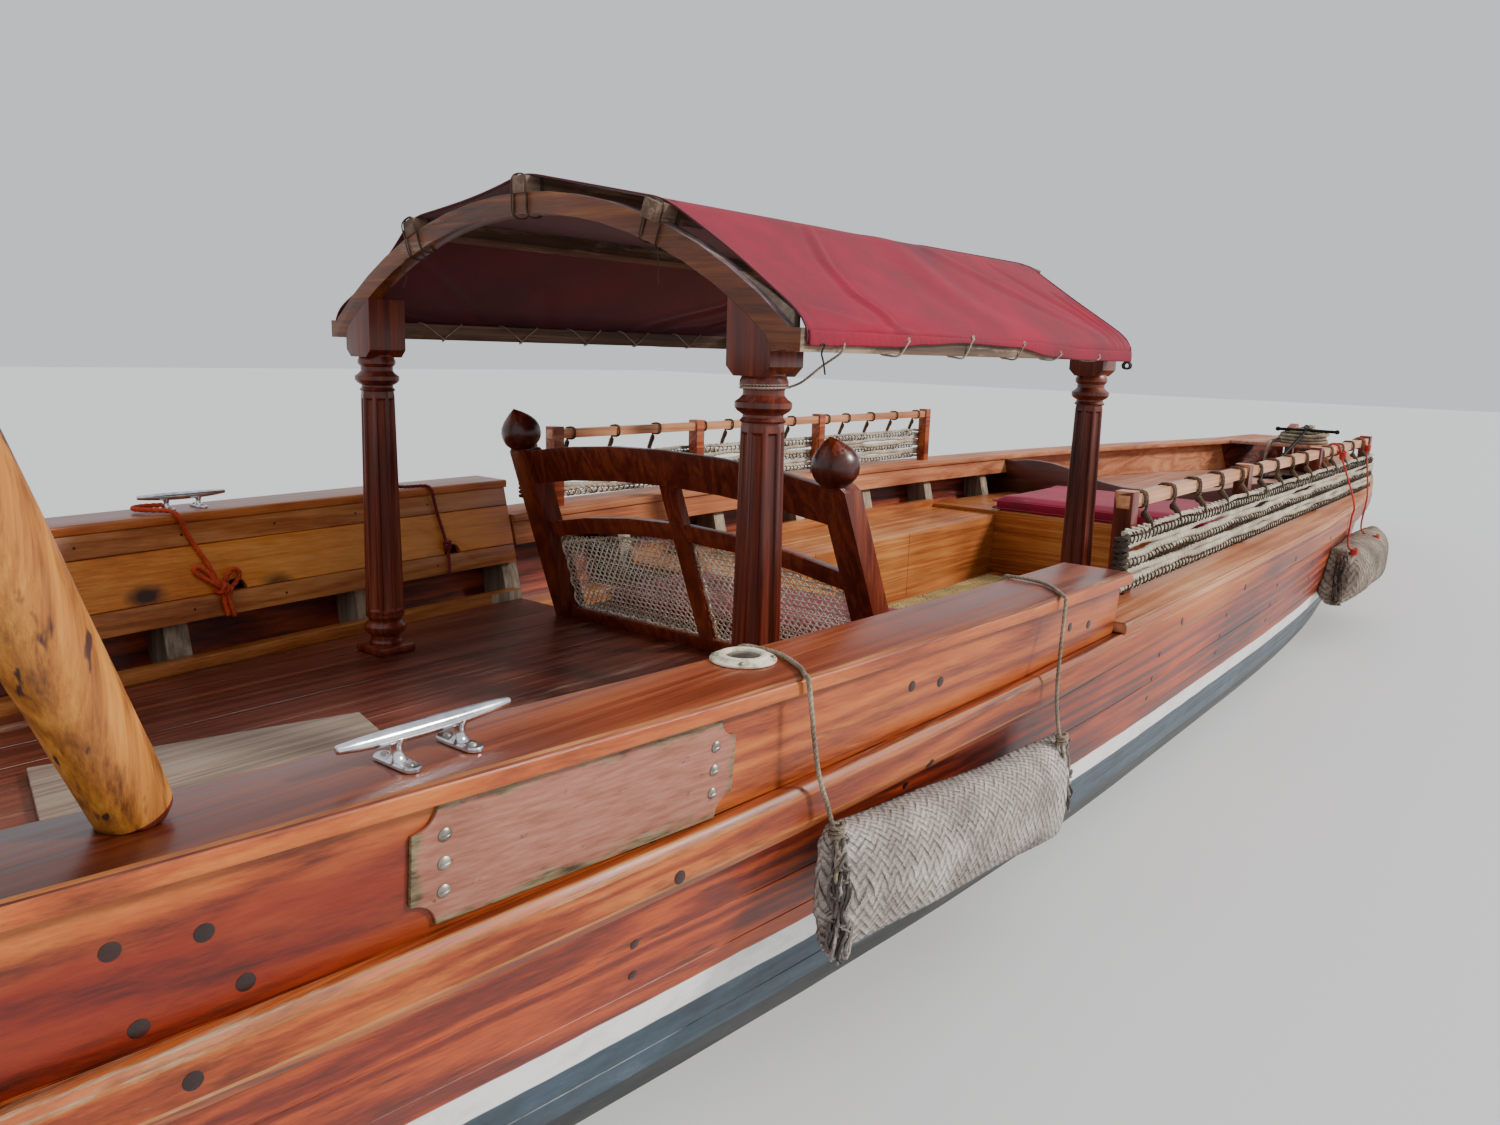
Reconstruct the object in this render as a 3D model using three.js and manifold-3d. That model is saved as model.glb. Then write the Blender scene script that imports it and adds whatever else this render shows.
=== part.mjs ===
// An open wooden dhow of Swahili type, about 12.4 m long, afloat and built plank by plank.
// Millimetres. X runs forward, Y to port, Z up. The origin is amidships on the centreline, in the
// plane of the water.

import * as THREE from "three";
import { mergeVertices } from "three/addons/utils/BufferGeometryUtils.js";
import Module from "manifold-3d";

const wasm = await Module();
wasm.setup();

// Driving dimensions

const GAP = 0.3; // left between touching pieces that were cut or shaped to each other

const TRANSOM_X = -6200; // aft end of the planking
const BOW_X = 6070; // fore end of the planking, at the stem
const RAISED_END_X = -1830; // where the raised bulwark stops
const RAKE = Math.tan(THREE.MathUtils.degToRad(8)); // rake of the transom and rudder
const RAKE_START_X = -5400; // forward of this nothing leans

const PLANK = 38; // planking thickness
const KEEL_HALF = 36; // half the siding of keel, stem and sternpost
const KEEL_BOTTOM = -640;
const WALL_SLOPE = 0.25; // how far the sides lean out for each millimetre of height

const CAP_TOP = 798; // top of the raised bulwark's cap
const CAP_THICK = 30;
const CAP_WIDTH = 197;
const CAP_OVERHANG = 22; // of the cap, outside the bulwark board
const BULWARK_LEAN = 15; // how far the board's top stands outside its foot
const BOARD = 45; // bulwark board thickness
const LINING = 28; // inner lining thickness
const LINING_BOTTOM = 478;
const GUNWALE_THICK = 30; // cap forward of the raised bulwark
const GUNWALE_WIDTH = 200; // inboard of the planking

const WALE_DEEP = 95;
const WALE_OUT = 32;

const DECK_TOP = 340; // aft deck
const DECK_THICK = 40;
const DECK_END_X = -1850;
const SOLE_TOP = 45; // floor of the footwell
const SOLE_THICK = 38;
const BENCH_TOP = 395; // side benches
const BENCH_FRONT_Y = 611;
const BENCH_START_X = -1180;
const BOX_X = 1480; // aft face of the forward seat box
const BOX_TOP = 420;
const BULKHEAD_X = 2430; // seat back across the boat
const SEAT_BACK = 34; // its thickness
const FOREDECK_TOP = 445;
const FOREDECK_END_X = 5700;
const FORE_LINING_END_X = 5350;
const PLATFORM_X = [5330, 5840]; // small deck between the caps at the bow

const FRAME_WIDE = 75;
const FRAME_PITCH = 670;
const FIRST_FRAME_X = -5196;

const POST_Y = 758; // canopy posts
const POST_X = [-2650, -690];
const BLOCK = 125; // side of the square block on each post
const BLOCK_BOTTOM = 1280;
const ARCH_TOP = 1716;
const ARCH_RADIUS = 1321;
const ARCH_DEEP = 54;
const ARCH_THICK = 46; // flush with the aft face of the blocks
const ARCH_HALF_SPAN = 865;
const ARCH_FOOT = { y: 822, z: 1336 }; // lower inner corner of each end
const PURLIN = 44;
const EAVES = { thick: 38, low: 1337, high: 1388 }; // lowest beams, against the arches' ends
const CANVAS = 6;
const CANVAS_X = [-2660, -722];
const CANVAS_HEM_Z = 1345; // where its hanging edge ends

const BENCH_FOOT_X = -1900; // backrest of the helmsman's bench
const BENCH_LEAN = 0.394; // how far it leans aft for each millimetre of height
const BENCH_POST = 84;
const BENCH_POST_Y = [690, 645]; // at the foot and at the top
const BENCH_POST_TOP = 985;
const FINIAL_R = 66;

const RAIL_Y = 1195;
const RAIL = 38;
const NET_THICK = 24;

// Raked posts on the caps, with a bar across them.
const POLE = { x: -4155, y: 1040, out: 0.16, aft: 0.39, footR: 42, r: 50, topR: 46, trimmed: 450, tall: 1420 };
const POLE_BAR = { r: 42, at: 1270, half: 1420 };

const RUDDER_AXIS_X = -6372; // before the stern's rake
const RUDDER_THICK = 52;
const LUG = { zs: [-420, 20, 430], tall: 60, hole: 17, pin: 16.4, wide: 66 };

// Stations of the hull. Columns: x, half-breadth at the wale's top, half-breadths that pull the
// side and the floor of the section outward, height of the wale's top, height of the rabbet.
const STATIONS = [
  [-6200, 760, 590, 190, 560, -100],
  [-5400, 925, 770, 340, 562, -330],
  [-4400, 1098, 930, 560, 568, -450],
  [-3371, 1223, 1050, 760, 590, -490],
  [-2500, 1290, 1150, 880, 613, -500],
  [-1830, 1318, 1200, 930, 630, -500],
  [-700, 1330, 1215, 960, 638, -500],
  [800, 1318, 1210, 960, 642, -500],
  [2000, 1250, 1150, 860, 642, -498],
  [3000, 1125, 990, 640, 643, -485],
  [4000, 930, 730, 370, 646, -450],
  [4900, 670, 430, 170, 655, -380],
  [5500, 430, 215, 90, 672, -270],
  [5850, 235, 110, 60, 700, -60],
  [6070, 80, 52, 42, 722, 400],
];
const SECTION_STEPS = 9; // chords from the wale's top to the keel

// Materials

const wood = (color, roughness = 0.55) => new THREE.MeshStandardMaterial({ color, roughness, metalness: 0 });
const PAINT = {
  topside: wood(0x8f3a18, 0.4),
  orange: wood(0xb4622c, 0.45),
  cap: wood(0x6e4438, 0.4),
  wale: wood(0xa04a20, 0.4),
  deck: wood(0x4a1f16, 0.45),
  pale: wood(0xa88a6a, 0.8),
  bench: wood(0x9a5a2c, 0.5),
  dark: wood(0x35130e, 0.35),
  arch: wood(0x6a3a22, 0.6),
  pole: wood(0xb88038, 0.65),
  canvas: wood(0xa02040, 0.85),
  cushion: wood(0x7c1830, 0.9),
  rope: wood(0x8a7a66, 0.95),
  palm: wood(0x9a9082, 0.95),
  straw: wood(0xa88f5c, 0.95),
  plate: wood(0xa8786a, 0.6),
  keel: wood(0x23262c, 0.6),
  iron: new THREE.MeshStandardMaterial({ color: 0x2a2a2a, roughness: 0.6, metalness: 0.7 }),
  alloy: new THREE.MeshStandardMaterial({ color: 0xd8d8dc, roughness: 0.2, metalness: 1 }),
  plastic: wood(0xe6e2d4, 0.4),
};

const boat = new THREE.Group();

/** Adds a named mesh to the boat. */
function add(name, geometry, material) {
  const mesh = new THREE.Mesh(geometry, material);
  mesh.name = name;
  boat.add(mesh);
}

// Geometry helpers

/** Closed skin over rings of points, all with the same count, with flat ends. */
function skin(rings) {
  const count = rings[0].length;
  const positions = rings.flat().flatMap((p) => [p.x, p.y, p.z]);
  const index = [];
  for (let i = 0; i + 1 < rings.length; i++) {
    for (let j = 0; j < count; j++) {
      const k = (j + 1) % count;
      const [a, b, c, d] = [i * count + j, i * count + k, (i + 1) * count + k, (i + 1) * count + j];
      index.push(a, b, c, a, c, d);
    }
  }
  const endFace = (ring, start, flip) => {
    for (const [a, b, c] of THREE.ShapeUtils.triangulateShape(flatten(ring), [])) {
      index.push(start + a, start + (flip ? c : b), start + (flip ? b : c));
    }
  };
  endFace(rings[0], 0, ringTurns(rings[0]));
  endFace(rings.at(-1), (rings.length - 1) * count, !ringTurns(rings.at(-1)));
  const geometry = new THREE.BufferGeometry();
  geometry.setAttribute("position", new THREE.Float32BufferAttribute(positions, 3));
  geometry.setIndex(index);
  return outward(geometry);
}

/** Area vector of a ring. */
function ringNormal(ring) {
  const n = new THREE.Vector3();
  ring.forEach((p, i) => n.add(p.clone().cross(ring[(i + 1) % ring.length])));
  return n;
}

/** The ring as seen along its largest axis, as 2-D points. */
function flatten(ring) {
  const n = ringNormal(ring);
  const [ax, ay, az] = [Math.abs(n.x), Math.abs(n.y), Math.abs(n.z)];
  if (ax >= ay && ax >= az) return ring.map((p) => new THREE.Vector2(p.y, p.z));
  if (ay >= az) return ring.map((p) => new THREE.Vector2(p.z, p.x));
  return ring.map((p) => new THREE.Vector2(p.x, p.y));
}

/** Whether the flattened ring runs anticlockwise. */
function ringTurns(ring) {
  return THREE.ShapeUtils.area(flatten(ring)) > 0;
}

/** Volume enclosed by an indexed geometry, negative when its faces point in. */
function volumeOf(geometry) {
  const p = geometry.attributes.position;
  const i = geometry.index;
  const [a, b, c] = [new THREE.Vector3(), new THREE.Vector3(), new THREE.Vector3()];
  let sum = 0;
  for (let t = 0; t < i.count; t += 3) {
    a.fromBufferAttribute(p, i.getX(t));
    b.fromBufferAttribute(p, i.getX(t + 1));
    c.fromBufferAttribute(p, i.getX(t + 2));
    sum += a.dot(b.cross(c));
  }
  return sum / 6;
}

/** Turns a closed geometry so that its faces point out. */
function outward(geometry) {
  if (volumeOf(geometry) < 0) {
    const i = geometry.index.array;
    for (let t = 0; t < i.length; t += 3) [i[t + 1], i[t + 2]] = [i[t + 2], i[t + 1]];
  }
  return geometry;
}

/** A solid for joining and cutting. */
function solid(geometry) {
  const bare = geometry.clone();
  bare.deleteAttribute("normal");
  bare.deleteAttribute("uv");
  const merged = outward(mergeVertices(bare, 1e-3));
  return new wasm.Manifold(
    new wasm.Mesh({
      numProp: 3,
      vertProperties: new Float32Array(merged.attributes.position.array),
      triVerts: new Uint32Array(merged.index.array),
    }),
  );
}

/** The geometry of a solid. */
function meshOf(body) {
  const mesh = body.getMesh();
  const geometry = new THREE.BufferGeometry();
  geometry.setAttribute("position", new THREE.BufferAttribute(new Float32Array(mesh.vertProperties), 3));
  geometry.setIndex(new THREE.BufferAttribute(new Uint32Array(mesh.triVerts), 1));
  return geometry;
}

/** One geometry of several overlapping ones. */
const joined = (...parts) => meshOf(parts.map(solid).reduce((a, b) => a.add(b)));

/** A geometry with others cut out of it. */
const cut = (body, ...tools) => meshOf(tools.map(solid).reduce((a, b) => a.subtract(b), solid(body)));

/** A port-side piece cut to the face of what it lies against, with a hair's gap left between them. */
const fitted = (piece, against) => cut(piece, against).translate(0, GAP, 0);

/** A box between two limits along each axis. */
function box([x0, x1], [y0, y1], [z0, z1]) {
  const geometry = new THREE.BoxGeometry(x1 - x0, y1 - y0, z1 - z0);
  return geometry.translate((x0 + x1) / 2, (y0 + y1) / 2, (z0 + z1) / 2);
}

/** A square or round bar between two points. */
function bar(from, to, radius, sides = 8, endRadius = radius) {
  const along = to.clone().sub(from);
  const geometry = new THREE.CylinderGeometry(endRadius, radius, along.length(), sides);
  geometry.rotateY(Math.PI / sides);
  geometry.applyQuaternion(
    new THREE.Quaternion().setFromUnitVectors(new THREE.Vector3(0, 1, 0), along.clone().normalize()),
  );
  return geometry.translate(...from.clone().add(to).multiplyScalar(0.5).toArray());
}

/** An outline in the XZ plane, given thickness across the boat. */
function plate(points, y0, y1) {
  const ring = (y) => points.map(([x, z]) => new THREE.Vector3(x, y, z));
  return skin([ring(y0), ring(y1)]);
}

/** An outline in the YZ plane, given thickness along the boat. */
function board(points, x0, x1) {
  const ring = (x) => points.map(([y, z]) => new THREE.Vector3(x, y, z));
  return skin([ring(x0), ring(x1)]);
}

const mirrored = (geometry) => outward(geometry.clone().scale(1, -1, 1));

/** Leans everything at the stern aft with height, as the transom leans. */
function raked(geometry) {
  const p = geometry.attributes.position;
  for (let i = 0; i < p.count; i++) {
    const share = THREE.MathUtils.clamp((RAKE_START_X - p.getX(i)) / (RAKE_START_X - TRANSOM_X), 0, 1);
    p.setX(i, p.getX(i) - RAKE * share * p.getZ(i));
  }
  return geometry;
}

// Hull form

const COLUMN = { half: 1, side: 2, floor: 3, wale: 4, rabbet: 5 };

/** A column of the station table at x, on a smooth curve through the stations. */
function lines(x, column) {
  const t = STATIONS.map((row) => row[0]);
  const i = Math.max(0, Math.min(STATIONS.length - 2, t.findIndex((v) => v >= x) - 1));
  const at = (k) => STATIONS[THREE.MathUtils.clamp(k, 0, STATIONS.length - 1)];
  const [p0, p1, p2, p3] = [at(i - 1), at(i), at(i + 1), at(i + 2)];
  const slope = (a, b) => (b[column] - a[column]) / (b[0] - a[0] || 1);
  const h = p2[0] - p1[0];
  const m1 = i === 0 ? slope(p1, p2) : slope(p0, p2);
  const m2 = i === STATIONS.length - 2 ? slope(p1, p2) : slope(p1, p3);
  const u = (x - p1[0]) / h;
  return (
    (2 * u ** 3 - 3 * u ** 2 + 1) * p1[column] +
    (u ** 3 - 2 * u ** 2 + u) * h * m1 +
    (3 * u ** 2 - 2 * u ** 3) * p2[column] +
    (u ** 3 - u ** 2) * h * m2
  );
}

/** Points [y, z] of half a section from the wale's top to the keel, an inset inside the planking's outside. */
function section(x, inset) {
  const [half, side, floor, top, rabbet] = [1, 2, 3, 4, 5].map((c) => lines(x, c));
  const tall = top - rabbet - inset;
  const room = (y) => Math.max(y - inset, KEEL_HALF + (y - KEEL_HALF) * 0.25);
  const points = [
    [room(half), top],
    [room(side), top - 0.86 * tall],
    [room(floor), top - 0.98 * tall],
    [KEEL_HALF + GAP, top - tall],
  ];
  const out = [];
  for (let i = 0; i <= SECTION_STEPS; i++) {
    const t = i / SECTION_STEPS;
    const w = [(1 - t) ** 3, 3 * (1 - t) ** 2 * t, 3 * (1 - t) * t * t, t ** 3];
    out.push([0, 1].map((k) => points.reduce((sum, p, n) => sum + w[n] * p[k], 0)));
  }
  return out;
}

/** Stations of every long piece between two ends, so that neighbours share their facets. */
function stationsBetween(x0, x1) {
  const pitch = 350;
  const inner = [];
  for (let x = TRANSOM_X; x < BOW_X; x += x > 4600 ? pitch / 2 : pitch) inner.push(x);
  return [x0, ...inner.filter((x) => x > x0 + 40 && x < x1 - 40), x1];
}

/** Half-breadth at a height on a section's chords. */
function chordAt(points, z) {
  for (let i = 0; i + 1 < points.length; i++) {
    const [a, b] = [points[i], points[i + 1]];
    if (z <= a[1] && z >= b[1]) return b[0] + ((a[0] - b[0]) * (z - b[1])) / (a[1] - b[1] || 1);
  }
  return z > points[0][1] ? points[0][0] : points.at(-1)[0];
}

const HULL_X = stationsBetween(TRANSOM_X, BOW_X);

/** Half-breadth of the faceted planking at x and z, an inset inside its outside. */
function hullY(x, z, inset) {
  const i = Math.max(1, HULL_X.findIndex((v) => v >= x));
  const [x0, x1] = [HULL_X[i - 1], HULL_X[i]];
  const u = THREE.MathUtils.clamp((x - x0) / (x1 - x0), 0, 1);
  return chordAt(section(x0, inset), z) * (1 - u) + chordAt(section(x1, inset), z) * u;
}

const linear = (x, column) => {
  const i = Math.max(1, HULL_X.findIndex((v) => v >= x));
  const u = (x - HULL_X[i - 1]) / (HULL_X[i] - HULL_X[i - 1]);
  return lines(HULL_X[i - 1], column) * (1 - u) + lines(HULL_X[i], column) * u;
};
const halfTop = (x) => linear(x, COLUMN.half);
const waleTop = (x) => linear(x, COLUMN.wale);

/** Inner face of the lining, which leans as the sides do. */
const wallInner = (x, z) => halfTop(x) - 150 - WALL_SLOPE * (CAP_TOP - z);

/** Inner face of the lining forward, where the planking closes in. */
const foreInner = (x, z) => Math.max(wallInner(x, z), hullY(x, z, PLANK) - 70);

/** Outer face of the raised bulwark board at a height. */
function bulwarkOuter(x, z) {
  const share = (z - waleTop(x)) / (CAP_TOP - waleTop(x));
  return halfTop(x) + BULWARK_LEAN * share;
}

const gunwaleInner = (x) => Math.max(halfTop(x) - GUNWALE_WIDTH, KEEL_HALF + 4);

/** A long piece from x0 to x1 on the port side whose section comes from a function of x. */
function long(x0, x1, ring) {
  return raked(skin(stationsBetween(x0, x1).map((x) => ring(x).map(([y, z]) => new THREE.Vector3(x, y, z)))));
}

/** A long piece on both sides. */
function pair(name, material, x0, x1, ring) {
  const port = long(x0, x1, ring);
  add(name + "_port", port, material);
  add(name + "_starboard", mirrored(port), material);
}

/** A deck from x0 to x1 between both sides, with its edge from a function of x. */
function deck(x0, x1, top, thick, edge) {
  return long(x0, x1, (x) => [
    [-edge(x), top - thick],
    [edge(x), top - thick],
    [edge(x), top],
    [-edge(x), top],
  ]);
}

function buildPlanking() {
  const port = long(TRANSOM_X, BOW_X, (x) => [...section(x, 0), ...section(x, PLANK).reverse()]);
  add("planking_port", port, PAINT.topside);
  add("planking_starboard", mirrored(port), PAINT.topside);
  return port;
}

function buildBackbone() {
  const rabbet = (x) => lines(x, COLUMN.rabbet);
  const keelXs = [TRANSOM_X, -5400, -4400, -3000, -1500, 0, 1500, 3000, 4000, 4600];
  const inside = 70;
  const keel = [
    ...keelXs.map((x) => [x, rabbet(x) + inside]),
    [4600, KEEL_BOTTOM + 45],
    [4000, KEEL_BOTTOM],
    [TRANSOM_X, KEEL_BOTTOM],
  ];
  add("keel", raked(plate(keel, -KEEL_HALF, KEEL_HALF)), PAINT.keel);
  const stemXs = [4600 + GAP, 4900, 5200, 5500, 5850, 6000];
  const stem = [
    ...stemXs.map((x) => [x, rabbet(x) + inside]),
    [BOW_X + GAP, 470],
    [BOW_X + GAP, 800],
    [6205, 828],
    [6218, 650],
    [6180, 330],
    [6070, 0],
    [5860, -270],
    [5600, -430],
    [5200, -550],
    [4600 + GAP, KEEL_BOTTOM + 45],
  ];
  add("stem", plate(stem, -KEEL_HALF, KEEL_HALF), PAINT.cap);
}

function buildStern() {
  const half = section(TRANSOM_X, 0);
  const crown = 812;
  const side = [...half.slice().reverse(), [bulwarkOuter(TRANSOM_X, CAP_TOP - CAP_THICK), CAP_TOP - CAP_THICK]];
  const top = [560, 380, 190, 0].map((y) => [y, crown - 0.00009 * y * y]);
  const port = [[0, half.at(-1)[1]], ...side, ...top];
  const starboard = port.slice(1, -1).reverse().map(([y, z]) => [-y, z]);
  const thick = 45;
  const aft = TRANSOM_X - thick;
  add("transom", raked(board([...port, ...starboard], aft, TRANSOM_X - GAP)), PAINT.topside);

  const postBack = RUDDER_AXIS_X + 38;
  const post = box([postBack, aft - GAP], [-KEEL_HALF, KEEL_HALF], [KEEL_BOTTOM, 640]);
  const skeg = box([aft - 1, TRANSOM_X - GAP], [-KEEL_HALF, KEEL_HALF], [KEEL_BOTTOM, half.at(-1)[1] - 2]);
  const lugs = LUG.zs.map((z) =>
    box([RUDDER_AXIS_X - LUG.hole - 14, postBack + 20], [-LUG.wide / 2, LUG.wide / 2], [z, z + LUG.tall]),
  );
  const holes = LUG.zs.map((z) =>
    new THREE.CylinderGeometry(LUG.hole, LUG.hole, LUG.tall + 20, 20)
      .rotateX(Math.PI / 2)
      .translate(RUDDER_AXIS_X, 0, z + LUG.tall / 2),
  );
  add("sternpost", raked(cut(joined(post, skeg, ...lugs), ...holes)), PAINT.topside);
}

function buildRudder() {
  const x = RUDDER_AXIS_X;
  const outline = [
    [x + 16, -610],
    [x + 16, 960],
    [x - 120, 975],
    [x - 150, 620],
    [x - 230, 420],
    [x - 330, 150],
    [x - 470, -120],
    [x - 520, -400],
    [x - 480, -590],
    [x - 420, -615],
  ];
  const clear = 12;
  const notches = LUG.zs.map((z) =>
    box([x - 60, x + 80], [-60, 60], [z - clear, z + LUG.tall + clear]),
  );
  const head = box([x - 136, x + 16], [-46, 46], [820, 950]);
  const mortise = box([x - 200, x + 100], [-23.3, 23.3], [848.7, 911.3]);
  const pins = LUG.zs.map((z) =>
    new THREE.CylinderGeometry(LUG.pin, LUG.pin, LUG.tall + 2 * clear + 20, 20)
      .rotateX(Math.PI / 2)
      .translate(x, 0, z + LUG.tall / 2),
  );
  const nose = new THREE.CylinderGeometry(RUDDER_THICK / 2, RUDDER_THICK / 2, 1560, 20)
    .rotateX(Math.PI / 2)
    .translate(x, 0, 175);
  const blade = joined(plate(outline.map(([a, b]) => [Math.min(a, x), b]), -RUDDER_THICK / 2, RUDDER_THICK / 2), nose);
  const body = joined(cut(joined(blade, head), ...notches), ...pins);
  add("rudder", raked(cut(body, mortise)), PAINT.topside);

  // Columns: x, half width, bottom, top.
  const tiller = [
    [x - 190, 23, 849, 911],
    [x + 40, 23, 849, 911],
    [x + 300, 22, 853, 908],
    [x + 700, 20, 872, 918],
    [x + 1100, 18, 903, 942],
    [x + 1240, 22, 910, 952],
    [x + 1270, 14, 920, 944],
  ];
  const rings = tiller.map(([tx, w, z0, z1]) => {
    const c = Math.min(w, (z1 - z0) / 2) * 0.35;
    const flat = [
      [-w + c, z0], [w - c, z0], [w, z0 + c], [w, z1 - c],
      [w - c, z1], [-w + c, z1], [-w, z1 - c], [-w, z0 + c],
    ];
    return flat.map(([y, z]) => new THREE.Vector3(tx - RAKE * z, y, z));
  });
  add("tiller", skin(rings), PAINT.arch);
}

function buildSides(planking) {
  const wale = long(TRANSOM_X, 5990, (x) => {
    const top = waleTop(x);
    const inner = (z) => hullY(x, z, 0) - 8;
    const out = halfTop(x) + WALE_OUT;
    return [
      [inner(top - WALE_DEEP), top - WALE_DEEP],
      [inner(top), top],
      [out - 8, top],
      [out, top - 14],
      [out, top - WALE_DEEP + 26],
      [out - 14, top - WALE_DEEP + 4],
    ];
  });
  const portWale = fitted(wale, planking);
  add("wale_port", portWale, PAINT.wale);
  add("wale_starboard", mirrored(portWale), PAINT.wale);
  const capBottom = CAP_TOP - CAP_THICK;
  pair("bulwark_board", PAINT.orange, TRANSOM_X, RAISED_END_X, (x) => {
    const foot = waleTop(x) + GAP;
    return [
      [bulwarkOuter(x, foot), foot],
      [bulwarkOuter(x, capBottom), capBottom],
      [bulwarkOuter(x, capBottom) - BOARD, capBottom],
      [bulwarkOuter(x, foot) - BOARD, foot],
    ];
  });
  const cap = long(TRANSOM_X, RAISED_END_X + 12, (x) => {
    const out = halfTop(x) + BULWARK_LEAN + CAP_OVERHANG;
    return [
      [out, capBottom + GAP],
      [out, CAP_TOP - 6],
      [out - 8, CAP_TOP],
      [out - CAP_WIDTH + 5, CAP_TOP],
      [out - CAP_WIDTH, CAP_TOP - 5],
      [out - CAP_WIDTH, capBottom + GAP],
    ];
  });
  add("bulwark_cap_port", cap, PAINT.cap);
  add("bulwark_cap_starboard", mirrored(cap), PAINT.cap);
  const lining = long(TRANSOM_X, RAISED_END_X, (x) => [
    [wallInner(x, LINING_BOTTOM), LINING_BOTTOM],
    [wallInner(x, capBottom), capBottom],
    [wallInner(x, capBottom) + LINING, capBottom],
    [wallInner(x, LINING_BOTTOM) + LINING, LINING_BOTTOM],
  ]);
  const drain = { xs: [-2989, -2130], z: 545, r: 38 };
  const drains = drain.xs.map((x) => {
    const disc = new THREE.CylinderGeometry(drain.r, drain.r, 400, 20).translate(x, 1100, drain.z);
    const upper = box([x - 60, x + 60], [850, 1350], [drain.z, drain.z + 60]);
    return meshOf(solid(disc).intersect(solid(upper)));
  });
  const portLining = cut(lining, ...drains);
  add("bulwark_lining_port", portLining, PAINT.orange);
  add("bulwark_lining_starboard", mirrored(portLining), PAINT.orange);
  const gunwaleX = RAISED_END_X + 12 + GAP;
  const gunwale = long(gunwaleX, 5850, (x) => {
    const foot = waleTop(x) + GAP;
    const out = halfTop(x) + WALE_OUT;
    return [
      [out, foot],
      [out, foot + GUNWALE_THICK - 6],
      [out - 7, foot + GUNWALE_THICK],
      [gunwaleInner(x), foot + GUNWALE_THICK],
      [gunwaleInner(x), foot],
    ];
  });
  const lowLining = (x0, x1, inner, foot) =>
    long(x0, x1, (x) => {
      const [top, bottom] = [waleTop(x) + 8, foot(x)];
      return [
        [inner(x, bottom), bottom],
        [inner(x, top), top],
        [inner(x, top) + LINING, top],
        [inner(x, bottom) + LINING, bottom],
      ];
    });
  const port = joined(
    gunwale,
    lowLining(gunwaleX, BULKHEAD_X - GAP, wallInner, (x) => waleTop(x) - 90),
    lowLining(BULKHEAD_X + SEAT_BACK + GAP, FORE_LINING_END_X, foreInner, () => FOREDECK_TOP + GAP),
  );
  add("gunwale_cap_port", port, PAINT.orange);
  add("gunwale_cap_starboard", mirrored(port), PAINT.orange);
  return cap;
}

function buildFrames() {
  const heads = [];
  for (let x = FIRST_FRAME_X; x < BULKHEAD_X - 200; x += FRAME_PITCH) {
    const raised = x + FRAME_WIDE / 2 < RAISED_END_X;
    const top = (raised ? CAP_TOP - CAP_THICK : waleTop(x)) - GAP;
    const ring = (at) => {
      const clear = 5;
      const outer = (z) =>
        Math.min(
          z > waleTop(at) ? bulwarkOuter(at, z) - BOARD : hullY(at, z, PLANK),
          z > waleTop(at) - 60 ? halfTop(at) - BOARD : Infinity,
        ) - clear;
      const inner = (z) => wallInner(at, z) + LINING + 4;
      return [220, 340, 480, top].map((z) => [outer(z), z]).concat([top, 480, 340, 220].map((z) => [inner(z), z]));
    };
    const xs = [x - FRAME_WIDE / 2, x + FRAME_WIDE / 2];
    heads.push(raked(skin(xs.map((at) => ring(at).map(([y, z]) => new THREE.Vector3(at, y, z))))));
  }
  const stringer = long(FIRST_FRAME_X - 200, BULKHEAD_X - 60, (x) => {
    const inner = (z) => wallInner(x, z) + LINING + 14;
    const outer = (z) => hullY(x, z, PLANK) - 5;
    return [
      [inner(240), 240],
      [inner(290), 290],
      [outer(290), 290],
      [outer(240), 240],
    ];
  });
  const clamp = (x0, x1, foot, tall, wide) =>
    long(x0, x1, (x) => {
      const out = wallInner(x, foot) + LINING + 6;
      return [[out - wide, foot + GAP], [out, foot + GAP], [out, foot + tall], [out - wide, foot + tall]];
    });
  const clamps = [
    clamp(FIRST_FRAME_X - 200, DECK_END_X, DECK_TOP, 36, 52),
    clamp(BENCH_START_X, BOX_X - GAP, BENCH_TOP, 48, 36),
  ];
  const port = joined(stringer, ...heads, ...clamps);
  add("frames_port", port, PAINT.pale);
  add("frames_starboard", mirrored(port), PAINT.pale);
}

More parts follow.
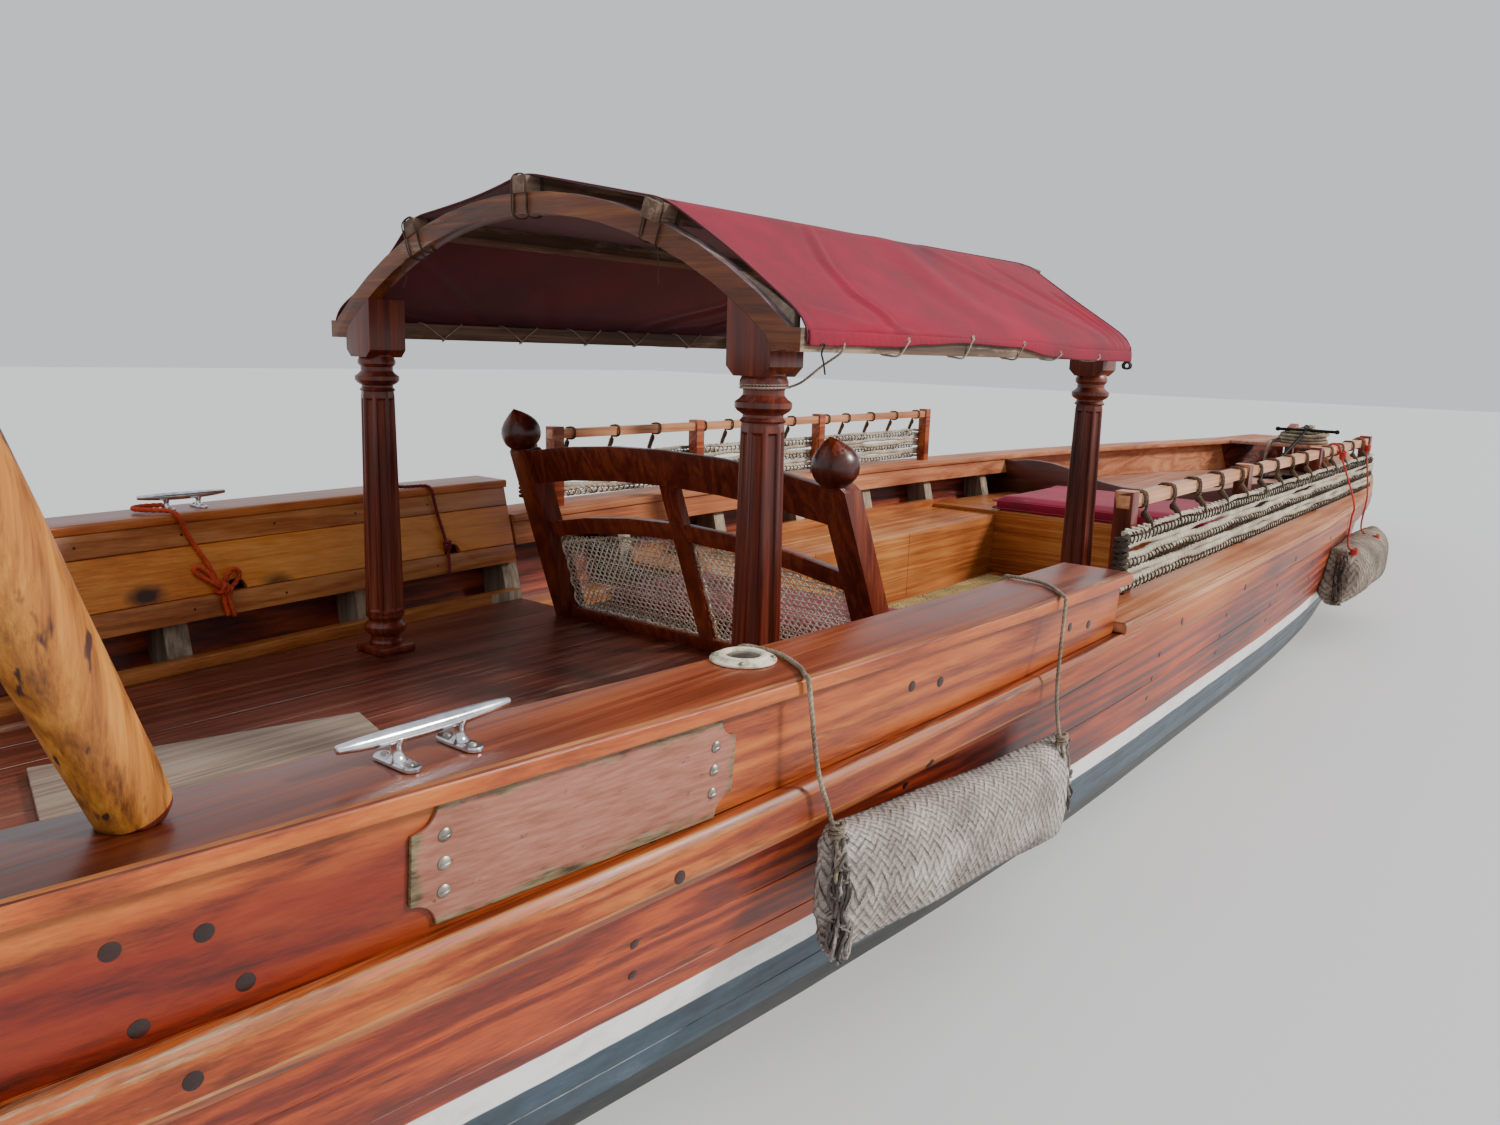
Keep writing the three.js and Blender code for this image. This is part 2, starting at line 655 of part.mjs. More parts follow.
function buildDecks() {
  const edge = (z) => (x) => Math.min(wallInner(x, z) + LINING - 1, hullY(x, z, PLANK) - 3);
  const deckX = TRANSOM_X + GAP;
  add("aft_deck", deck(deckX, DECK_END_X, DECK_TOP, DECK_THICK, edge(DECK_TOP - DECK_THICK)), PAINT.deck);
  const soleX = DECK_END_X + GAP;
  const soleEdge = (x) => hullY(x, SOLE_TOP - SOLE_THICK, PLANK) - 2;
  add("sole", deck(soleX, BULKHEAD_X - GAP, SOLE_TOP, SOLE_THICK, soleEdge), PAINT.bench);

  pair("side_bench", PAINT.bench, BENCH_START_X, BOX_X - GAP, (x) => {
    const out = edge(BENCH_TOP - 36)(x);
    return [
      [BENCH_FRONT_Y, SOLE_TOP + GAP],
      [BENCH_FRONT_Y, BENCH_TOP],
      [out, BENCH_TOP],
      [out, BENCH_TOP - 36],
      [BENCH_FRONT_Y + 26, BENCH_TOP - 36],
      [BENCH_FRONT_Y + 26, SOLE_TOP + GAP],
    ];
  });
  const boxSide = edge(BOX_TOP - 36);
  const front = wallInner(BOX_X, 220) + LINING - 2;
  const seatFront = box([BOX_X, BOX_X + 28], [-front, front], [SOLE_TOP + GAP, BOX_TOP - 20]);
  const seatTop = deck(BOX_X, BULKHEAD_X - GAP, BOX_TOP, 36, boxSide);
  add("forward_seat", joined(seatFront, seatTop), PAINT.deck);

  const foreEdge = (x) => Math.max(hullY(x, FOREDECK_TOP - 30, PLANK) - 6, 20);
  const x1 = BULKHEAD_X + SEAT_BACK;
  add("foredeck", deck(x1 + GAP, FOREDECK_END_X, FOREDECK_TOP, 30, foreEdge), PAINT.bench);
  const platform = long(...PLATFORM_X, (x) => {
    const [half, top] = [gunwaleInner(x) - GAP, waleTop(x) + GAP + GUNWALE_THICK];
    return [[-half, top - 26], [half, top - 26], [half, top], [-half, top]];
  });
  add("bow_platform", platform, PAINT.bench);
  const heights = [SOLE_TOP - SOLE_THICK, 150, 300, 450, waleTop(x1) - 2];
  const side = heights.map((z) => [Math.min(hullY(x1, z, PLANK), hullY(BULKHEAD_X, z, PLANK)) - 1.5, z]);
  // Top edge of the seat back from under the cap to the centreline: it dips to the cushion.
  const dip = [[940, 640], [860, 652], [780, 652], [680, 644], [570, 622], [450, 585], [330, 552], [190, 530], [0, 522]];
  const port = [...side, ...dip];
  const starboard = port.slice(0, -1).reverse().map(([y, z]) => [-y, z]);
  add("seat_back", board([...port, ...starboard], BULKHEAD_X, x1), PAINT.dark);
  const bulkX = DECK_END_X - 26;
  const underDeck = DECK_TOP - DECK_THICK - GAP;
  const aftPort = [
    [hullY(bulkX, SOLE_TOP, PLANK) - 6, SOLE_TOP + GAP],
    [hullY(bulkX, 160, PLANK) - 6, 160],
    [wallInner(bulkX, 220) + LINING - 2, 220],
    [wallInner(bulkX, 220) + LINING - 2, underDeck],
  ];
  const aftStarboard = aftPort.slice().reverse().map(([y, z]) => [-y, z]);
  add("aft_bulkhead", board([...aftPort, ...aftStarboard], bulkX, DECK_END_X - GAP), PAINT.deck);
}

/** A turned canopy post with its square block, whose top is cut to the arch's line. */
function buildPosts() {
  // Columns: radius, height.
  const profile = [
    [0, DECK_TOP + GAP], [72, DECK_TOP + GAP], [72, DECK_TOP + 26], [52, DECK_TOP + 34], [50, DECK_TOP + 62],
    [66, DECK_TOP + 74], [66, DECK_TOP + 96], [54, DECK_TOP + 106], [61, DECK_TOP + 130],
    [50, 1180], [56, 1192], [67, 1206], [67, 1222], [52, 1232], [50, BLOCK_BOTTOM + 6], [0, BLOCK_BOTTOM + 6],
  ].map(([r, z]) => new THREE.Vector2(r, z));
  const names = ["aft", "forward"];
  POST_X.forEach((x, i) => {
    const footLift = i === 0 ? 0 : BENCH_TOP - DECK_TOP;
    const shaped = profile.map((p, n) => new THREE.Vector2(p.x, n < 9 ? p.y + footLift : p.y));
    const shaft = new THREE.LatheGeometry(shaped, 16).rotateX(Math.PI / 2).translate(x, POST_Y, 0);
    const h = BLOCK / 2;
    const c = 22;
    const outline = [
      [POST_Y - h, BLOCK_BOTTOM + c], [POST_Y - h + c, BLOCK_BOTTOM], [POST_Y + h - c, BLOCK_BOTTOM],
      [POST_Y + h, BLOCK_BOTTOM + c], [POST_Y + h, ARCH_TOP], [POST_Y - h, ARCH_TOP],
    ];
    const under = archUnderside().map(([y, z]) => [y, z - GAP]);
    const aboveArch = [...under, [under.at(-1)[0], ARCH_TOP + 50], [under[0][0], ARCH_TOP + 50]];
    const block = cut(board(outline, x - h, x + h), board(aboveArch, x - h - 5, x + h + 5));
    const post = joined(shaft, block);
    add(`post_${names[i]}_port`, post, PAINT.dark);
    add(`post_${names[i]}_starboard`, mirrored(post), PAINT.dark);
  });
}

/** Height of the arches' curve of a radius, at a distance from the centreline. */
const archAt = (radius, y) => ARCH_TOP - ARCH_RADIUS + Math.sqrt(radius ** 2 - y ** 2);

/** Points [y, z] along the arches at a radius, from port to starboard, out to a half span. */
function archLine(radius, halfSpan) {
  const steps = 18;
  const sweep = Math.asin(halfSpan / radius);
  return Array.from({ length: steps + 1 }, (_, i) => {
    const y = radius * Math.sin(sweep * (1 - (2 * i) / steps));
    return [y, archAt(radius, y)];
  });
}

/** Underside of an arch, with the full ends that stand out past the blocks. */
function archUnderside() {
  const { y, z } = ARCH_FOOT;
  return [[y, z], ...archLine(ARCH_RADIUS - ARCH_DEEP, y - 16), [-y, z]];
}

/** Mirror of a row of points [y, z], in the same sense round. */
const facing = (points) => points.map(([y, z]) => [-y, z]).reverse();

function buildCanopy() {
  const centre = ARCH_TOP - ARCH_RADIUS;
  const end = ARCH_HALF_SPAN;
  const top = archLine(ARCH_RADIUS, end);
  const foot = [-end, ARCH_FOOT.z + 5];
  const outline = [...top, foot, ...archUnderside().reverse(), [end, ARCH_FOOT.z + 5]];
  const near = POST_X.map((x) => x - BLOCK / 2);
  const arches = near.map((x) => board(outline, x, x + ARCH_THICK));
  // Wedges that lift the cloth over the eaves, on the forward half of each arch.
  const wedge = [
    [705, archAt(ARCH_RADIUS - 1, 705)], [end, archAt(ARCH_RADIUS - 1, end)], [end, 1424], [790, 1468],
  ].reverse();
  const wedges = near.flatMap((x) =>
    [wedge, facing(wedge)].map((points) => board(points, x + ARCH_THICK / 2, x + ARCH_THICK)),
  );

  const letIn = 3; // of the purlins, into the arches
  // Columns: angle from the ridge in degrees, how far the aft end stands out past the arch.
  const rows = [[20.8, 4], [0, 8], [-20.8, 26]];
  const past = 122; // of the fore ends, past the forward arch's aft face
  const purlins = (spare) =>
    rows.map(([degrees, aft]) => {
      const angle = THREE.MathUtils.degToRad(degrees);
      const r = ARCH_RADIUS + PURLIN / 2 - letIn;
      const across = [-PURLIN / 2 - spare, PURLIN / 2 + spare];
      const timber = box([near[0] - aft, near[1] + past], across, across).rotateX(-angle);
      return timber.translate(0, r * Math.sin(angle), centre + r * Math.cos(angle));
    });
  const eaves = [1, -1].map((s) => {
    const across = [s * (end - letIn), s * (end - letIn + EAVES.thick)].sort((a, b) => a - b);
    return box([near[0], near[1] + ARCH_THICK], across, [EAVES.low, EAVES.high]);
  });
  add("canopy_frame", joined(...arches, ...wedges, ...purlins(0), ...eaves), PAINT.arch);

  // The cloth runs straight from purlin to purlin and on over the eaves, then hangs.
  const lie = ARCH_RADIUS + PURLIN - letIn + GAP;
  const outer = end - letIn + EAVES.thick + GAP;
  const section = (out) => {
    const corners = rows.flatMap(([degrees]) => {
      const angle = THREE.MathUtils.degToRad(degrees);
      return [PURLIN / 2, -PURLIN / 2].map((half) => [
        (lie + out) * Math.sin(angle) + half * Math.cos(angle),
        centre + (lie + out) * Math.cos(angle) - half * Math.sin(angle),
      ]);
    });
    const eave = [[outer + out, CANVAS_HEM_Z], [outer + out, EAVES.high + GAP + out / 2], [end, 1425 + GAP + out]];
    return [...eave, ...corners, ...facing(eave)];
  };
  const cloth = board([...section(CANVAS), ...section(0).reverse()], ...CANVAS_X);
  add("canopy_canvas", cut(cloth, ...purlins(GAP)), PAINT.canvas);
}

function buildHelmBench() {
  const at = (z) => BENCH_FOOT_X - BENCH_LEAN * (z - DECK_TOP);
  const yAt = (z) =>
    THREE.MathUtils.lerp(BENCH_POST_Y[0], BENCH_POST_Y[1], (z - DECK_TOP) / (BENCH_POST_TOP - DECK_TOP));
  /** A timber in the leaning plane, between two [y, z] rows of points. */
  const timber = (points, thick) => {
    const ring = (side) =>
      points.map(([y, z]) => new THREE.Vector3(at(z) + (side * thick) / 2, y, z));
    return skin([ring(-1), ring(1)]);
  };
  const h = BENCH_POST / 2;
  const bevel = 18;
  const [foot, shoulder, top] = [DECK_TOP + GAP, BENCH_POST_TOP - bevel, BENCH_POST_TOP];
  const post = timber(
    [
      [yAt(foot) - h, foot], [yAt(foot) + h, foot],
      [yAt(shoulder) + h, shoulder], [yAt(top) + h - bevel, top],
      [yAt(top) - h + bevel, top], [yAt(shoulder) - h, shoulder],
    ],
    BENCH_POST,
  );
  // Columns: radius, height above the post's top, of the onion-shaped ball.
  const ball = [
    [0, -6], [40, -6], [38, 4], [52, 16], [63, 36], [FINIAL_R, 56], [60, 80], [45, 104], [24, 124], [8, 136], [0, 142],
  ].map(([r, z]) => new THREE.Vector2(r, z));
  const finial = new THREE.LatheGeometry(ball, 16)
    .rotateX(Math.PI / 2)
    .rotateY(-Math.atan(BENCH_LEAN))
    .translate(at(BENCH_POST_TOP), yAt(BENCH_POST_TOP), BENCH_POST_TOP);
  /** Edge of a rail across the bench, rising to its middle. */
  const bow = (z, rise) => {
    const steps = 6;
    return Array.from({ length: steps + 1 }, (_, i) => {
      const s = 1 - (2 * i) / steps;
      return [640 * s, z + rise * (1 - s * s)];
    });
  };
  const rail = (low, high, rise, thick) => timber([...bow(high, rise), ...bow(low, rise).reverse()], thick);
  const stileHalf = 31;
  const stileTop = 930;
  const sillTop = DECK_TOP + 44;
  const secondRail = { low: 660, high: 716, rise: 74 };
  const stile = timber(
    [[-stileHalf, DECK_TOP + 2], [stileHalf, DECK_TOP + 2], [stileHalf, stileTop], [-stileHalf, stileTop]],
    34,
  );
  const sill = timber([[-660, DECK_TOP + GAP], [660, DECK_TOP + GAP], [660, sillTop], [-660, sillTop]], 40);
  add(
    "helm_bench_frame",
    joined(
      post,
      mirrored(post),
      finial,
      mirrored(finial),
      rail(858, 972, 56, 46),
      rail(secondRail.low, secondRail.high, secondRail.rise, 40),
      stile,
      sill,
    ),
    PAINT.dark,
  );
  const underRail = bow(secondRail.low, secondRail.rise);
  const railAt = (y) => {
    const i = underRail.findIndex(([ry]) => ry <= y);
    const [p, q] = [underRail[i - 1], underRail[i]];
    return q[1] + ((p[1] - q[1]) * (y - q[0])) / (p[0] - q[0]) - GAP;
  };
  const beside = (z) => yAt(z) - h - GAP;
  const topCorner = beside(secondRail.low);
  const cane = timber(
    [
      [stileHalf + GAP, sillTop + GAP],
      [beside(sillTop), sillTop + GAP],
      [topCorner, railAt(topCorner)],
      ...underRail.slice(1, 3).map(([y]) => [y, railAt(y)]),
      [stileHalf + GAP, railAt(stileHalf + GAP)],
    ],
    12,
  );
  add("cane_panel_port", cane, PAINT.straw);
  add("cane_panel_starboard", mirrored(cane), PAINT.straw);

  const seatEnd = -1310;
  const seatX = DECK_END_X + GAP;
  const seatTop = 372;
  const seat = joined(
    box([seatX, seatEnd], [-640, 640], [seatTop - 32, seatTop]),
    box([seatEnd - 28, seatEnd - 2], [-600, 600], [SOLE_TOP + GAP, seatTop - 10]),
  );
  add("helm_seat", seat, PAINT.deck);
  add("helm_cushion", box([seatX + 10, seatEnd + 15], [-600, 600], [seatTop + GAP, seatTop + 85]), PAINT.cushion);
}

function buildSoftGoods() {
  add("forward_cushion", box([BOX_X + 8, BULKHEAD_X - 12], [-650, 656], [BOX_TOP + GAP, BOX_TOP + 82]), PAINT.cushion);
  add("rush_mat", box([-350, 1350], [-330, 570], [SOLE_TOP + GAP, SOLE_TOP + 12]), PAINT.straw);
}

/** Rail, posts and rope net along one lower gunwale. */
function buildRail(name, side, x0, x1, top, postXs) {
  const y = side * RAIL_Y;
  const around = (v, half) => [v - half, v + half];
  const rail = box([x0, x1], around(y, RAIL / 2), [top - RAIL, top]);
  const posts = postXs.map((x) =>
    box(around(x, 27), around(y, 27), [waleTop(x) + GAP * 2 + GUNWALE_THICK, top + 12]),
  );
  add("rail_" + name, joined(rail, ...posts), PAINT.bench);
  const netTop = 868;
  const net = box([x0 + 40, x1 - 40], around(y + side * 44, NET_THICK / 2), [700, netTop]);
  const drops = [];
  const pitch = 265;
  const count = Math.floor((x1 - x0 - 200) / pitch);
  for (let i = 0; i <= count; i++) {
    const x = x0 + 120 + i * pitch;
    if (postXs.some((post) => Math.abs(post - x) < 40)) continue;
    drops.push(box(around(x, 9), around(y + side * (RAIL / 2 + 13), 12.5), [netTop - 60, top - 8]));
  }
  const cord = joined(net, ...drops);
  add("net_" + name, cord, PAINT.rope);
}

function buildFittings() {
  // Two-legged cleats on the caps; the port one stands further forward.
  const cleat = { x: -3818, y: -1114, length: 270, rise: 40, feet: 50, portShift: [748, 77] };
  const foot = (x) =>
    joined(
      new THREE.CylinderGeometry(24, 26, 8, 12).rotateX(Math.PI / 2).translate(x, cleat.y, CAP_TOP + 4 + GAP),
      new THREE.CylinderGeometry(9, 11, cleat.rise, 10)
        .rotateX(Math.PI / 2)
        .translate(x, cleat.y, CAP_TOP + cleat.rise / 2),
    );
  const horn = skin(
    [-1, -0.6, -0.25, 0.25, 0.6, 1].map((s) => {
      const r = 12 - 7 * s * s;
      const ring = [];
      for (let i = 0; i < 8; i++) {
        const a = (i * Math.PI) / 4;
        ring.push(
          new THREE.Vector3(
            cleat.x + (s * cleat.length) / 2,
            cleat.y + r * Math.cos(a),
            CAP_TOP + cleat.rise + r * Math.sin(a) + 3 * s * s,
          ),
        );
      }
      return ring;
    }),
  );
  const above = box([-9000, 9000], [-9000, 9000], [CAP_TOP + GAP, 2000]);
  const parts = [horn, foot(cleat.x - cleat.feet), foot(cleat.x + cleat.feet)];
  const cleatGeometry = meshOf(solid(joined(...parts)).intersect(solid(above)));
  add("cleat_starboard", cleatGeometry, PAINT.alloy);
  add("cleat_port", mirrored(cleatGeometry).translate(...cleat.portShift, 0), PAINT.alloy);

  // Flanged filler pipe in the starboard cap.
  const pipe = { x: -3172, y: -1132, flange: 60, hole: 30 };
  const ring = [
    [pipe.hole, CAP_TOP + GAP], [pipe.flange, CAP_TOP + GAP], [pipe.flange, CAP_TOP + 6],
    [pipe.hole + 14, CAP_TOP + 13], [pipe.hole, CAP_TOP + 13], [pipe.hole, CAP_TOP + GAP],
  ].map(([r, z]) => new THREE.Vector2(r, z));
  const flange = new THREE.LatheGeometry(ring, 24).rotateX(Math.PI / 2).translate(pipe.x, pipe.y, 0);
  add("deck_pipe", meshOf(solid(flange)), PAINT.plastic);

  // Blank plate on the bulwark board.
  const [x0, x1, z0, z1] = [-3895, -3325, 592, 764];
  const corner = 26;
  const outline = [
    [x0 + corner, z0], [x1 - corner, z0], [x1, z0 + corner], [x1, z1 - corner],
    [x1 - corner, z1], [x0 + corner, z1], [x0, z1 - corner], [x0, z0 + corner],
  ];
  const sheet = long(x0, x1, (x) => [
    [bulwarkOuter(x, z0) + GAP, z0],
    [bulwarkOuter(x, z1) + GAP, z1],
    [bulwarkOuter(x, z1) + 7, z1],
    [bulwarkOuter(x, z0) + 7, z0],
  ]);
  const shape = solid(plate(outline, 900, 1500));
  add("name_plate", mirrored(meshOf(solid(sheet).intersect(shape))), PAINT.plate);
}

/** A stuffed sack fender hung on two ropes, lying along the side. */
function fender(from, to, half) {
  const rings = [];
  // Columns: place along the sack, share of its full width.
  for (const [s, w] of [[0, 0.35], [0.04, 0.72], [0.14, 0.96], [0.35, 1], [0.65, 1], [0.86, 0.96], [0.96, 0.74], [1, 0.4]]) {
    const c = from.clone().lerp(to, s);
    const ring = [];
    for (let i = 0; i < 12; i++) {
      const a = (i * Math.PI) / 6;
      ring.push(new THREE.Vector3(c.x, c.y + half.wide * w * Math.cos(a), c.z + half.tall * w * Math.sin(a)));
    }
    rings.push(ring);
  }
  return skin(rings);
}

/** The starboard fenders with their ropes, which pass over the cap's edge or hang from the rail. */
function buildFenders(cap) {
  const v = (x, y, z) => new THREE.Vector3(x, y, z);
  const rope = (points, r = 5) => joined(...points.slice(1).map((p, i) => bar(points[i], p, r, 6)));
  const side = long(TRANSOM_X, BOW_X, (x) => [
    ...section(x, 0),
    [0, lines(x, COLUMN.rabbet)],
    [0, lines(x, COLUMN.wale)],
  ]);
  const against = (sack) => cut(sack, mirrored(side)).translate(0, -GAP, 0);
  const near = against(fender(v(-3105, -1290, 350), v(-2195, -1345, 330), { wide: 66, tall: 114 }));
  add("fender_aft", near, PAINT.palm);
  const edge = (x) => -(halfTop(x) + BULWARK_LEAN + CAP_OVERHANG + 4);
  const lay = CAP_TOP + 4;
  const onCap = (points) => {
    const overCap = mirrored(cap).translate(0, 0, GAP);
    const besideCap = mirrored(cap).translate(0, -GAP, 0);
    const roundSack = near.clone().translate(0, 0, GAP);
    return cut(rope(points), overCap, besideCap, roundSack);
  };
  add(
    "fender_rope_aft",
    onCap([
      v(-3245, -1140, lay), v(-3190, edge(-3190), lay), v(-3182, -1286, 640),
      v(-3150, -1300, 470), v(-3098, -1290, 372),
    ]),
    PAINT.rope,
  );
  add(
    "fender_rope_middle",
    onCap([
      v(-2140, -1190, lay), v(-2140, edge(-2140), lay), v(-2160, edge(-2140), 640),
      v(-2255, -1352, 500), v(-2270, -1345, 425),
    ]),
    PAINT.rope,
  );
  // A fuller sack, pressed flat where it bears on the planking.
  const sack = against(fender(v(1240, -1308, 333), v(2104, -1322, 357), { wide: 118, tall: 125 }));
  const hangers = [[1580, 1540], [2160, 2040]].map(([railX, sackX]) => {
    const gunwale = -(halfTop(railX) + WALE_OUT + 9);
    return rope([
      v(railX, -RAIL_Y - RAIL / 2 - 7, 942), v(railX, -RAIL_Y - 75, 875), v(railX, gunwale, 690),
      v(railX, gunwale, 540), v(sackX, -1310, 400),
    ], 6);
  });
  add("fender_forward", joined(sack, ...hangers), PAINT.palm);
}

/** Two raked poles on the caps, and a bar lashed across them. */
function buildPoles() {
  const above = box([-9000, 9000], [-9000, 9000], [CAP_TOP + GAP, 4000]);
  const along = new THREE.Vector3(-POLE.aft, POLE.out, 1).normalize();
  const foot = new THREE.Vector3(POLE.x, POLE.y, CAP_TOP);
  const reach = (s) => foot.clone().addScaledVector(along, s);
  const pole = (spare) => {
    // Columns: radius, distance along the pole from its foot.
    const profile = [[0, -90], [POLE.footR, -90], [POLE.footR, 0], [POLE.r, POLE.trimmed], [POLE.topR, POLE.tall], [0, POLE.tall]];
    return new THREE.LatheGeometry(profile.map(([r, s]) => new THREE.Vector2(r && r + spare, s)), 16)
      .applyQuaternion(new THREE.Quaternion().setFromUnitVectors(new THREE.Vector3(0, 1, 0), along))
      .translate(...foot.toArray());
  };
  const port = meshOf(solid(pole(0)).intersect(solid(above)));
  add("pole_port", port, PAINT.pole);
  add("pole_starboard", mirrored(port), PAINT.pole);

  const ahead = new THREE.Vector3(1, 0, POLE.aft).normalize();
  const between = POLE.topR + POLE_BAR.r - 4; // from the pole's axis to the bar's
  const middle = reach(POLE_BAR.at).addScaledVector(ahead, between);
  const bar0 = new THREE.Vector3(middle.x, -POLE_BAR.half, middle.z);
  const bar1 = new THREE.Vector3(middle.x, POLE_BAR.half, middle.z);
  const lash = { tall: 120, thick: 11 };
  const turns = new THREE.CylinderGeometry(1, 1, lash.tall, 20)
    .scale(POLE.topR + POLE_BAR.r + lash.thick, 1, POLE.r + lash.thick)
    .rotateX(Math.PI / 2)
    .rotateY(-Math.atan(POLE.aft))
    .translate(...reach(POLE_BAR.at).addScaledVector(ahead, between / 2).toArray());
  const whole = joined(bar(bar0, bar1, POLE_BAR.r, 16), turns, mirrored(turns));
  add("pole_bar", cut(whole, pole(GAP), mirrored(pole(GAP))), PAINT.pole);
}

/** The anchor's arms lie on the foredeck and its stock on a heap of rope at the bow. */
function buildAnchor() {
  const v = (x, y, z) => new THREE.Vector3(x, y, z);
  const r = 14;
  const lie = FOREDECK_TOP + r;
  const stockZ = 812;
  const crown = v(4760, -120, lie);
  const shank = (spare) => bar(crown, v(5452 + spare, -255, stockZ), r + spare, 8);
  const stock = (spare) => bar(v(5440, -505, stockZ), v(5440, -15 + spare, stockZ), 13 + spare, 8);
  const arms = [v(4900, 90, lie), v(4900, -330, lie)].map((tip) => bar(crown, tip, r + 2, 8));
  const above = box([-9000, 9000], [-9000, 9000], [FOREDECK_TOP + GAP, 2000]);
  const anchor = meshOf(solid(joined(shank(0), stock(0), ...arms)).intersect(solid(above)));
  add("anchor", anchor, PAINT.iron);
  // Columns: radius, height, of the heap of rope.
  const heap = [[0, 640], [205, 640], [212, 735], [190, 772], [130, 796], [60, 806], [0, 808]].map(
    ([hr, z]) => new THREE.Vector2(hr, z),
  );
  const round = new THREE.LatheGeometry(heap, 20).rotateX(Math.PI / 2).translate(5540, -215, 0);
  // The caps and the platform lie level; the heap is cut to them.
  const floor = long(5200, 5840, (x) => {
    const [half, top] = [halfTop(x) + 100, waleTop(x) + 2 * GAP + GUNWALE_THICK];
    return [[-half, 600], [half, 600], [half, top], [-half, top]];
  });
  add("anchor_rope", cut(round, floor, shank(2 * GAP), stock(2 * GAP)), PAINT.rope);
}

const planking = buildPlanking();
buildBackbone();
buildStern();
buildRudder();
const cap = buildSides(planking);
buildFrames();
buildDecks();
buildPosts();
buildCanopy();
buildHelmBench();
buildSoftGoods();
buildRail("port", 1, -1560, 1620, 985, [-1530, -627, 404, 1590]);
buildRail("starboard", -1, -1490, 2330, 955, [-1462, -200, 1050, 2300]);
buildFittings();
buildFenders(cap);
buildPoles();
buildAnchor();

export default boat;
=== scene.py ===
"""Looks of an open wooden dhow afloat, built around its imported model.

Metres throughout. X runs towards the bow, Y to port and Z up from the water plane.
"""

from __future__ import annotations

import logging
import math
import random
from collections.abc import Callable, Iterator, Sequence
from contextlib import contextmanager
from dataclasses import dataclass, field, replace
from enum import Enum

import bmesh
import bpy
from mathutils import Matrix, Vector


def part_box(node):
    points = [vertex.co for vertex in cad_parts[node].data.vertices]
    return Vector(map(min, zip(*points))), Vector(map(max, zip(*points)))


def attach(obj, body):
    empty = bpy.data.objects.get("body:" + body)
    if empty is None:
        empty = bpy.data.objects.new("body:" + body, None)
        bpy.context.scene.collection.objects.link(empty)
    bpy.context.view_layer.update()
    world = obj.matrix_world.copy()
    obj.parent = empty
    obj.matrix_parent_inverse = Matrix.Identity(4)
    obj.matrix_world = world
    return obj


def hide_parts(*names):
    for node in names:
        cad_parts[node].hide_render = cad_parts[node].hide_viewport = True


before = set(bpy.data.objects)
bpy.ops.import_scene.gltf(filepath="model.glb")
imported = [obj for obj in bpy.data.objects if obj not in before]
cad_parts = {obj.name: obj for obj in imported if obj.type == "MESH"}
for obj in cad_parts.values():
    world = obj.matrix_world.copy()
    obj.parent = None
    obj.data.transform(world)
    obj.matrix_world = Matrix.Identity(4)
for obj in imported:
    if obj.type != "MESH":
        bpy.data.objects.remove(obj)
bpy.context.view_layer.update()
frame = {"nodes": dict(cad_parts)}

log = logging.getLogger("dhow")

Piece = bpy.types.Object
Socket = bpy.types.NodeSocket
Material = bpy.types.Material
Point = tuple[float, float, float]
Pair = tuple[float, float]
HULL = "hull"
STEERING = "steering"
CAP_TOP = 0.798
DECK_TOP = 0.34
PORT = 1
STARBOARD = -1
SIDES = {"port": PORT, "starboard": STARBOARD}


def paint(code: str) -> tuple[float, ...]:
    """A linear colour from its six hexadecimal digits.

    Args:
        code: Red, green and blue as shown on a screen, such as "8F3A18".

    Returns:
        The colour as Blender's sockets take it, with full cover.
    """
    shown = [int(code[i:i + 2], 16) / 255 for i in (0, 2, 4)]
    return (*(s / 12.92 if s <= 0.04045 else ((s + 0.055) / 1.055) ** 2.4 for s in shown), 1.0)


# Finishes


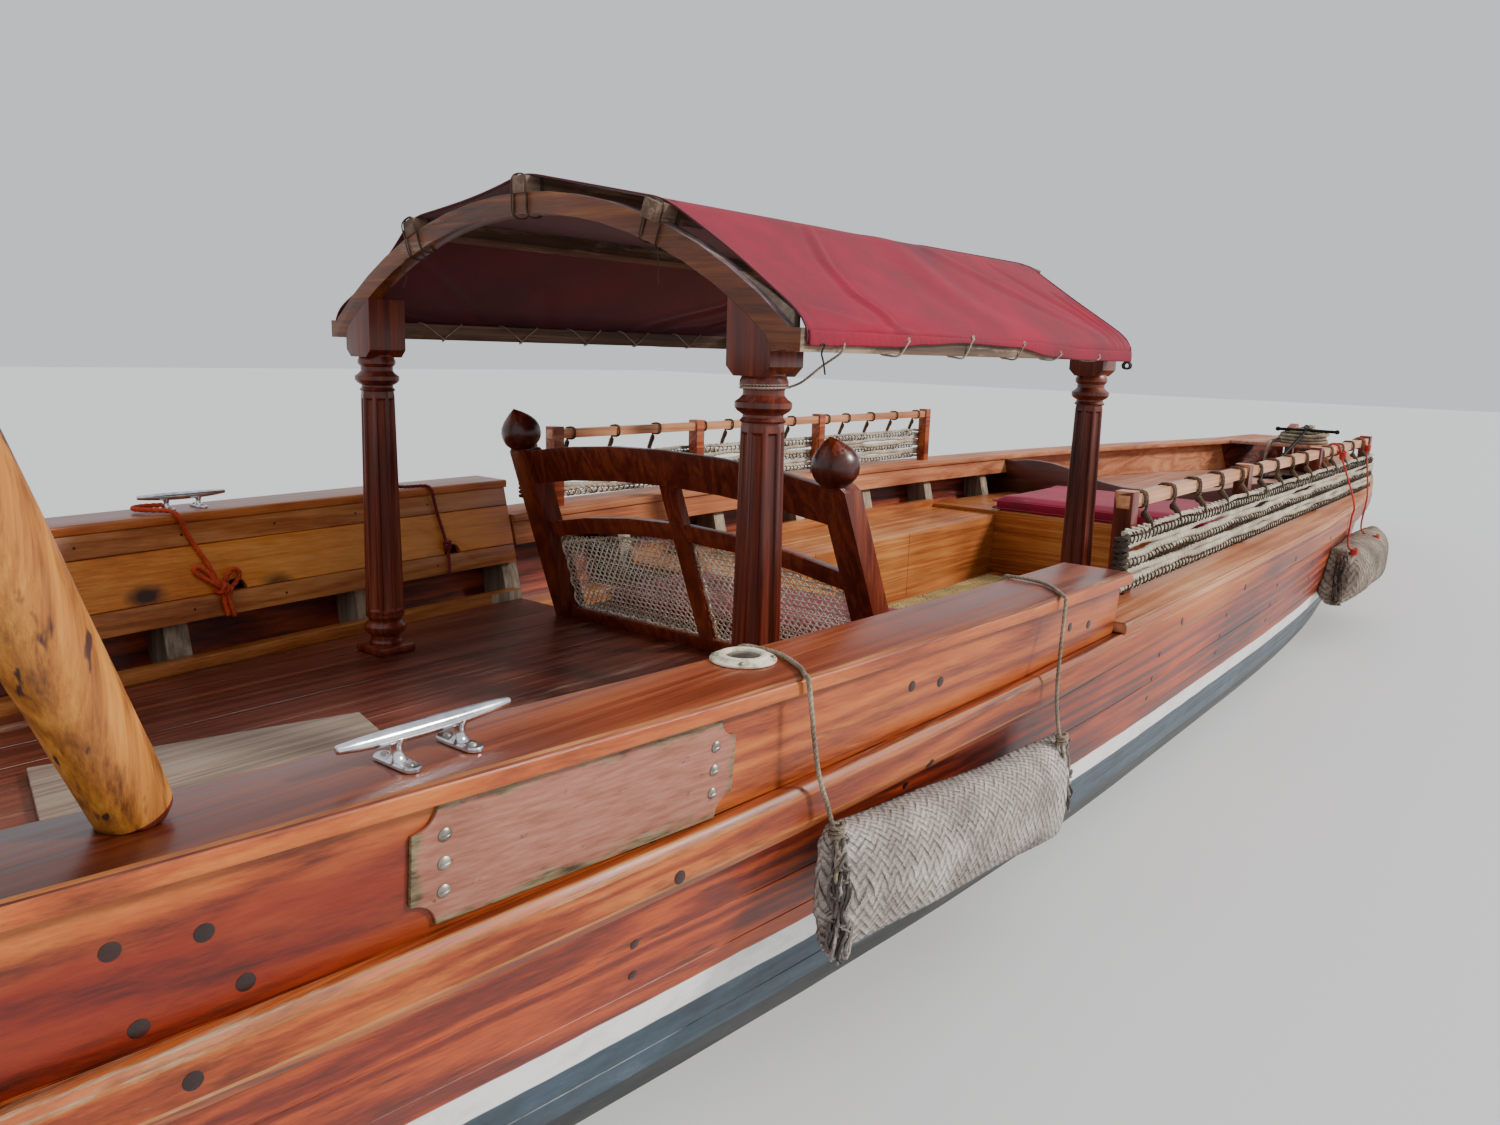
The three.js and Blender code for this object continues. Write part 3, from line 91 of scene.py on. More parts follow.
class Tree:
    """The nodes of one material, added and linked in the order in which they are used."""

    def __init__(self, name: str) -> None:
        """Starts a material with a bare shader.

        Args:
            name: The material's name.
        """
        self.material = bpy.data.materials.new(name)
        self.material.use_nodes = True
        self.nodes, self.links = self.material.node_tree.nodes, self.material.node_tree.links
        self.shader = next(n for n in self.nodes if n.type == "BSDF_PRINCIPLED")
        self.coordinates = self.nodes.new("ShaderNodeTexCoord").outputs["Object"]

    def put(self, node: bpy.types.Node, inputs: dict) -> None:
        """Links sockets, and sets plain values, on a node's inputs.

        Args:
            node: The node.
            inputs: Input name or number, with a socket, a number or a colour's digits.
        """
        for key, value in inputs.items():
            if isinstance(value, Socket):
                self.links.new(value, node.inputs[key])
            else:
                node.inputs[key].default_value = paint(value) if isinstance(value, str) else value

    def node(self, kind: str, inputs: dict, **settings: object) -> bpy.types.Node:
        """Adds a node.

        Args:
            kind: The node's type, after "ShaderNode".
            inputs: Its inputs, as for put.
            **settings: Its own properties.

        Returns:
            The node.
        """
        made = self.nodes.new("ShaderNode" + kind)
        for key, value in settings.items():
            setattr(made, key, value)
        self.put(made, inputs)
        return made

    def place(self, stretch: Sequence[float]) -> Socket:
        """The piece's own coordinates, stretched."""
        return self.node("Mapping", {"Vector": self.coordinates, "Scale": tuple(stretch)}).outputs[0]

    def axis(self, which: str) -> Socket:
        """One of the piece's own coordinates, by its letter."""
        return self.node("SeparateXYZ", {0: self.coordinates}).outputs[which]

    def noise(
        self, scale: float, detail: float = 3, rough: float = 0.55, warp: float = 0,
        stretch: Sequence[float] = (1, 1, 1),
    ) -> Socket:
        """Soft random tone from 0 to 1."""
        inputs = {"Scale": scale, "Detail": detail, "Roughness": rough, "Distortion": warp}
        return self.node("TexNoise", {"Vector": self.place(stretch), **inputs}).outputs[0]

    def calc(self, how: str, *values: object) -> Socket:
        """Arithmetic on sockets and numbers."""
        return self.node("Math", dict(enumerate(values)), operation=how).outputs[0]

    def mix(self, *parts: tuple[Socket, float]) -> Socket:
        """A sum of tones by their weights.

        Args:
            *parts: Each tone, with its weight.

        Returns:
            The sum.
        """
        total: object = 0.0
        for tone, weight in parts:
            total = self.calc("MULTIPLY_ADD", tone, weight, total)
        return total

    def span(self, value: object, low: float, high: float, start: float = 0, end: float = 1) -> Socket:
        """A value read from low to high as from start to end, and held there outside."""
        inputs = {"Value": value, "From Min": low, "From Max": high, "To Min": start, "To Max": end}
        return self.node("MapRange", inputs).outputs[0]

    def wave(self, value: Socket, rate: float) -> Socket:
        """A value turned into waves from 0 to 1."""
        return self.span(self.calc("SINE", self.calc("MULTIPLY", value, rate)), -1, 1)

    def ramp(self, value: object, *stops: tuple[float, str]) -> Socket:
        """A colour along a row of stops.

        Args:
            value: Where on the row.
            *stops: Place and colour of each stop.

        Returns:
            The colour.
        """
        made = self.node("ValToRGB", {0: value})
        row = made.color_ramp.elements
        while len(row) < len(stops):
            row.new(0.5)
        for element, (at, colour) in zip(row, stops):
            element.position, element.color = at, paint(colour)
        return made.outputs[0]

    def blend(self, share: object, under: object, over: object, how: str = "MIX") -> Socket:
        """One colour over another.

        Args:
            share: How much of the upper one shows.
            under: The lower colour.
            over: The upper colour.
            how: Blender's name for the way they mix.

        Returns:
            The colour.
        """
        made = self.node("Mix", {}, data_type="RGBA", blend_type=how)
        self.put(made, {0: share, 6: under, 7: over})
        return made.outputs[2]

    def finish(
        self, colour: Socket, rough: object, height: Socket, strength: float, reach: float, **fixed: float
    ) -> Material:
        """Links the shader.

        Args:
            colour: The base colour.
            rough: The roughness.
            height: The relief.
            strength: How much of the relief shows.
            reach: Height of the relief, in metres.
            **fixed: Other inputs of the shader, with spaces as underscores.

        Returns:
            The material.
        """
        bump = self.node("Bump", {"Strength": strength, "Distance": reach, "Height": height})
        self.put(self.shader, {"Base Color": colour, "Roughness": rough, "Normal": bump.outputs[0]})
        self.put(self.shader, {key.replace("_", " "): value for key, value in fixed.items()})
        return self.material


class Grain(Enum):
    """Which way the grain runs, as the stretch of a pattern along each axis."""

    ALONG = (0.024, 1.0, 1.0)
    ACROSS = (1.0, 0.035, 1.0)
    UP = (1.0, 1.0, 0.035)

    def eased(self, power: float) -> Point:
        """The stretch of a rounder pattern that runs the same way."""
        return tuple(k ** power for k in self.value)


@dataclass(frozen=True)
class Wood:
    """Oiled, varnished or bare timber."""

    name: str
    dark: str
    middle: str
    light: str
    grain: Grain = Grain.ALONG
    rough: Pair = (0.28, 0.5)
    coat: float = 0.15
    figure: float = 9.0
    knots: float = 0.0
    stain: float = 0.35
    pale: str = "B9A184"
    worn: float = 0.25
    relief: float = 0.35
    rings: float = 0.11
    flecks: float = 0.0

    def tones(self, tree: Tree) -> tuple[Socket, Socket, Socket]:
        """The timber's colour and relief.

        Args:
            tree: The material's nodes.

        Returns:
            Colour, height and the mask of worn places.
        """
        stretch = self.grain.value
        rings = tree.wave(tree.noise(self.figure, 2, 0.5, 0.35, stretch), 46)
        fine = tree.noise(160, 4, 0.65, stretch=stretch)
        tone = tree.mix((rings, self.rings), (fine, 0.36), (tree.noise(1.3, 3), 0.64 - self.rings))
        colour = tree.ramp(tone, (0.33, self.dark), (0.5, self.middle), (0.68, self.light))
        streak = tree.span(tree.noise(34, 5, 0.7, stretch=stretch), 0.54, 0.72, 0, self.stain)
        colour = tree.blend(streak, colour, "1C0C08")
        height = tree.mix((rings, 0.35), (fine, 1))
        if self.knots:
            cells = tree.node("TexVoronoi", {"Vector": tree.place(self.grain.eased(0.15)), "Scale": 5.5})
            wobble = tree.mix((cells.outputs["Distance"], 1), (tree.noise(26, 2), 0.08))
            eye = tree.span(wobble, 0.12, 0.27, self.knots, 0)
            colour = tree.blend(eye, colour, "3A1C0E")
            height = tree.calc("SUBTRACT", height, eye)
        if self.flecks:
            spots = tree.noise(38, 3, 0.55, stretch=self.grain.eased(0.4))
            colour = tree.blend(tree.span(spots, 0.62, 0.67, 0, self.flecks), colour, "2E1418")
        scuff = tree.noise(11, 7, 0.75, stretch=self.grain.eased(0.6))
        start = 0.66 - 0.2 * self.worn
        bare = tree.span(scuff, start, start + 0.1, 0, min(1, 0.35 + self.worn))
        return tree.blend(bare, colour, self.pale), height, bare

    def make(self) -> Material:
        """The finish as a material.

        Returns:
            The material.
        """
        tree = Tree(self.name)
        colour, height, bare = self.tones(tree)
        rough = tree.mix((tree.span(height, 0.3, 1.1, *self.rough), 1), (bare, 0.25))
        return tree.finish(
            self.over(tree, colour), rough, height, self.relief, 0.0012, Coat_Weight=self.coat, Coat_Roughness=0.2
        )

    def over(self, tree: Tree, colour: Socket) -> Socket:
        """What lies over the bare timber: nothing here."""
        return colour


@dataclass(frozen=True)
class Topside(Wood):
    """Oiled planking over a white stripe, a blue-grey band and black bottom paint."""

    stripe_top: float = 0.249
    stripe_foot: float = 0.183
    band_foot: float = 0.063
    edge: float = 0.0015

    def over(self, tree: Tree, colour: Socket) -> Socket:
        """The painted bands over the timber.

        Args:
            tree: The material's nodes.
            colour: The timber's colour.

        Returns:
            The colour with its bands.
        """
        grime = tree.noise(7, 6, 0.7, stretch=(1, 1, 2))
        height = tree.calc("ADD", tree.axis("Z"), tree.span(tree.noise(9, 2), 0, 1, -0.004, 0.004))
        bands = {
            self.stripe_top: ((0.3, "DAD8D0"), (0.52, "FAF9F5")),
            self.stripe_foot: ((0.3, "1C2A35"), (0.6, "314858"), (0.8, "5A6E78")),
            self.band_foot: ((0.35, "0B0D10"), (0.62, "171B20"), (0.8, "3A4038")),
        }
        for top, stops in bands.items():
            mask = tree.span(height, top - self.edge, top + self.edge, 1, 0)
            colour = tree.blend(mask, colour, tree.ramp(grime, *stops))
        return colour


@dataclass(frozen=True)
class Drifting(Wood):
    """Timber whose tone drifts from dark aft to light forward."""

    aft_tone: str = "7A3318"
    start: float = -4.3
    end: float = -3.3
    share: float = 0.75
    high: float = 2.0

    def over(self, tree: Tree, colour: Socket) -> Socket:
        """A darker tone multiplied over the aft part, below a height; on the cap it is a painted bluish reflection.

        Args:
            tree: The material's nodes.
            colour: The timber's colour.

        Returns:
            The stained colour.
        """
        ragged = tree.span(tree.noise(2, 3, stretch=(1, 6, 6)), 0, 1, -0.5, 0.5)
        aft = tree.span(tree.calc("ADD", tree.axis("X"), ragged), self.start, self.end, self.share, 0)
        rise = tree.calc("ADD", tree.axis("Z"), tree.span(tree.noise(5, 3), 0, 1, -0.04, 0.04))
        below = tree.span(rise, self.high - 0.03, self.high + 0.03, 1, 0)
        return tree.blend(tree.calc("MULTIPLY", aft, below), colour, self.aft_tone, "MULTIPLY")


@dataclass(frozen=True)
class Cloth:
    """Woven cloth, faded by the sun."""

    name: str
    dark: str
    light: str
    sheen: float = 0.25
    fade: str = "C05A70"
    thread: float = 1400.0

    def make(self) -> Material:
        """The finish as a material.

        Returns:
            The material.
        """
        tree = Tree(self.name)
        weave = tree.calc("MULTIPLY", *(tree.wave(tree.axis(a), self.thread) for a in "XY"))
        cloud = tree.noise(3.2, 5, 0.6)
        slub = tree.noise(60, 3, stretch=(1, 14, 14))
        colour = tree.ramp(tree.mix((cloud, 0.7), (slub, 0.3)), (0.34, self.dark), (0.66, self.light))
        dust = tree.span(tree.noise(14, 6, 0.7), 0.6, 0.8, 0, 0.22)
        return tree.finish(
            tree.blend(dust, colour, self.fade), tree.span(cloud, 0.3, 0.7, 0.78, 0.92),
            tree.mix((weave, 0.5), (slub, 1)), 0.25, 0.0006, Sheen_Weight=self.sheen, Sheen_Roughness=0.5,
        )


@dataclass(frozen=True)
class Fibre:
    """Rope, twine, cane or palm leaf: dry plant fibre, with painted shade in the hollows of a plait."""

    name: str
    dark: str
    middle: str
    light: str
    scale: float = 90.0
    painted_hollow_shade: str = ""

    def make(self) -> Material:
        """The finish as a material.

        Returns:
            The material.
        """
        tree = Tree(self.name)
        hair = tree.noise(self.scale * 5, 3, 0.7, 0.6)
        patch = tree.noise(self.scale * 0.12, 4, 0.65)
        colour = tree.ramp(
            tree.mix((hair, 0.5), (patch, 0.5)), (0.36, self.dark), (0.5, self.middle), (0.64, self.light)
        )
        if self.painted_hollow_shade:
            depth = tree.node("Attribute", {}, attribute_name=self.painted_hollow_shade).outputs["Fac"]
            # Painted shade: the colour goes darker towards the bottom of the plait's hollows.
            colour = tree.blend(tree.span(depth, 0.2, 0.85, 0.92, 0), colour, "2A2420")
        return tree.finish(colour, tree.span(patch, 0.3, 0.7, 0.82, 0.96), hair, 0.5, 0.0008)


@dataclass(frozen=True)
class Metal:
    """Cast or polished metal."""

    name: str
    dark: str
    light: str
    rough: Pair
    metallic: float = 1.0

    def make(self) -> Material:
        """The finish as a material.

        Returns:
            The material.
        """
        tree = Tree(self.name)
        cloud = tree.noise(22, 5, 0.65)
        colour = tree.ramp(cloud, (0.35, self.dark), (0.62, self.light))
        rough = tree.span(cloud, 0.3, 0.7, *self.rough)
        return tree.finish(colour, rough, tree.noise(320, 2), 0.12, 0.0006, Metallic=self.metallic)


@dataclass(frozen=True)
class Plastic:
    """Moulded plastic, grimed where dirt gathers."""

    name: str
    light: str = "F0E6CC"
    grime: str = "A89878"

    def make(self) -> Material:
        """The finish as a material.

        Returns:
            The material.
        """
        tree = Tree(self.name)
        cloud = tree.noise(38, 6, 0.7)
        colour = tree.ramp(cloud, (0.36, self.grime), (0.52, self.light))
        return tree.finish(colour, tree.span(cloud, 0.3, 0.6, 0.6, 0.32), cloud, 0.08, 0.0006)


@dataclass(frozen=True)
class PlatePaint:
    """A board with old paint: rosy in its field, weathered grey-green along its edges."""

    name: str
    low: Pair = (-3.895, 0.592)
    high: Pair = (-3.325, 0.764)
    rim: float = 0.016

    def make(self) -> Material:
        """The finish as a material.

        Returns:
            The material.
        """
        tree = Tree(self.name)
        fine = tree.noise(150, 4, 0.6, stretch=(0.03, 1, 1))
        patch = tree.noise(16, 5, 0.65, stretch=(0.5, 1, 1))
        nearest: object = 1.0
        for letter, low, high in zip("XZ", self.low, self.high):
            at = tree.axis(letter)
            nearest = tree.calc("MINIMUM", nearest, tree.calc("SUBTRACT", at, low))
            nearest = tree.calc("MINIMUM", nearest, tree.calc("SUBTRACT", high, at))
        frayed = tree.calc("ADD", nearest, tree.span(patch, 0.3, 0.7, 0.016, -0.018))
        rosy = tree.ramp(fine, (0.3, "8E5644"), (0.55, "A56C5A"), (0.8, "B0806F"))
        grey = tree.ramp(fine, (0.3, "3B2F20"), (0.5, "7A6A4C"), (0.7, "98886A"))
        colour = tree.blend(tree.span(frayed, 0.004, self.rim), grey, rosy)
        pits = tree.span(tree.noise(55, 5, 0.75, stretch=(0.5, 1, 1)), 0.62, 0.7, 0, 0.8)
        colour = tree.blend(pits, colour, "4A2A1C")
        return tree.finish(colour, tree.span(patch, 0.3, 0.7, 0.55, 0.8), fine, 0.35, 0.001)


@dataclass(frozen=True)
class Finishes:
    """Every finish of the boat, each made once."""

    topside: Wood = Topside(
        "oiled_topside", "3A0D05", "80280D", "BA501D", figure=7, stain=0.95, worn=0.05, rough=(0.34, 0.52), coat=0.08,
        rings=0.2,
    )
    board: Wood = Drifting(
        "orange_board", "74290C", "B25620", "CC7A34", figure=5, stain=0.65, worn=0.04, rough=(0.32, 0.5), coat=0.1,
        rings=0.17, aft_tone="AC5630", high=0.72, start=-3.98, share=0.95,
    )
    lining: Wood = Wood(
        "lining_board", "9A4A16", "D07826", "E8A04C", figure=6, knots=1.0, stain=0.3, worn=0.06, rough=(0.38, 0.58),
        coat=0.08, rings=0.05,
    )
    # The cap's aft tone is a painted bluish reflection of the sky, laid over the worn timber.
    cap: Wood = Drifting(
        "worn_cap_painted_reflection", "5A2010", "96441F", "BA6630", figure=8, stain=0.55, worn=0.22, coat=0.2, rough=(0.26, 0.46),
        pale="A99A88", aft_tone="6E5560", start=-4.6, end=-3.2, share=0.95,
    )
    gunwale: Wood = Wood(
        "faded_gunwale", "8A4626", "BC744A", "D69C74", figure=6, stain=0.3, worn=0.3, rough=(0.42, 0.62), coat=0.03
    )
    cap_edge: Wood = Wood("bleached_edge", "6A3418", "A0602E", "C08A54", worn=0.42, rough=(0.45, 0.65), coat=0)
    wale: Wood = Wood(
        "rubbed_wale", "54190A", "963F16", "C06A2C", figure=8, stain=0.75, worn=0.3, pale="B08A66", rough=(0.36, 0.55),
        coat=0.05, rings=0.17,
    )
    deck: Wood = Wood(
        "scuffed_deck", "38120A", "622818", "8C4630", stain=0.6, worn=0.42, pale="9C7E68", coat=0.2, rough=(0.3, 0.5)
    )
    frame: Wood = Wood(
        "weathered_frame", "5A4C3E", "968672", "C0B29A", Grain.UP, (0.7, 0.9), 0, stain=0.5, worn=0.5
    )
    bench: Wood = Wood("oiled_bench", "6E3416", "A8602C", "CB8A4C", stain=0.25, worn=0.15)
    bench_across: Wood = replace(bench, name="oiled_bench_across", grain=Grain.ACROSS)
    pink: Wood = Wood("faded_foredeck", "8A5844", "B98068", "CFA08A", stain=0.2, coat=0, rough=(0.5, 0.7))
    rail: Wood = Wood("pale_rail", "A8653C", "CE8C60", "E0AE86", stain=0.15, worn=0.2, rough=(0.35, 0.55))
    dark: Wood = Wood(
        "dark_gloss", "240906", "451408", "682412", stain=0.3, worn=0.05, coat=0.35, rough=(0.3, 0.45), pale="6A3A2A"
    )
    dark_across: Wood = replace(dark, name="dark_gloss_across", grain=Grain.ACROSS)
    dark_up: Wood = Wood(
        "dark_post", "340D06", "68230F", "964420", Grain.UP, (0.3, 0.5), 0.2, stain=0.6, worn=0.12, pale="A06C44"
    )
    roof: Wood = Wood("roof_timber", "341608", "70391A", "A0622F", Grain.ACROSS, (0.42, 0.62), stain=0.75, worn=0.15)
    roof_along: Wood = Wood("roof_purlin", "3A2A20", "6E5442", "98806A", stain=0.5, worn=0.5, rough=(0.6, 0.8), coat=0)
    roof_top: Wood = Wood(
        "roof_arch_top", "3A2C30", "6A5458", "94807E", Grain.ACROSS, (0.55, 0.75), 0, stain=0.4, worn=0.4
    )
    pole: Wood = Wood(
        "peeled_pole", "6E3810", "B8742A", "D8A04C", Grain.UP, (0.45, 0.65), 0.1, knots=0.5, stain=0.8, worn=0.1,
        flecks=0.9, pale="D8C090", relief=0.6,
    )
    pole_across: Wood = replace(pole, name="peeled_bar", grain=Grain.ACROSS)
    grey_board: Wood = Wood("grey_board", "655448", "8E7B6C", "AC9A8A", stain=0.3, worn=0.3, coat=0, rough=(0.7, 0.85))
    canvas: Cloth = Cloth("crimson_canvas", "5E021E", "9E0630", 0.03, "96203E")
    # The same crimson cloth painted darker for the underside: painted shade under the roof.
    canvas_painted_shade: Cloth = Cloth("crimson_underside_painted_shade", "4A0A1A", "741428", fade="7A2434")
    cushion: Cloth = Cloth("crimson_cushion", "700628", "A0103C", 0.08)
    rope: Fibre = Fibre("grey_rope", "4A4034", "8A7C68", "B9AC94")
    net: Fibre = Fibre("net_rope", "7A705E", "B4AA96", "DED6C4", 60)
    twine: Fibre = Fibre("dark_twine", "1E1812", "3A3026", "5E5242")
    brown_rope: Fibre = Fibre("brown_rope", "2A1E14", "5A4634", "7E6850")
    orange_rope: Fibre = Fibre("orange_rope", "7A1E0A", "B83C18", "DA5A2C")
    red_rope: Fibre = Fibre("red_rope", "8A1410", "C03A2C", "DE6450")
    dark_red_rope: Fibre = Fibre("dark_red_rope", "3A0A0C", "701A1E", "96363A")
    lace: Fibre = Fibre("lacing_cord", "6E5E50", "A8988A", "D2C4B6")
    # These plaits read the attribute "relief" for painted shade in their hollows.
    palm: Fibre = Fibre("palm_plait", "675E57", "A79C94", "DAD2CA", 60, "relief")
    brown_palm: Fibre = Fibre("brown_plait", "4C4036", "8C7B6B", "C2B2A2", 60, "relief")
    cane: Fibre = Fibre("cane_strand", "B4A88C", "E2DAC4", "F8F4EA")
    straw: Fibre = Fibre("straw_plait", "7A6438", "AE9458", "CDB880", 40, "relief")
    plate: PlatePaint = PlatePaint("faded_plate")
    iron: Metal = Metal("black_iron", "0C0C0D", "2A2826", (0.45, 0.7), 0.8)
    alloy: Metal = Metal("polished_alloy", "B8BABF", "ECECF0", (0.12, 0.28))
    screw: Metal = Metal("dull_screw", "6A665C", "B4AFA2", (0.3, 0.55))
    plastic: Plastic = Plastic("filler_plastic")
    plug: Wood = Wood("dark_plug", "120604", "2A0E08", "3E1810", Grain.ACROSS, worn=0, stain=0.2)

    def get(self, name: str) -> Material:
        """The material of a finish, by its field's name."""
        finish = getattr(self, name)
        return bpy.data.materials.get(finish.name) or finish.make()


FINISH = Finishes()


# Modelling by hand


def only(obj: Piece) -> None:
    """Selects one object alone and makes it active.

    Args:
        obj: The object.
    """
    bpy.ops.object.select_all(action="DESELECT")
    obj.select_set(True)
    bpy.context.view_layer.objects.active = obj


def smooth(obj: Piece, angle: float = 180) -> Piece:
    """Shades a piece smoothly.

    Args:
        obj: The piece.
        angle: Edges sharper than this stay sharp, in degrees.

    Returns:
        The piece.
    """
    only(obj)
    if angle < 180:
        bpy.ops.object.shade_smooth_by_angle(angle=math.radians(angle))
    else:
        bpy.ops.object.shade_smooth()
    return obj


@contextmanager
def editing(obj: Piece, kind: str = "FACE", everything: bool = True) -> Iterator[None]:
    """Edit mode on one object, with all of it selected or none.

    Args:
        obj: The object.
        kind: VERT, EDGE or FACE.
        everything: Whether all of it starts selected.

    Yields:
        Nothing.
    """
    only(obj)
    bpy.ops.object.mode_set(mode="EDIT")
    bpy.ops.mesh.select_mode(type=kind)
    bpy.ops.mesh.select_all(action="SELECT" if everything else "DESELECT")
    yield
    bpy.ops.object.mode_set(mode="OBJECT")


def outward(obj: Piece) -> Piece:
    """Turns a piece's faces outwards.

    Args:
        obj: The piece.

    Returns:
        The piece.
    """
    with editing(obj):
        bpy.ops.mesh.normals_make_consistent(inside=False)
    return obj


def trimmed(obj: Piece, *cuts: tuple[Sequence[float], Sequence[float]]) -> Piece:
    """Cuts a piece off at planes, and closes it.

    Args:
        obj: The piece.
        *cuts: A point of each plane, and the direction of what goes.

    Returns:
        The piece.
    """
    for place, normal in cuts:
        with editing(obj):
            bpy.ops.mesh.bisect(plane_co=place, plane_no=normal, clear_outer=True, use_fill=True)
    return obj


def finish_with(obj: Piece, kind: str, **settings: object) -> Piece:
    """Adds a modifier and applies it.

    Args:
        obj: The object.
        kind: The modifier's type.
        **settings: Its properties.

    Returns:
        The object.
    """
    only(obj)
    modifier = obj.modifiers.new(kind.lower(), kind)
    for key, value in settings.items():
        setattr(modifier, key, value)
    bpy.ops.object.modifier_apply(modifier=modifier.name)
    return obj


def ease(obj: Piece, width: float, steps: int = 2, angle: float = 35, slot: int = -1) -> Piece:
    """Eases the sharp edges of a piece, and shades what is nearly flat smoothly.

    Args:
        obj: The piece.
        width: Width of the eased edge.
        steps: Faces across it.
        angle: Edges sharper than this are eased, in degrees.
        slot: Material slot of the eased faces, or -1 for that of their neighbours.

    Returns:
        The piece.
    """
    if width:
        sharp = {"limit_method": "ANGLE", "angle_limit": math.radians(angle), "material": slot}
        finish_with(obj, "BEVEL", width=width, segments=steps, **sharp)
    return smooth(obj, angle - 3)


def repeated(obj: Piece, count: int, step: Point) -> Piece:
    """A piece copied at even steps within its own mesh.

    Args:
        obj: The piece.
        count: How many there are then.
        step: From one to the next.

    Returns:
        The piece.
    """
    how = {"use_relative_offset": False, "use_constant_offset": True, "constant_offset_displace": step}
    return finish_with(obj, "ARRAY", count=count, **how)


def moved(obj: Piece, matrix: Matrix) -> Piece:
    """Puts a piece in its place, within its mesh, so that its object stays at the origin.

    Args:
        obj: The piece.
        matrix: Its place and turn.

    Returns:
        The piece.
    """
    only(obj)
    bpy.ops.object.transform_apply(location=True, rotation=True, scale=True)
    obj.data.transform(matrix)
    return obj


def grid(name: str, along: int, across: int) -> Piece:
    """A flat grid from -1 to 1, to be shaped point by point.

    Args:
        name: Its name.
        along: Faces along X.
        across: Faces along Y.

    Returns:
        The piece.
    """
    bpy.ops.object.select_all(action="DESELECT")
    bpy.ops.mesh.primitive_grid_add(x_subdivisions=along, y_subdivisions=across, size=2)
    bpy.context.active_object.name = name
    return bpy.context.active_object


def block(name: str, low: Sequence[float], high: Sequence[float], edge: float = 0.003) -> Piece:
    """A squared timber between two corners, with eased edges.

    Args:
        name: Its name.
        low: Lowest corner.
        high: Highest corner.
        edge: Width of the eased edges.

    Returns:
        The piece.
    """
    bpy.ops.object.select_all(action="DESELECT")
    middle = [(a + b) / 2 for a, b in zip(low, high)]
    bpy.ops.mesh.primitive_cube_add(size=1, location=middle, scale=[b - a for a, b in zip(low, high)])
    obj = bpy.context.active_object
    obj.name = name
    bpy.ops.object.transform_apply(location=True, rotation=True, scale=True)
    return ease(obj, edge)


def turned(
    name: str, rows: Sequence[Pair], foot: Sequence[float] = (0, 0, 0), along: Sequence[float] = (0, 0, 1),
    sides: int = 32,
) -> Piece:
    """A turned piece: a disc is extruded and resized along rows of radius and height.

    Args:
        name: Its name.
        rows: Radius and height of each row.
        foot: Where height 0 stands.
        along: Direction of its axis.
        sides: Faces round it.

    Returns:
        The piece.
    """
    bpy.ops.object.select_all(action="DESELECT")
    radius, height = rows[0]
    bpy.ops.mesh.primitive_circle_add(vertices=sides, radius=radius, fill_type="NGON", location=(0, 0, height))
    obj = bpy.context.active_object
    obj.name = name
    with editing(obj):
        for new_radius, new_height in rows[1:]:
            bpy.ops.mesh.extrude_region_move(TRANSFORM_OT_translate={"value": (0, 0, new_height - height)})
            share = new_radius / radius
            bpy.ops.transform.resize(value=(share, share, 1), center_override=(0, 0, new_height))
            radius, height = new_radius, new_height
        bpy.ops.mesh.select_all(action="SELECT")
        bpy.ops.mesh.normals_make_consistent(inside=False)
    turn = Vector((0, 0, 1)).rotation_difference(Vector(along).normalized()).to_matrix().to_4x4()
    return smooth(moved(obj, Matrix.Translation(foot) @ turn), 32)


def joined(name: str, pieces: Sequence[Piece]) -> Piece:
    """Several pieces as one object, with the materials of each kept.

    Args:
        name: Its name.
        pieces: The pieces, which are used up.

    Returns:
        The joined piece.
    """
    only(pieces[0])
    for piece in pieces:
        piece.select_set(True)
    if len(pieces) > 1:
        bpy.ops.object.join()
    pieces[0].name = name
    return pieces[0]


def evenly(line: Sequence[Vector], spacing: float, closed: bool = False) -> list[Vector]:
    """Evenly spaced points along a line of many short steps.

    Args:
        line: The line's points.
        spacing: Distance between the points made.
        closed: Whether the line comes back to its start.

    Returns:
        The points.
    """
    even = [line[0]]
    left = spacing
    for a, b in zip(line, line[1:]):
        reach = (b - a).length
        while reach > left:
            a = a.lerp(b, left / reach)
            reach = (b - a).length
            even.append(a.copy())
            left = spacing
        left -= reach
    if not closed and (even[-1] - line[-1]).length > spacing * 0.3:
        even.append(line[-1])
    return even


def smooth_path(points: Sequence[Sequence[float]], spacing: float, closed: bool = False) -> list[Vector]:
    """Evenly spaced points on a smooth line through a few.

    Args:
        points: The line's turning points.
        spacing: Distance between the points made.
        closed: Whether the line comes back to its start.

    Returns:
        The points.
    """
    row = [Vector(p) for p in points]
    count = len(row)
    dense: list[Vector] = []
    for i in range(count if closed else count - 1):
        near = [row[(i + k) % count] if closed else row[max(0, min(count - 1, i + k))] for k in (-1, 0, 1, 2)]
        steps = max(4, int((near[2] - near[1]).length / spacing * 2))
        for n in range(steps):
            t = n / steps
            a, b, c, d = near
            bend = 2 * b + (c - a) * t + (2 * a - 5 * b + 4 * c - d) * t * t + (3 * b - a - 3 * c + d) * t ** 3
            dense.append(bend * 0.5)
    dense.append(row[0] if closed else row[-1])
    return evenly(dense, spacing, closed)


def length_of(path: Sequence[Vector]) -> float:
    """Length of a path along its points."""
    return sum((b - a).length for a, b in zip(path, path[1:]))


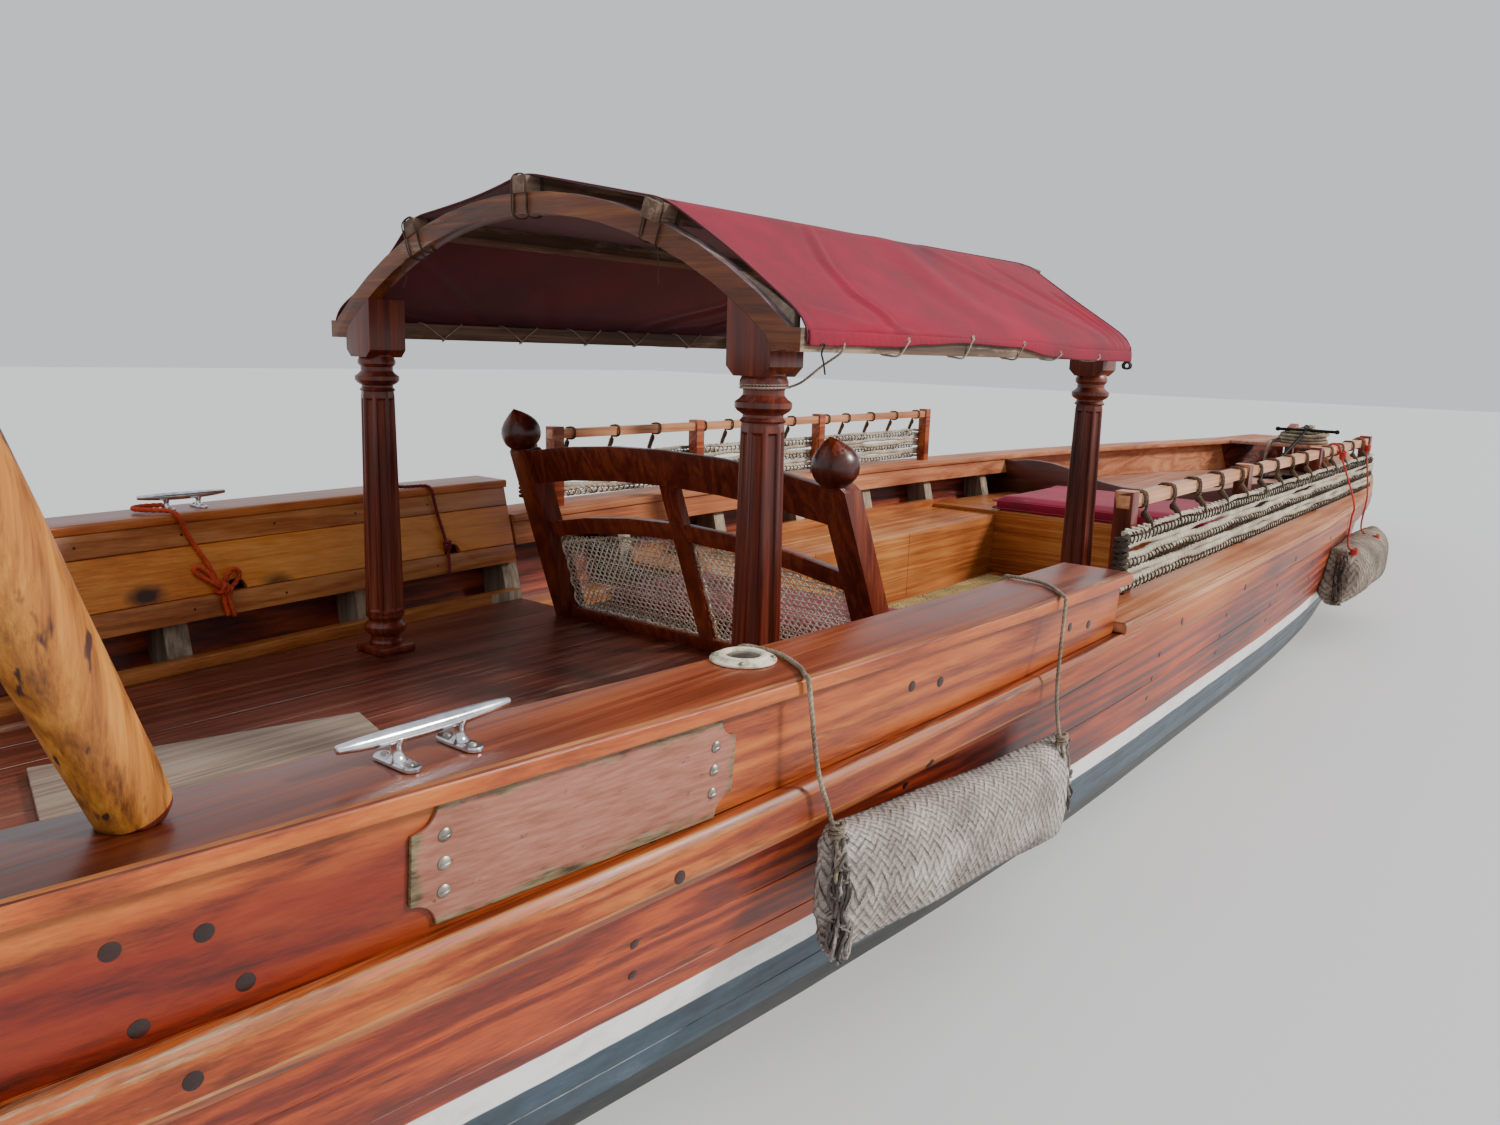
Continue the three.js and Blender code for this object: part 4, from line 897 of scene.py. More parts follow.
def rope(
    name: str, points: Sequence[Sequence[float]], radius: float, closed: bool = False, strands: int = 3,
    spacing: float = 0, sides: int = 12,
) -> Piece:
    """A laid rope: a lobed section swept along a line with a steady twist.

    Args:
        name: Its name.
        points: Its turning points.
        radius: Its radius.
        closed: Whether it closes on itself.
        strands: How many strands are laid up; 0 for a plain cord.
        spacing: Distance between its rings, or 0 for what the lay asks for.
        sides: Points round its section.

    Returns:
        The piece.
    """
    pitch = radius * 7.5
    spacing = spacing or pitch / 9
    path = smooth_path(points, spacing, closed)
    lobes = bpy.data.curves.new(name + "_section", "CURVE")
    ring = lobes.splines.new("POLY")
    ring.points.add(sides - 1)
    ring.use_cyclic_u = True
    for i, point in enumerate(ring.points):
        angle = -2 * math.pi * i / sides
        reach = 0.88 + 0.12 * math.cos(strands * angle) if strands else 1.0
        point.co = (reach * math.cos(angle), reach * math.sin(angle), 0, 1)
    section = bpy.data.objects.new(name + "_section", lobes)
    curve = bpy.data.curves.new(name, "CURVE")
    curve.dimensions = "3D"
    curve.bevel_mode = "OBJECT"
    curve.bevel_object = section
    curve.use_fill_caps = True
    line = curve.splines.new("POLY")
    line.points.add(len(path) - 1)
    line.use_cyclic_u = closed
    turns = max(1, round(len(path) * spacing / pitch))
    for i, point in enumerate(line.points):
        point.co = (*path[i], 1)
        point.radius = radius
        point.tilt = 2 * math.pi * turns * i / len(path) if strands else 0
    obj = bpy.data.objects.new(name, curve)
    bpy.context.scene.collection.objects.link(obj)
    only(obj)
    bpy.ops.object.convert(target="MESH")
    bpy.data.objects.remove(section)
    with editing(obj):
        bpy.ops.mesh.remove_doubles(threshold=1e-5)
    return smooth(outward(obj), 60)


def ringed(
    name: str, centre: Sequence[float], axis: Sequence[float], size: Pair, radius: float, turns: int, step: float,
    strands: int = 3,
) -> Piece:
    """Turns of rope round something, side by side along an axis.

    Args:
        name: Its name.
        centre: Middle of the turns.
        axis: What they go round.
        size: Half width and half height of a turn.
        radius: Radius of the rope.
        turns: How many turns.
        step: Distance from one turn to the next.
        strands: As for rope.

    Returns:
        The piece.
    """
    turn = Vector((0, 0, 1)).rotation_difference(Vector(axis).normalized()).to_matrix()
    points = []
    around = 12
    for i in range(turns * around + 1):
        angle = 2 * math.pi * i / around
        rise = (i / around - turns / 2) * step
        points.append(Vector(centre) + turn @ Vector((size[0] * math.cos(angle), size[1] * math.sin(angle), rise)))
    return rope(name, points, radius, strands=strands, sides=9 if strands else 8)


def lashing(
    centre: Vector, along: Vector, outward: Vector, size: Pair, reach: Pair, radius: float, turns: int
) -> Piece:
    """Turns of cord round two crossing timbers, each laid outside the last.

    Args:
        centre: Where the timbers meet.
        along: Direction of the lower timber.
        outward: Direction from the lower timber to the upper one.
        size: Half widths of the upper and the lower timber.
        reach: How far the cord goes below and above the centre.
        radius: Radius of the cord.
        turns: How many turns.

    Returns:
        The piece.
    """
    across = outward.cross(along)
    made = []
    for i in range(turns):
        out = radius * (1 + 1.9 * i)
        a, b, low, high = size[0] + out, size[1] + out, -reach[0] - radius, reach[1] + radius
        corners = [
            (-a, b, 0), (-a * 0.8, b, high), (a * 0.8, b, high), (a, b, 0), (a, b * 0.8, low), (a, -b * 0.8, low),
            (a, -b, 0), (a * 0.8, -b, high), (-a * 0.8, -b, high), (-a, -b, 0), (-a, -b * 0.8, low), (-a, b * 0.8, low),
        ]
        points = [centre + along * p + across * q + outward * r for p, q, r in corners]
        made.append(rope("turn", points, radius, closed=True, spacing=radius * 1.5, sides=8))
    return joined("lashing", made)


@dataclass(frozen=True)
class Seam:
    """Joints between boards, scored into the faces that look one way."""

    axis: Point
    places: tuple[float, ...]
    faces: Point
    width: float = 0.006
    depth: float = 0.004

    def score(self, obj: Piece) -> None:
        """Cuts the piece on both sides of each joint and sinks the line between.

        Args:
            obj: The piece.
        """
        normal = Vector(self.axis)
        look = Vector(self.faces)
        for place in self.places:
            for offset in (-self.width / 2, 0.0, self.width / 2):
                with editing(obj):
                    bpy.ops.mesh.bisect(plane_co=normal * (place + offset), plane_no=normal)
            mesh = bmesh.new()
            mesh.from_mesh(obj.data)
            mesh.normal_update()
            for vertex in mesh.verts:
                if abs(vertex.co.dot(normal) - place) < 1e-5 and vertex.normal.dot(look) > 0.35:
                    vertex.co -= vertex.normal * self.depth
            mesh.to_mesh(obj.data)
            mesh.free()


def spread(low: float, high: float, pitch: float) -> tuple[float, ...]:
    """Places between two ends at an even pitch."""
    count = max(1, round((high - low) / pitch))
    return tuple(low + (high - low) * i / count for i in range(1, count))


def shape_of(node: str, name: str) -> Piece:
    """A merged copy of a CAD node's shape.

    Args:
        node: The CAD node.
        name: The copy's name.

    Returns:
        The copy.
    """
    obj = bpy.data.objects.new(name, frame["nodes"][node].data.copy())
    bpy.context.scene.collection.objects.link(obj)
    only(obj)
    bpy.ops.mesh.customdata_custom_splitnormals_clear()
    obj.data.materials.clear()
    with editing(obj, "VERT"):
        bpy.ops.mesh.remove_doubles(threshold=1e-4)
        bpy.ops.mesh.dissolve_limited(angle_limit=math.radians(0.7))
    return obj


def coat(obj: Piece, *finishes: str) -> Piece:
    """Gives a piece its finishes, in the order of its slots.

    Args:
        obj: The piece.
        *finishes: Field names of the finishes.

    Returns:
        The piece.
    """
    obj.data.materials.clear()
    for name in finishes:
        obj.data.materials.append(FINISH.get(name))
    return obj


def toned(obj: Piece, slot: int, wanted: Callable[[bpy.types.MeshPolygon], bool]) -> None:
    """Gives one of a piece's finishes to the faces that a test picks.

    Args:
        obj: The piece.
        slot: The finish's slot.
        wanted: The test.
    """
    for face in obj.data.polygons:
        if wanted(face):
            face.material_index = slot


def settled(obj: Piece, instead: str = "", body: str = HULL) -> Piece:
    """Says what a finished piece rides on and stands for.

    Args:
        obj: The piece.
        instead: The CAD node that it stands for, if any.
        body: What it rides on.

    Returns:
        The piece.
    """
    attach(obj, body)
    if instead:
        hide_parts(instead)
    log.info("%s: %d faces", obj.name, len(obj.data.polygons))
    return obj


def dressed(
    node: str, finishes: str, edge: float = 0.003, seams: Sequence[Seam] = (), angle: float = 35,
    worn: bool = True, body: str = HULL,
) -> Piece:
    """A CAD node's shape with eased edges and scored joints, which stands for it.

    Args:
        node: The CAD node.
        finishes: Field names of its finishes, in the order of its slots.
        edge: Width of its eased edges.
        seams: Joints to score.
        angle: Edges sharper than this are eased.
        worn: Whether the eased edges take the second finish, where there is one.
        body: What it rides on.

    Returns:
        The piece.
    """
    names = finishes.split()
    obj = coat(shape_of(node, node + "_work"), *names)
    ease(obj, edge, angle=angle, slot=1 if worn and len(names) > 1 else -1)
    for seam in seams:
        seam.score(obj)
    return settled(smooth(obj, angle - 3), node, body)


def studs(name: str, model: Piece, on: Piece, places: Sequence[tuple[Point, Point]]) -> Piece:
    """Copies of a small fastening on a surface, found by looking along a line.

    Args:
        name: Name of the joined piece.
        model: The fastening, standing at the origin along Z; it is used up.
        on: The piece that carries them.
        places: Where each line of sight starts, and its direction.

    Returns:
        The joined piece.
    """
    made = []
    for start, look in places:
        hit, point, normal, _ = on.ray_cast(Vector(start), Vector(look))
        if hit:
            twin = bpy.data.objects.new(name, model.data.copy())
            bpy.context.scene.collection.objects.link(twin)
            turn = Vector((0, 0, 1)).rotation_difference(normal).to_matrix().to_4x4()
            twin.data.transform(Matrix.Translation(point) @ turn)
            made.append(twin)
    bpy.data.objects.remove(model)
    return joined(name, made)


def plug(radius: float, rise: float = 0.0012, sides: int = 16) -> Piece:
    """A wooden plug that stands hardly proud."""
    rows = [(radius, -0.004), (radius, rise * 0.4), (radius * 0.85, rise)]
    return coat(turned("plug", rows, sides=sides), "plug")


def screw_head(radius: float) -> Piece:
    """A round screw head with a slot.

    Args:
        radius: Its radius.

    Returns:
        The piece.
    """
    rows = [(radius, -0.002), (radius, 0.0012), (radius * 0.8, 0.003), (radius * 0.4, 0.0042)]
    head = turned("screw", rows, sides=20)
    slit = block("slit", (-radius, -radius * 0.12, 0.0025), (radius, radius * 0.12, 0.01), 0)
    finish_with(head, "BOOLEAN", object=slit, operation="DIFFERENCE", solver="EXACT")
    bpy.data.objects.remove(slit)
    return coat(head, "screw")


# Sub-assemblies


@dataclass
class Studio:
    """Pale floor at the water plane, soft light and the camera."""

    camera_place: Point = (-4.6499, -2.2930, 1.3405)
    yaw: float = 37.946
    pitch: float = 11.022
    roll: float = 1.7666
    lens: float = 26.35
    far: float = 200.0
    floor_size: float = 80.0
    floor_tone: tuple[float, ...] = (0.74, 0.75, 0.76, 1)
    floor_rough: float = 0.75
    sun_from: Point = (5.5, -7.5, 6.0)
    sun_strength: float = 3.4
    sun_spread: float = 9.0
    sun_tone: Point = (1.0, 0.95, 0.88)
    sky: tuple[float, ...] = (0.86, 0.9, 0.95, 1)
    sky_strength: float = 0.85

    def camera(self) -> None:
        """Stands the camera where the photograph was taken."""
        yaw, pitch, roll = (math.radians(a) for a in (self.yaw, self.pitch, self.roll))
        ahead = Vector((math.cos(yaw) * math.cos(pitch), math.sin(yaw) * math.cos(pitch), -math.sin(pitch)))
        level = Vector((math.sin(yaw), -math.cos(yaw), 0))
        up = level.cross(ahead)
        right = math.cos(roll) * level + math.sin(roll) * up
        top = -math.sin(roll) * level + math.cos(roll) * up
        lens = bpy.data.cameras.new("camera")
        lens.lens = self.lens
        lens.clip_end = self.far
        obj = bpy.data.objects.new("camera", lens)
        obj.matrix_world = Matrix.Translation(self.camera_place) @ Matrix((right, top, -ahead)).transposed().to_4x4()
        bpy.context.scene.collection.objects.link(obj)
        bpy.context.scene.camera = obj

    def light(self) -> None:
        """A broad sun over the starboard bow, and an even pale sky."""
        sun = bpy.data.lights.new("sun", "SUN")
        sun.energy = self.sun_strength
        sun.angle = math.radians(self.sun_spread)
        sun.color = self.sun_tone
        obj = bpy.data.objects.new("sun", sun)
        obj.matrix_world = Vector(self.sun_from).to_track_quat("Z", "Y").to_matrix().to_4x4()
        bpy.context.scene.collection.objects.link(obj)
        world = bpy.data.worlds.new("sky")
        world.use_nodes = True
        background = world.node_tree.nodes["Background"]
        background.inputs[0].default_value = self.sky
        background.inputs[1].default_value = self.sky_strength
        bpy.context.scene.world = world

    def floor(self) -> None:
        """A plain pale floor in the water plane."""
        bpy.ops.object.select_all(action="DESELECT")
        bpy.ops.mesh.primitive_plane_add(size=self.floor_size)
        obj = bpy.context.active_object
        obj.name = "floor"
        tree = Tree("pale_floor")
        tree.put(tree.shader, {"Base Color": self.floor_tone, "Roughness": self.floor_rough})
        obj.data.materials.append(tree.material)

    def build(self) -> None:
        """All of it."""
        self.camera()
        self.light()
        self.floor()


@dataclass
class Hull:
    """Planking, wales, bulwarks, caps, linings, backbone and frames."""

    plank_seams: tuple[float, ...] = (0.385, 0.292, 0.12, -0.05, -0.2, -0.34)
    lining_seams: Pair = (0.7, 0.548)
    transom_seams: tuple[float, ...] = (0.56, 0.38, 0.2, 0.02)
    first_frame: float = -5.585
    frame_pitch: float = 0.705
    frames: int = 16
    plug_radius: float = 0.0115
    small_plug: float = 0.0092
    board_plugs: tuple[Pair, ...] = ((-0.06, 0.7), (0.045, 0.687), (0.08, 0.607), (-0.025, 0.597))
    plank_plugs: Point = (0.47, 0.395, 0.33)
    nail_rows: Pair = (0.735, 0.512)
    clamp_long: float = 0.25
    look: float = 3.0

    def build(self) -> None:
        """Dresses each timber, and plugs and nails it to the frames."""
        up = (0, 0, 1)
        low, high = self.lining_seams[1], self.lining_seams[0]
        for name, side in SIDES.items():
            seams = [Seam(up, self.plank_seams, (0, side, 0), 0.0035)]
            planking = dressed("planking_" + name, "topside", 0, seams)
            wale = dressed("wale_" + name, "wale cap_edge", 0.007, angle=25)
            board = dressed("bulwark_board_" + name, "board")
            cap = dressed("bulwark_cap_" + name, "cap cap_edge board", 0.0035, angle=25)
            toned(cap, 2, lambda face: abs(face.normal.y) > 0.75)
            seams = [Seam(up, self.lining_seams, (0, -side, 0), 0.005, 0.006)]
            lining = dressed("bulwark_lining_" + name, "lining bench", seams=seams, worn=False)
            toned(lining, 1, lambda face: not low < face.center.z < high)
            dressed("gunwale_cap_" + name, "gunwale cap_edge", 0.004, angle=30)
            timbers = dressed("frames_" + name, "frame bench", 0.004, worn=False)
            spots = [v.co.x for v in timbers.data.vertices]
            reach = self.clamp_long
            toned(timbers, 1, lambda f: max(spots[v] for v in f.vertices) - min(spots[v] for v in f.vertices) > reach)
            self.fastenings(name, side, [board, wale, planking, lining])
        boards = Seam(up, self.transom_seams, (-1, 0, 0), 0.007)
        dressed("transom", "topside", 0.004, [boards])
        dressed("sternpost", "topside", 0.005)
        dressed("keel", "topside", 0.005)
        dressed("stem", "topside cap_edge", 0.008)

    def fastenings(self, name: str, side: int, timbers: Sequence[Piece]) -> None:
        """Plugs over the frames on one side of the boat, and nails inside.

        Args:
            name: The side's name.
            side: PORT or STARBOARD.
            timbers: Board, wale, planking and lining, which carry them.
        """
        frames = [self.first_frame + i * self.frame_pitch for i in range(self.frames)]
        aft = [x for x in frames if x < -1.9]
        chance = random.Random(4)

        def near(x: float, reach: float) -> float:
            """A place moved a little along the boat."""
            return x + chance.uniform(-reach, reach)

        rows = {
            "board": [(near(x + along, 0.012), z) for x in aft for along, z in self.board_plugs],
            "wale": [(near(x, 0.03), 0.53 if x < -2 else 0.585) for x in frames],
            "planking": [(near(x, 0.02), z) for x in frames for z in self.plank_plugs],
        }
        for (row, places), on in zip(rows.items(), timbers):
            lines = [((x, side * self.look, z), (0, -side, 0)) for x, z in places]
            model = plug(self.small_plug if row == "planking" else self.plug_radius)
            settled(studs(f"plugs_{row}_{name}", model, on, lines))
        lines = [((x, 0, z), (0, side, 0)) for x in spread(-5.9, -1.9, 0.3) for z in self.nail_rows]
        settled(studs("nails_lining_" + name, plug(0.0045, 0.001, 8), timbers[-1], lines))


@dataclass
class Decks:
    """Aft deck, sole, benches, seats, foredeck and bulkheads."""

    deck_pitch: float = 0.148
    board_half: Pair = (0.3735, 0.2)
    board_thick: float = 0.018
    board_at: Point = (-3.492, 0.143, DECK_TOP + 0.0005)
    board_turn: float = -15.1

    def build(self) -> None:
        """Dresses each deck and scores its boards."""
        up, along, across = (0, 0, 1), (1, 0, 0), (0, 1, 0)
        dressed("aft_deck", "deck", seams=[Seam(across, spread(-1.1, 1.1, self.deck_pitch), up, 0.003)])
        dressed("sole", "bench", seams=[Seam(across, spread(-1, 1, 0.17), up, 0.003)])
        dressed("foredeck", "pink", seams=[Seam(across, spread(-0.95, 0.95, 0.16), up, 0.003)])
        dressed("bow_platform", "pink", 0.004)
        for name, side in SIDES.items():
            inward = (0, -side, 0)
            seams = [
                Seam(across, (side * 0.86,), up, 0.005), Seam(up, (0.28, 0.165), inward, 0.005),
                Seam(along, (-0.42, 0.46), inward, 0.005),
            ]
            dressed("side_bench_" + name, "bench cap_edge", 0.004, seams)
        dressed("forward_seat", "bench_across", 0.004, [Seam(up, (0.3, 0.17), (-1, 0, 0))])
        dressed("helm_seat", "dark_across", 0.004, [Seam(up, (0.2,), along)])
        dressed("aft_bulkhead", "dark_across", seams=[Seam(across, spread(-1, 1, 0.2), along)])
        dressed("seat_back", "dark_across", 0.006)
        long, wide = self.board_half
        board = block("deck_board", (-long, -wide, 0), (long, wide, self.board_thick), 0.004)
        moved(board, Matrix.Translation(self.board_at) @ Matrix.Rotation(math.radians(self.board_turn), 4, "Z"))
        settled(coat(board, "grey_board"))


@dataclass(frozen=True)
class Crease:
    """A fold pulled into the cloth, along a line of places: x, and distance above the eave."""

    line: tuple[Pair, ...]
    height: float = 0.008
    width: float = 0.02

    def rise(self, x: float, above: float) -> float:
        """How far the fold lifts the cloth.

        Args:
            x: Place along the boat.
            above: Distance above the eave.

        Returns:
            The lift.
        """
        place = Vector((x, above))
        near, share = 1e9, 0.0
        for i, (a, b) in enumerate(zip(self.line, self.line[1:])):
            start, run = Vector(a), Vector(b) - Vector(a)
            t = max(0.0, min(1.0, (place - start).dot(run) / run.length_squared))
            away = (place - start - run * t).length
            if away < near:
                near, share = away, (i + t) / (len(self.line) - 1)
        beside = near / self.width
        fade = math.sin(math.pi * (0.15 + 0.75 * share))
        return self.height * fade * (math.exp(-(beside ** 2)) - 0.35 * math.exp(-(((beside - 1.7) / 0.9) ** 2)))


@dataclass
class Canopy:
    """Fluted posts, arches and purlins, and the cloth laced over them."""

    post_xs: Pair = (-2.65, -0.69)
    post_feet: Pair = (DECK_TOP, 0.395)
    post_y: float = 0.758
    block_foot: float = 1.28
    plinth_half: float = 0.068
    # Radius and height of the turned base's rows, then radius and drop below the block of the neck's.
    base_rows: tuple[Pair, ...] = (
        (0.05, 0.024), (0.052, 0.034), (0.046, 0.042), (0.046, 0.056), (0.06, 0.066), (0.0655, 0.076),
        (0.0655, 0.088), (0.058, 0.098), (0.05, 0.104), (0.052, 0.112), (0.06, 0.12), (0.06, 0.128),
    )
    neck_rows: tuple[Pair, ...] = (
        (0.05, 0.104), (0.054, 0.1), (0.047, 0.092), (0.047, 0.086), (0.06, 0.078), (0.066, 0.07), (0.066, 0.058),
        (0.055, 0.05), (0.048, 0.042), (0.048, 0.03), (0.056, 0.02), (0.056, 0.01), (0.05, -0.002),
    )
    arch_xs: Pair = (-2.6895, -0.7295)
    arch_half: float = 0.0232
    arch_top: float = 1.716
    arch_radius: float = 1.321
    arch_deep: float = 0.054
    half_span: float = 0.865
    purlin: float = 0.044
    purlin_angle: float = 20.8
    let_in: float = 0.003
    eave_in: float = 0.862
    eave_out: float = 0.9
    eave_low: float = 1.337
    eave_high: float = 1.388
    wedge_top: float = 1.4253
    clear: float = 0.0045
    cloth_x: Pair = (-2.694, -0.722)
    cloth_columns: int = 168
    cloth_pitch: float = 0.0115
    cloth_thick: float = 0.0022
    hem_tall: float = 0.036
    hem_line: tuple[Pair, ...] = (
        (-2.66, 1.351), (-2.48, 1.354), (-2.33, 1.355), (-2.19, 1.364), (-1.98, 1.372), (-1.68, 1.368), (-1.4, 1.344),
        (-1.19, 1.337), (-0.72, 1.336),
    )
    lace_xs: tuple[float, ...] = (-2.326, -1.989, -1.669, -1.4, -1.08)
    lace: float = 0.0026
    # How a lashing's loose end hangs, from where it leaves the turns.
    loose_end: tuple[Point, ...] = (
        (0, 0, 0), (-0.03, 0.012, -0.004), (-0.036, 0.02, -0.03), (-0.03, 0.014, -0.055), (-0.036, 0.022, -0.085)
    )
    flutes: int = 8
    starboard_creases: tuple[Crease, ...] = (
        Crease(((-2.15, 0.49), (-2.28, 0.31), (-2.35, 0.15), (-2.31, 0.02), (-2.2, -0.02)), 0.009, 0.016),
        Crease(((-1.72, 0.47), (-1.74, 0.3), (-1.7, 0.1)), 0.009, 0.09),
        Crease(((-1.5, 0.48), (-1.26, 0.3), (-0.96, 0.03)), width=0.03),
        Crease(((-1.1, 0.45), (-0.91, 0.2), (-0.86, -0.01))),
        Crease(((-0.84, 0.32), (-0.82, 0.0)), width=0.014),
        Crease(((-0.757, 0.3), (-0.775, 0.0)), 0.007, 0.012),
        Crease(((-2.64, 0.06), (-2.31, 0.0)), 0.006, 0.014),
        Crease(((-2.64, 0.02), (-2.2, 0.012), (-1.78, -0.01)), 0.005, 0.01),
    )
    port_creases: tuple[Crease, ...] = (
        Crease(((-2.6, 0.34), (-2.4, 0.2), (-2.1, 0.0)), width=0.022),
        Crease(((-2.3, 0.47), (-2.0, 0.24), (-1.8, 0.0)), 0.007, 0.04),
        Crease(((-0.78, 0.4), (-1.0, 0.2), (-1.35, 0.01)), width=0.024),
        Crease(((-0.74, 0.2), (-0.95, 0.06), (-1.3, 0.0)), 0.006, 0.014),
        Crease(((-2.64, 0.05), (-2.3, 0.0)), 0.006, 0.014),
    )

    @property
    def centre(self) -> float:
        """Height of the roof's centre of curvature."""
        return self.arch_top - self.arch_radius

    def post(self, name: str, x: float, y: float, foot: float) -> None:
        """One turned and fluted post under its square block.

        Args:
            name: Its CAD node.
            x: Its place along the boat.
            y: Its place across the boat.
            foot: Height of what it stands on.
        """
        head = trimmed(shape_of(name, name + "_block"), ((0, 0, self.block_foot - 0.0005), (0, 0, -1)))
        ease(coat(head, "dark_up"), 0.006, 3)
        at, top, half = (x, y, foot), self.block_foot - foot, self.plinth_half
        plinth = block("plinth", (x - half, y - half, foot), (x + half, y + half, foot + 0.026), 0.008)
        base = turned("base", self.base_rows, at, sides=40)
        neck = turned("neck", [(r, top - drop) for r, drop in self.neck_rows], at, sides=40)
        rows = [(0.058, 0.124), (0.061, 0.135), (0.0515, top - 0.12), (0.049, top - 0.1)]
        shaft = turned("shaft", rows, at, sides=self.flutes)
        with editing(shaft, everything=False):
            mesh = bmesh.from_edit_mesh(shaft.data)
            for face in mesh.faces:
                face.select_set(abs(face.normal.z) < 0.1 and face.calc_area() > 0.01)
            mesh.select_flush_mode()
            bmesh.update_edit_mesh(shaft.data)
            bpy.ops.mesh.inset(use_individual=True, thickness=0.0065, depth=0)
            bpy.ops.mesh.inset(use_individual=True, thickness=0.004, depth=-0.007)
        ease(shaft, 0.0028, 2, 20)
        body = coat(joined("work", [shaft, base, neck, plinth]), "dark_up")
        settled(joined(name + "_turned", [head, body]), name)

    def hem_at(self, x: float) -> float:
        """Height of the hem's edge.

        Args:
            x: Place along the boat.

        Returns:
            The height.
        """
        for (x0, z0), (x1, z1) in zip(self.hem_line, self.hem_line[1:]):
            if x <= x1:
                share = (x - x0) / (x1 - x0)
                return z0 + (z1 - z0) * share * share * (3 - 2 * share)
        return self.hem_line[-1][1]

    def section(self) -> list[Vector]:
        """The cloth's line across the boat, from the port hem over the timbers to the starboard one.

        Returns:
            The line's points.
        """
        lie = self.arch_radius + self.purlin - self.let_in + self.clear
        corners = []
        for degrees in (self.purlin_angle, 0, -self.purlin_angle):
            s, c = math.sin(math.radians(degrees)), math.cos(math.radians(degrees))
            for half in (self.purlin / 2, -self.purlin / 2):
                corners.append((lie * s + half * c, self.centre + lie * c - half * s))
        out = self.eave_out + self.clear
        eave = [(out, self.eave_low), (out, self.eave_high + 0.004), (self.half_span + 0.003, self.wedge_top + 0.004)]
        row = [*eave, *corners, *((-y, z) for y, z in reversed(eave))]
        line = evenly([Vector((0, y, z)) for y, z in row], self.cloth_pitch)
        for _ in range(3):
            line = [(a + b * 2 + c) / 4 for a, b, c in zip([line[0], *line[:-1]], line, [*line[1:], line[-1]])]
        return line

    def cloth(self) -> Piece:
        """The cloth as one curved sheet, sagging between its supports and creased towards its corners.

        Returns:
            The sheet, still without thickness.
        """
        line = self.section()
        rows = len(line) - 1
        obj = grid("canopy_cloth", self.cloth_columns, rows)
        x0, x1 = self.cloth_x
        hang = self.eave_high - self.eave_low
        fold_top = self.eave_high + 0.002
        for vertex in obj.data.vertices:
            u = (vertex.co.x + 1) / 2
            row = round((vertex.co.y + 1) / 2 * rows)
            point = line[row]
            x = x0 + (x1 - x0) * u
            wide = abs(point.y)
            inner, outer = (0.03, 0.45) if wide < 0.47 else (0.51, self.half_span)
            taut = math.sin(math.pi * max(0.0, min(1.0, (wide - inner) / (outer - inner))))
            sag = 0.006 * taut * math.sin(math.pi * u) ** 0.5
            creases = self.port_creases if point.y > 0 else self.starboard_creases
            above = min(row, rows - row) * self.cloth_pitch - hang
            lift = sum(c.rise(x, above) for c in creases) if wide > 0.4 else 0.0
            lift *= max(0.0, min(1.0, (above + 0.03) / 0.03))
            lift += 0.0012 * math.sin(23 * u + 6 * math.sin(4 * above)) * max(0.0, 1 - above / 0.3)
            place = point + Vector((0, point.y, point.z - self.centre)).normalized() * (max(lift, -0.004) - sag)
            if wide > self.eave_out - 0.01 and point.z < fold_top:
                share = (fold_top - place.z) / (fold_top - self.eave_low)
                place.z = fold_top - share * (fold_top - self.hem_at(x))
            edge = 0.02 * taut * (1 - u) ** 10 - 0.012 * taut * u ** 12
            vertex.co = (x + edge, place.y, place.z)
        return obj

    def dress_cloth(self) -> None:
        obj = self.cloth()
        places = [vertex.co.copy() for vertex in obj.data.vertices]
        columns = self.cloth_columns + 1
        sides = (0, self.cloth_columns)
        # Thin cords in the darker cloth along both ends of the sheet: a binding that also paints the dark shaded line
        # at the cloth's edges.
        ends = [rope("edge", places[i::columns][::3], 0.0026, strands=0, spacing=0.02, sides=8) for i in sides]
        edge = settled(coat(joined("canopy_edge_cord_painted_shade", ends), "canvas_painted_shade"))
        coat(obj, "canvas", "canvas_painted_shade")
        finish_with(obj, "SOLIDIFY", thickness=self.cloth_thick, offset=1.0)
        # Faces towards the roof's centre take the darker cloth: painted shade on the underside.
        toned(obj, 1, lambda face: face.normal.dot((0, face.center.y, face.center.z - self.centre)) < 0)
        settled(smooth(obj), "canopy_canvas")
        laces = [self.lacing(name, side) for name, side in SIDES.items()]
        hems = [self.hem_band(name, side) for name, side in SIDES.items()]

    def hem_band(self, name: str, side: int) -> Piece:
        """The doubled hem: a narrow strip with a row of stitches.

        Args:
            name: The side's name.
            side: PORT or STARBOARD.

        Returns:
            The strip.
        """
        x0, x1 = self.cloth_x
        obj = grid("canopy_hem_" + name, 230, 8)
        out = self.eave_out + self.clear + self.cloth_thick + 0.0014
        for vertex in obj.data.vertices:
            u, v = (vertex.co.x + 1) / 2, (vertex.co.y + 1) / 2
            x = x0 + 0.002 + (x1 - x0 - 0.004) * u
            foot = self.hem_at(x) - 0.0012
            tall = min(self.hem_tall, self.eave_high - 0.004 - foot)
            puff = 0.0016 * math.sin(math.pi * v) ** 0.6 + 0.0005 * math.sin(x * 230 + 3 * v)
            vertex.co = (x, side * (out + puff - 0.0016 * v), foot + tall * v)
        finish_with(obj, "SOLIDIFY", thickness=0.0018, offset=0)
        return settled(coat(smooth(outward(obj)), "canvas"))

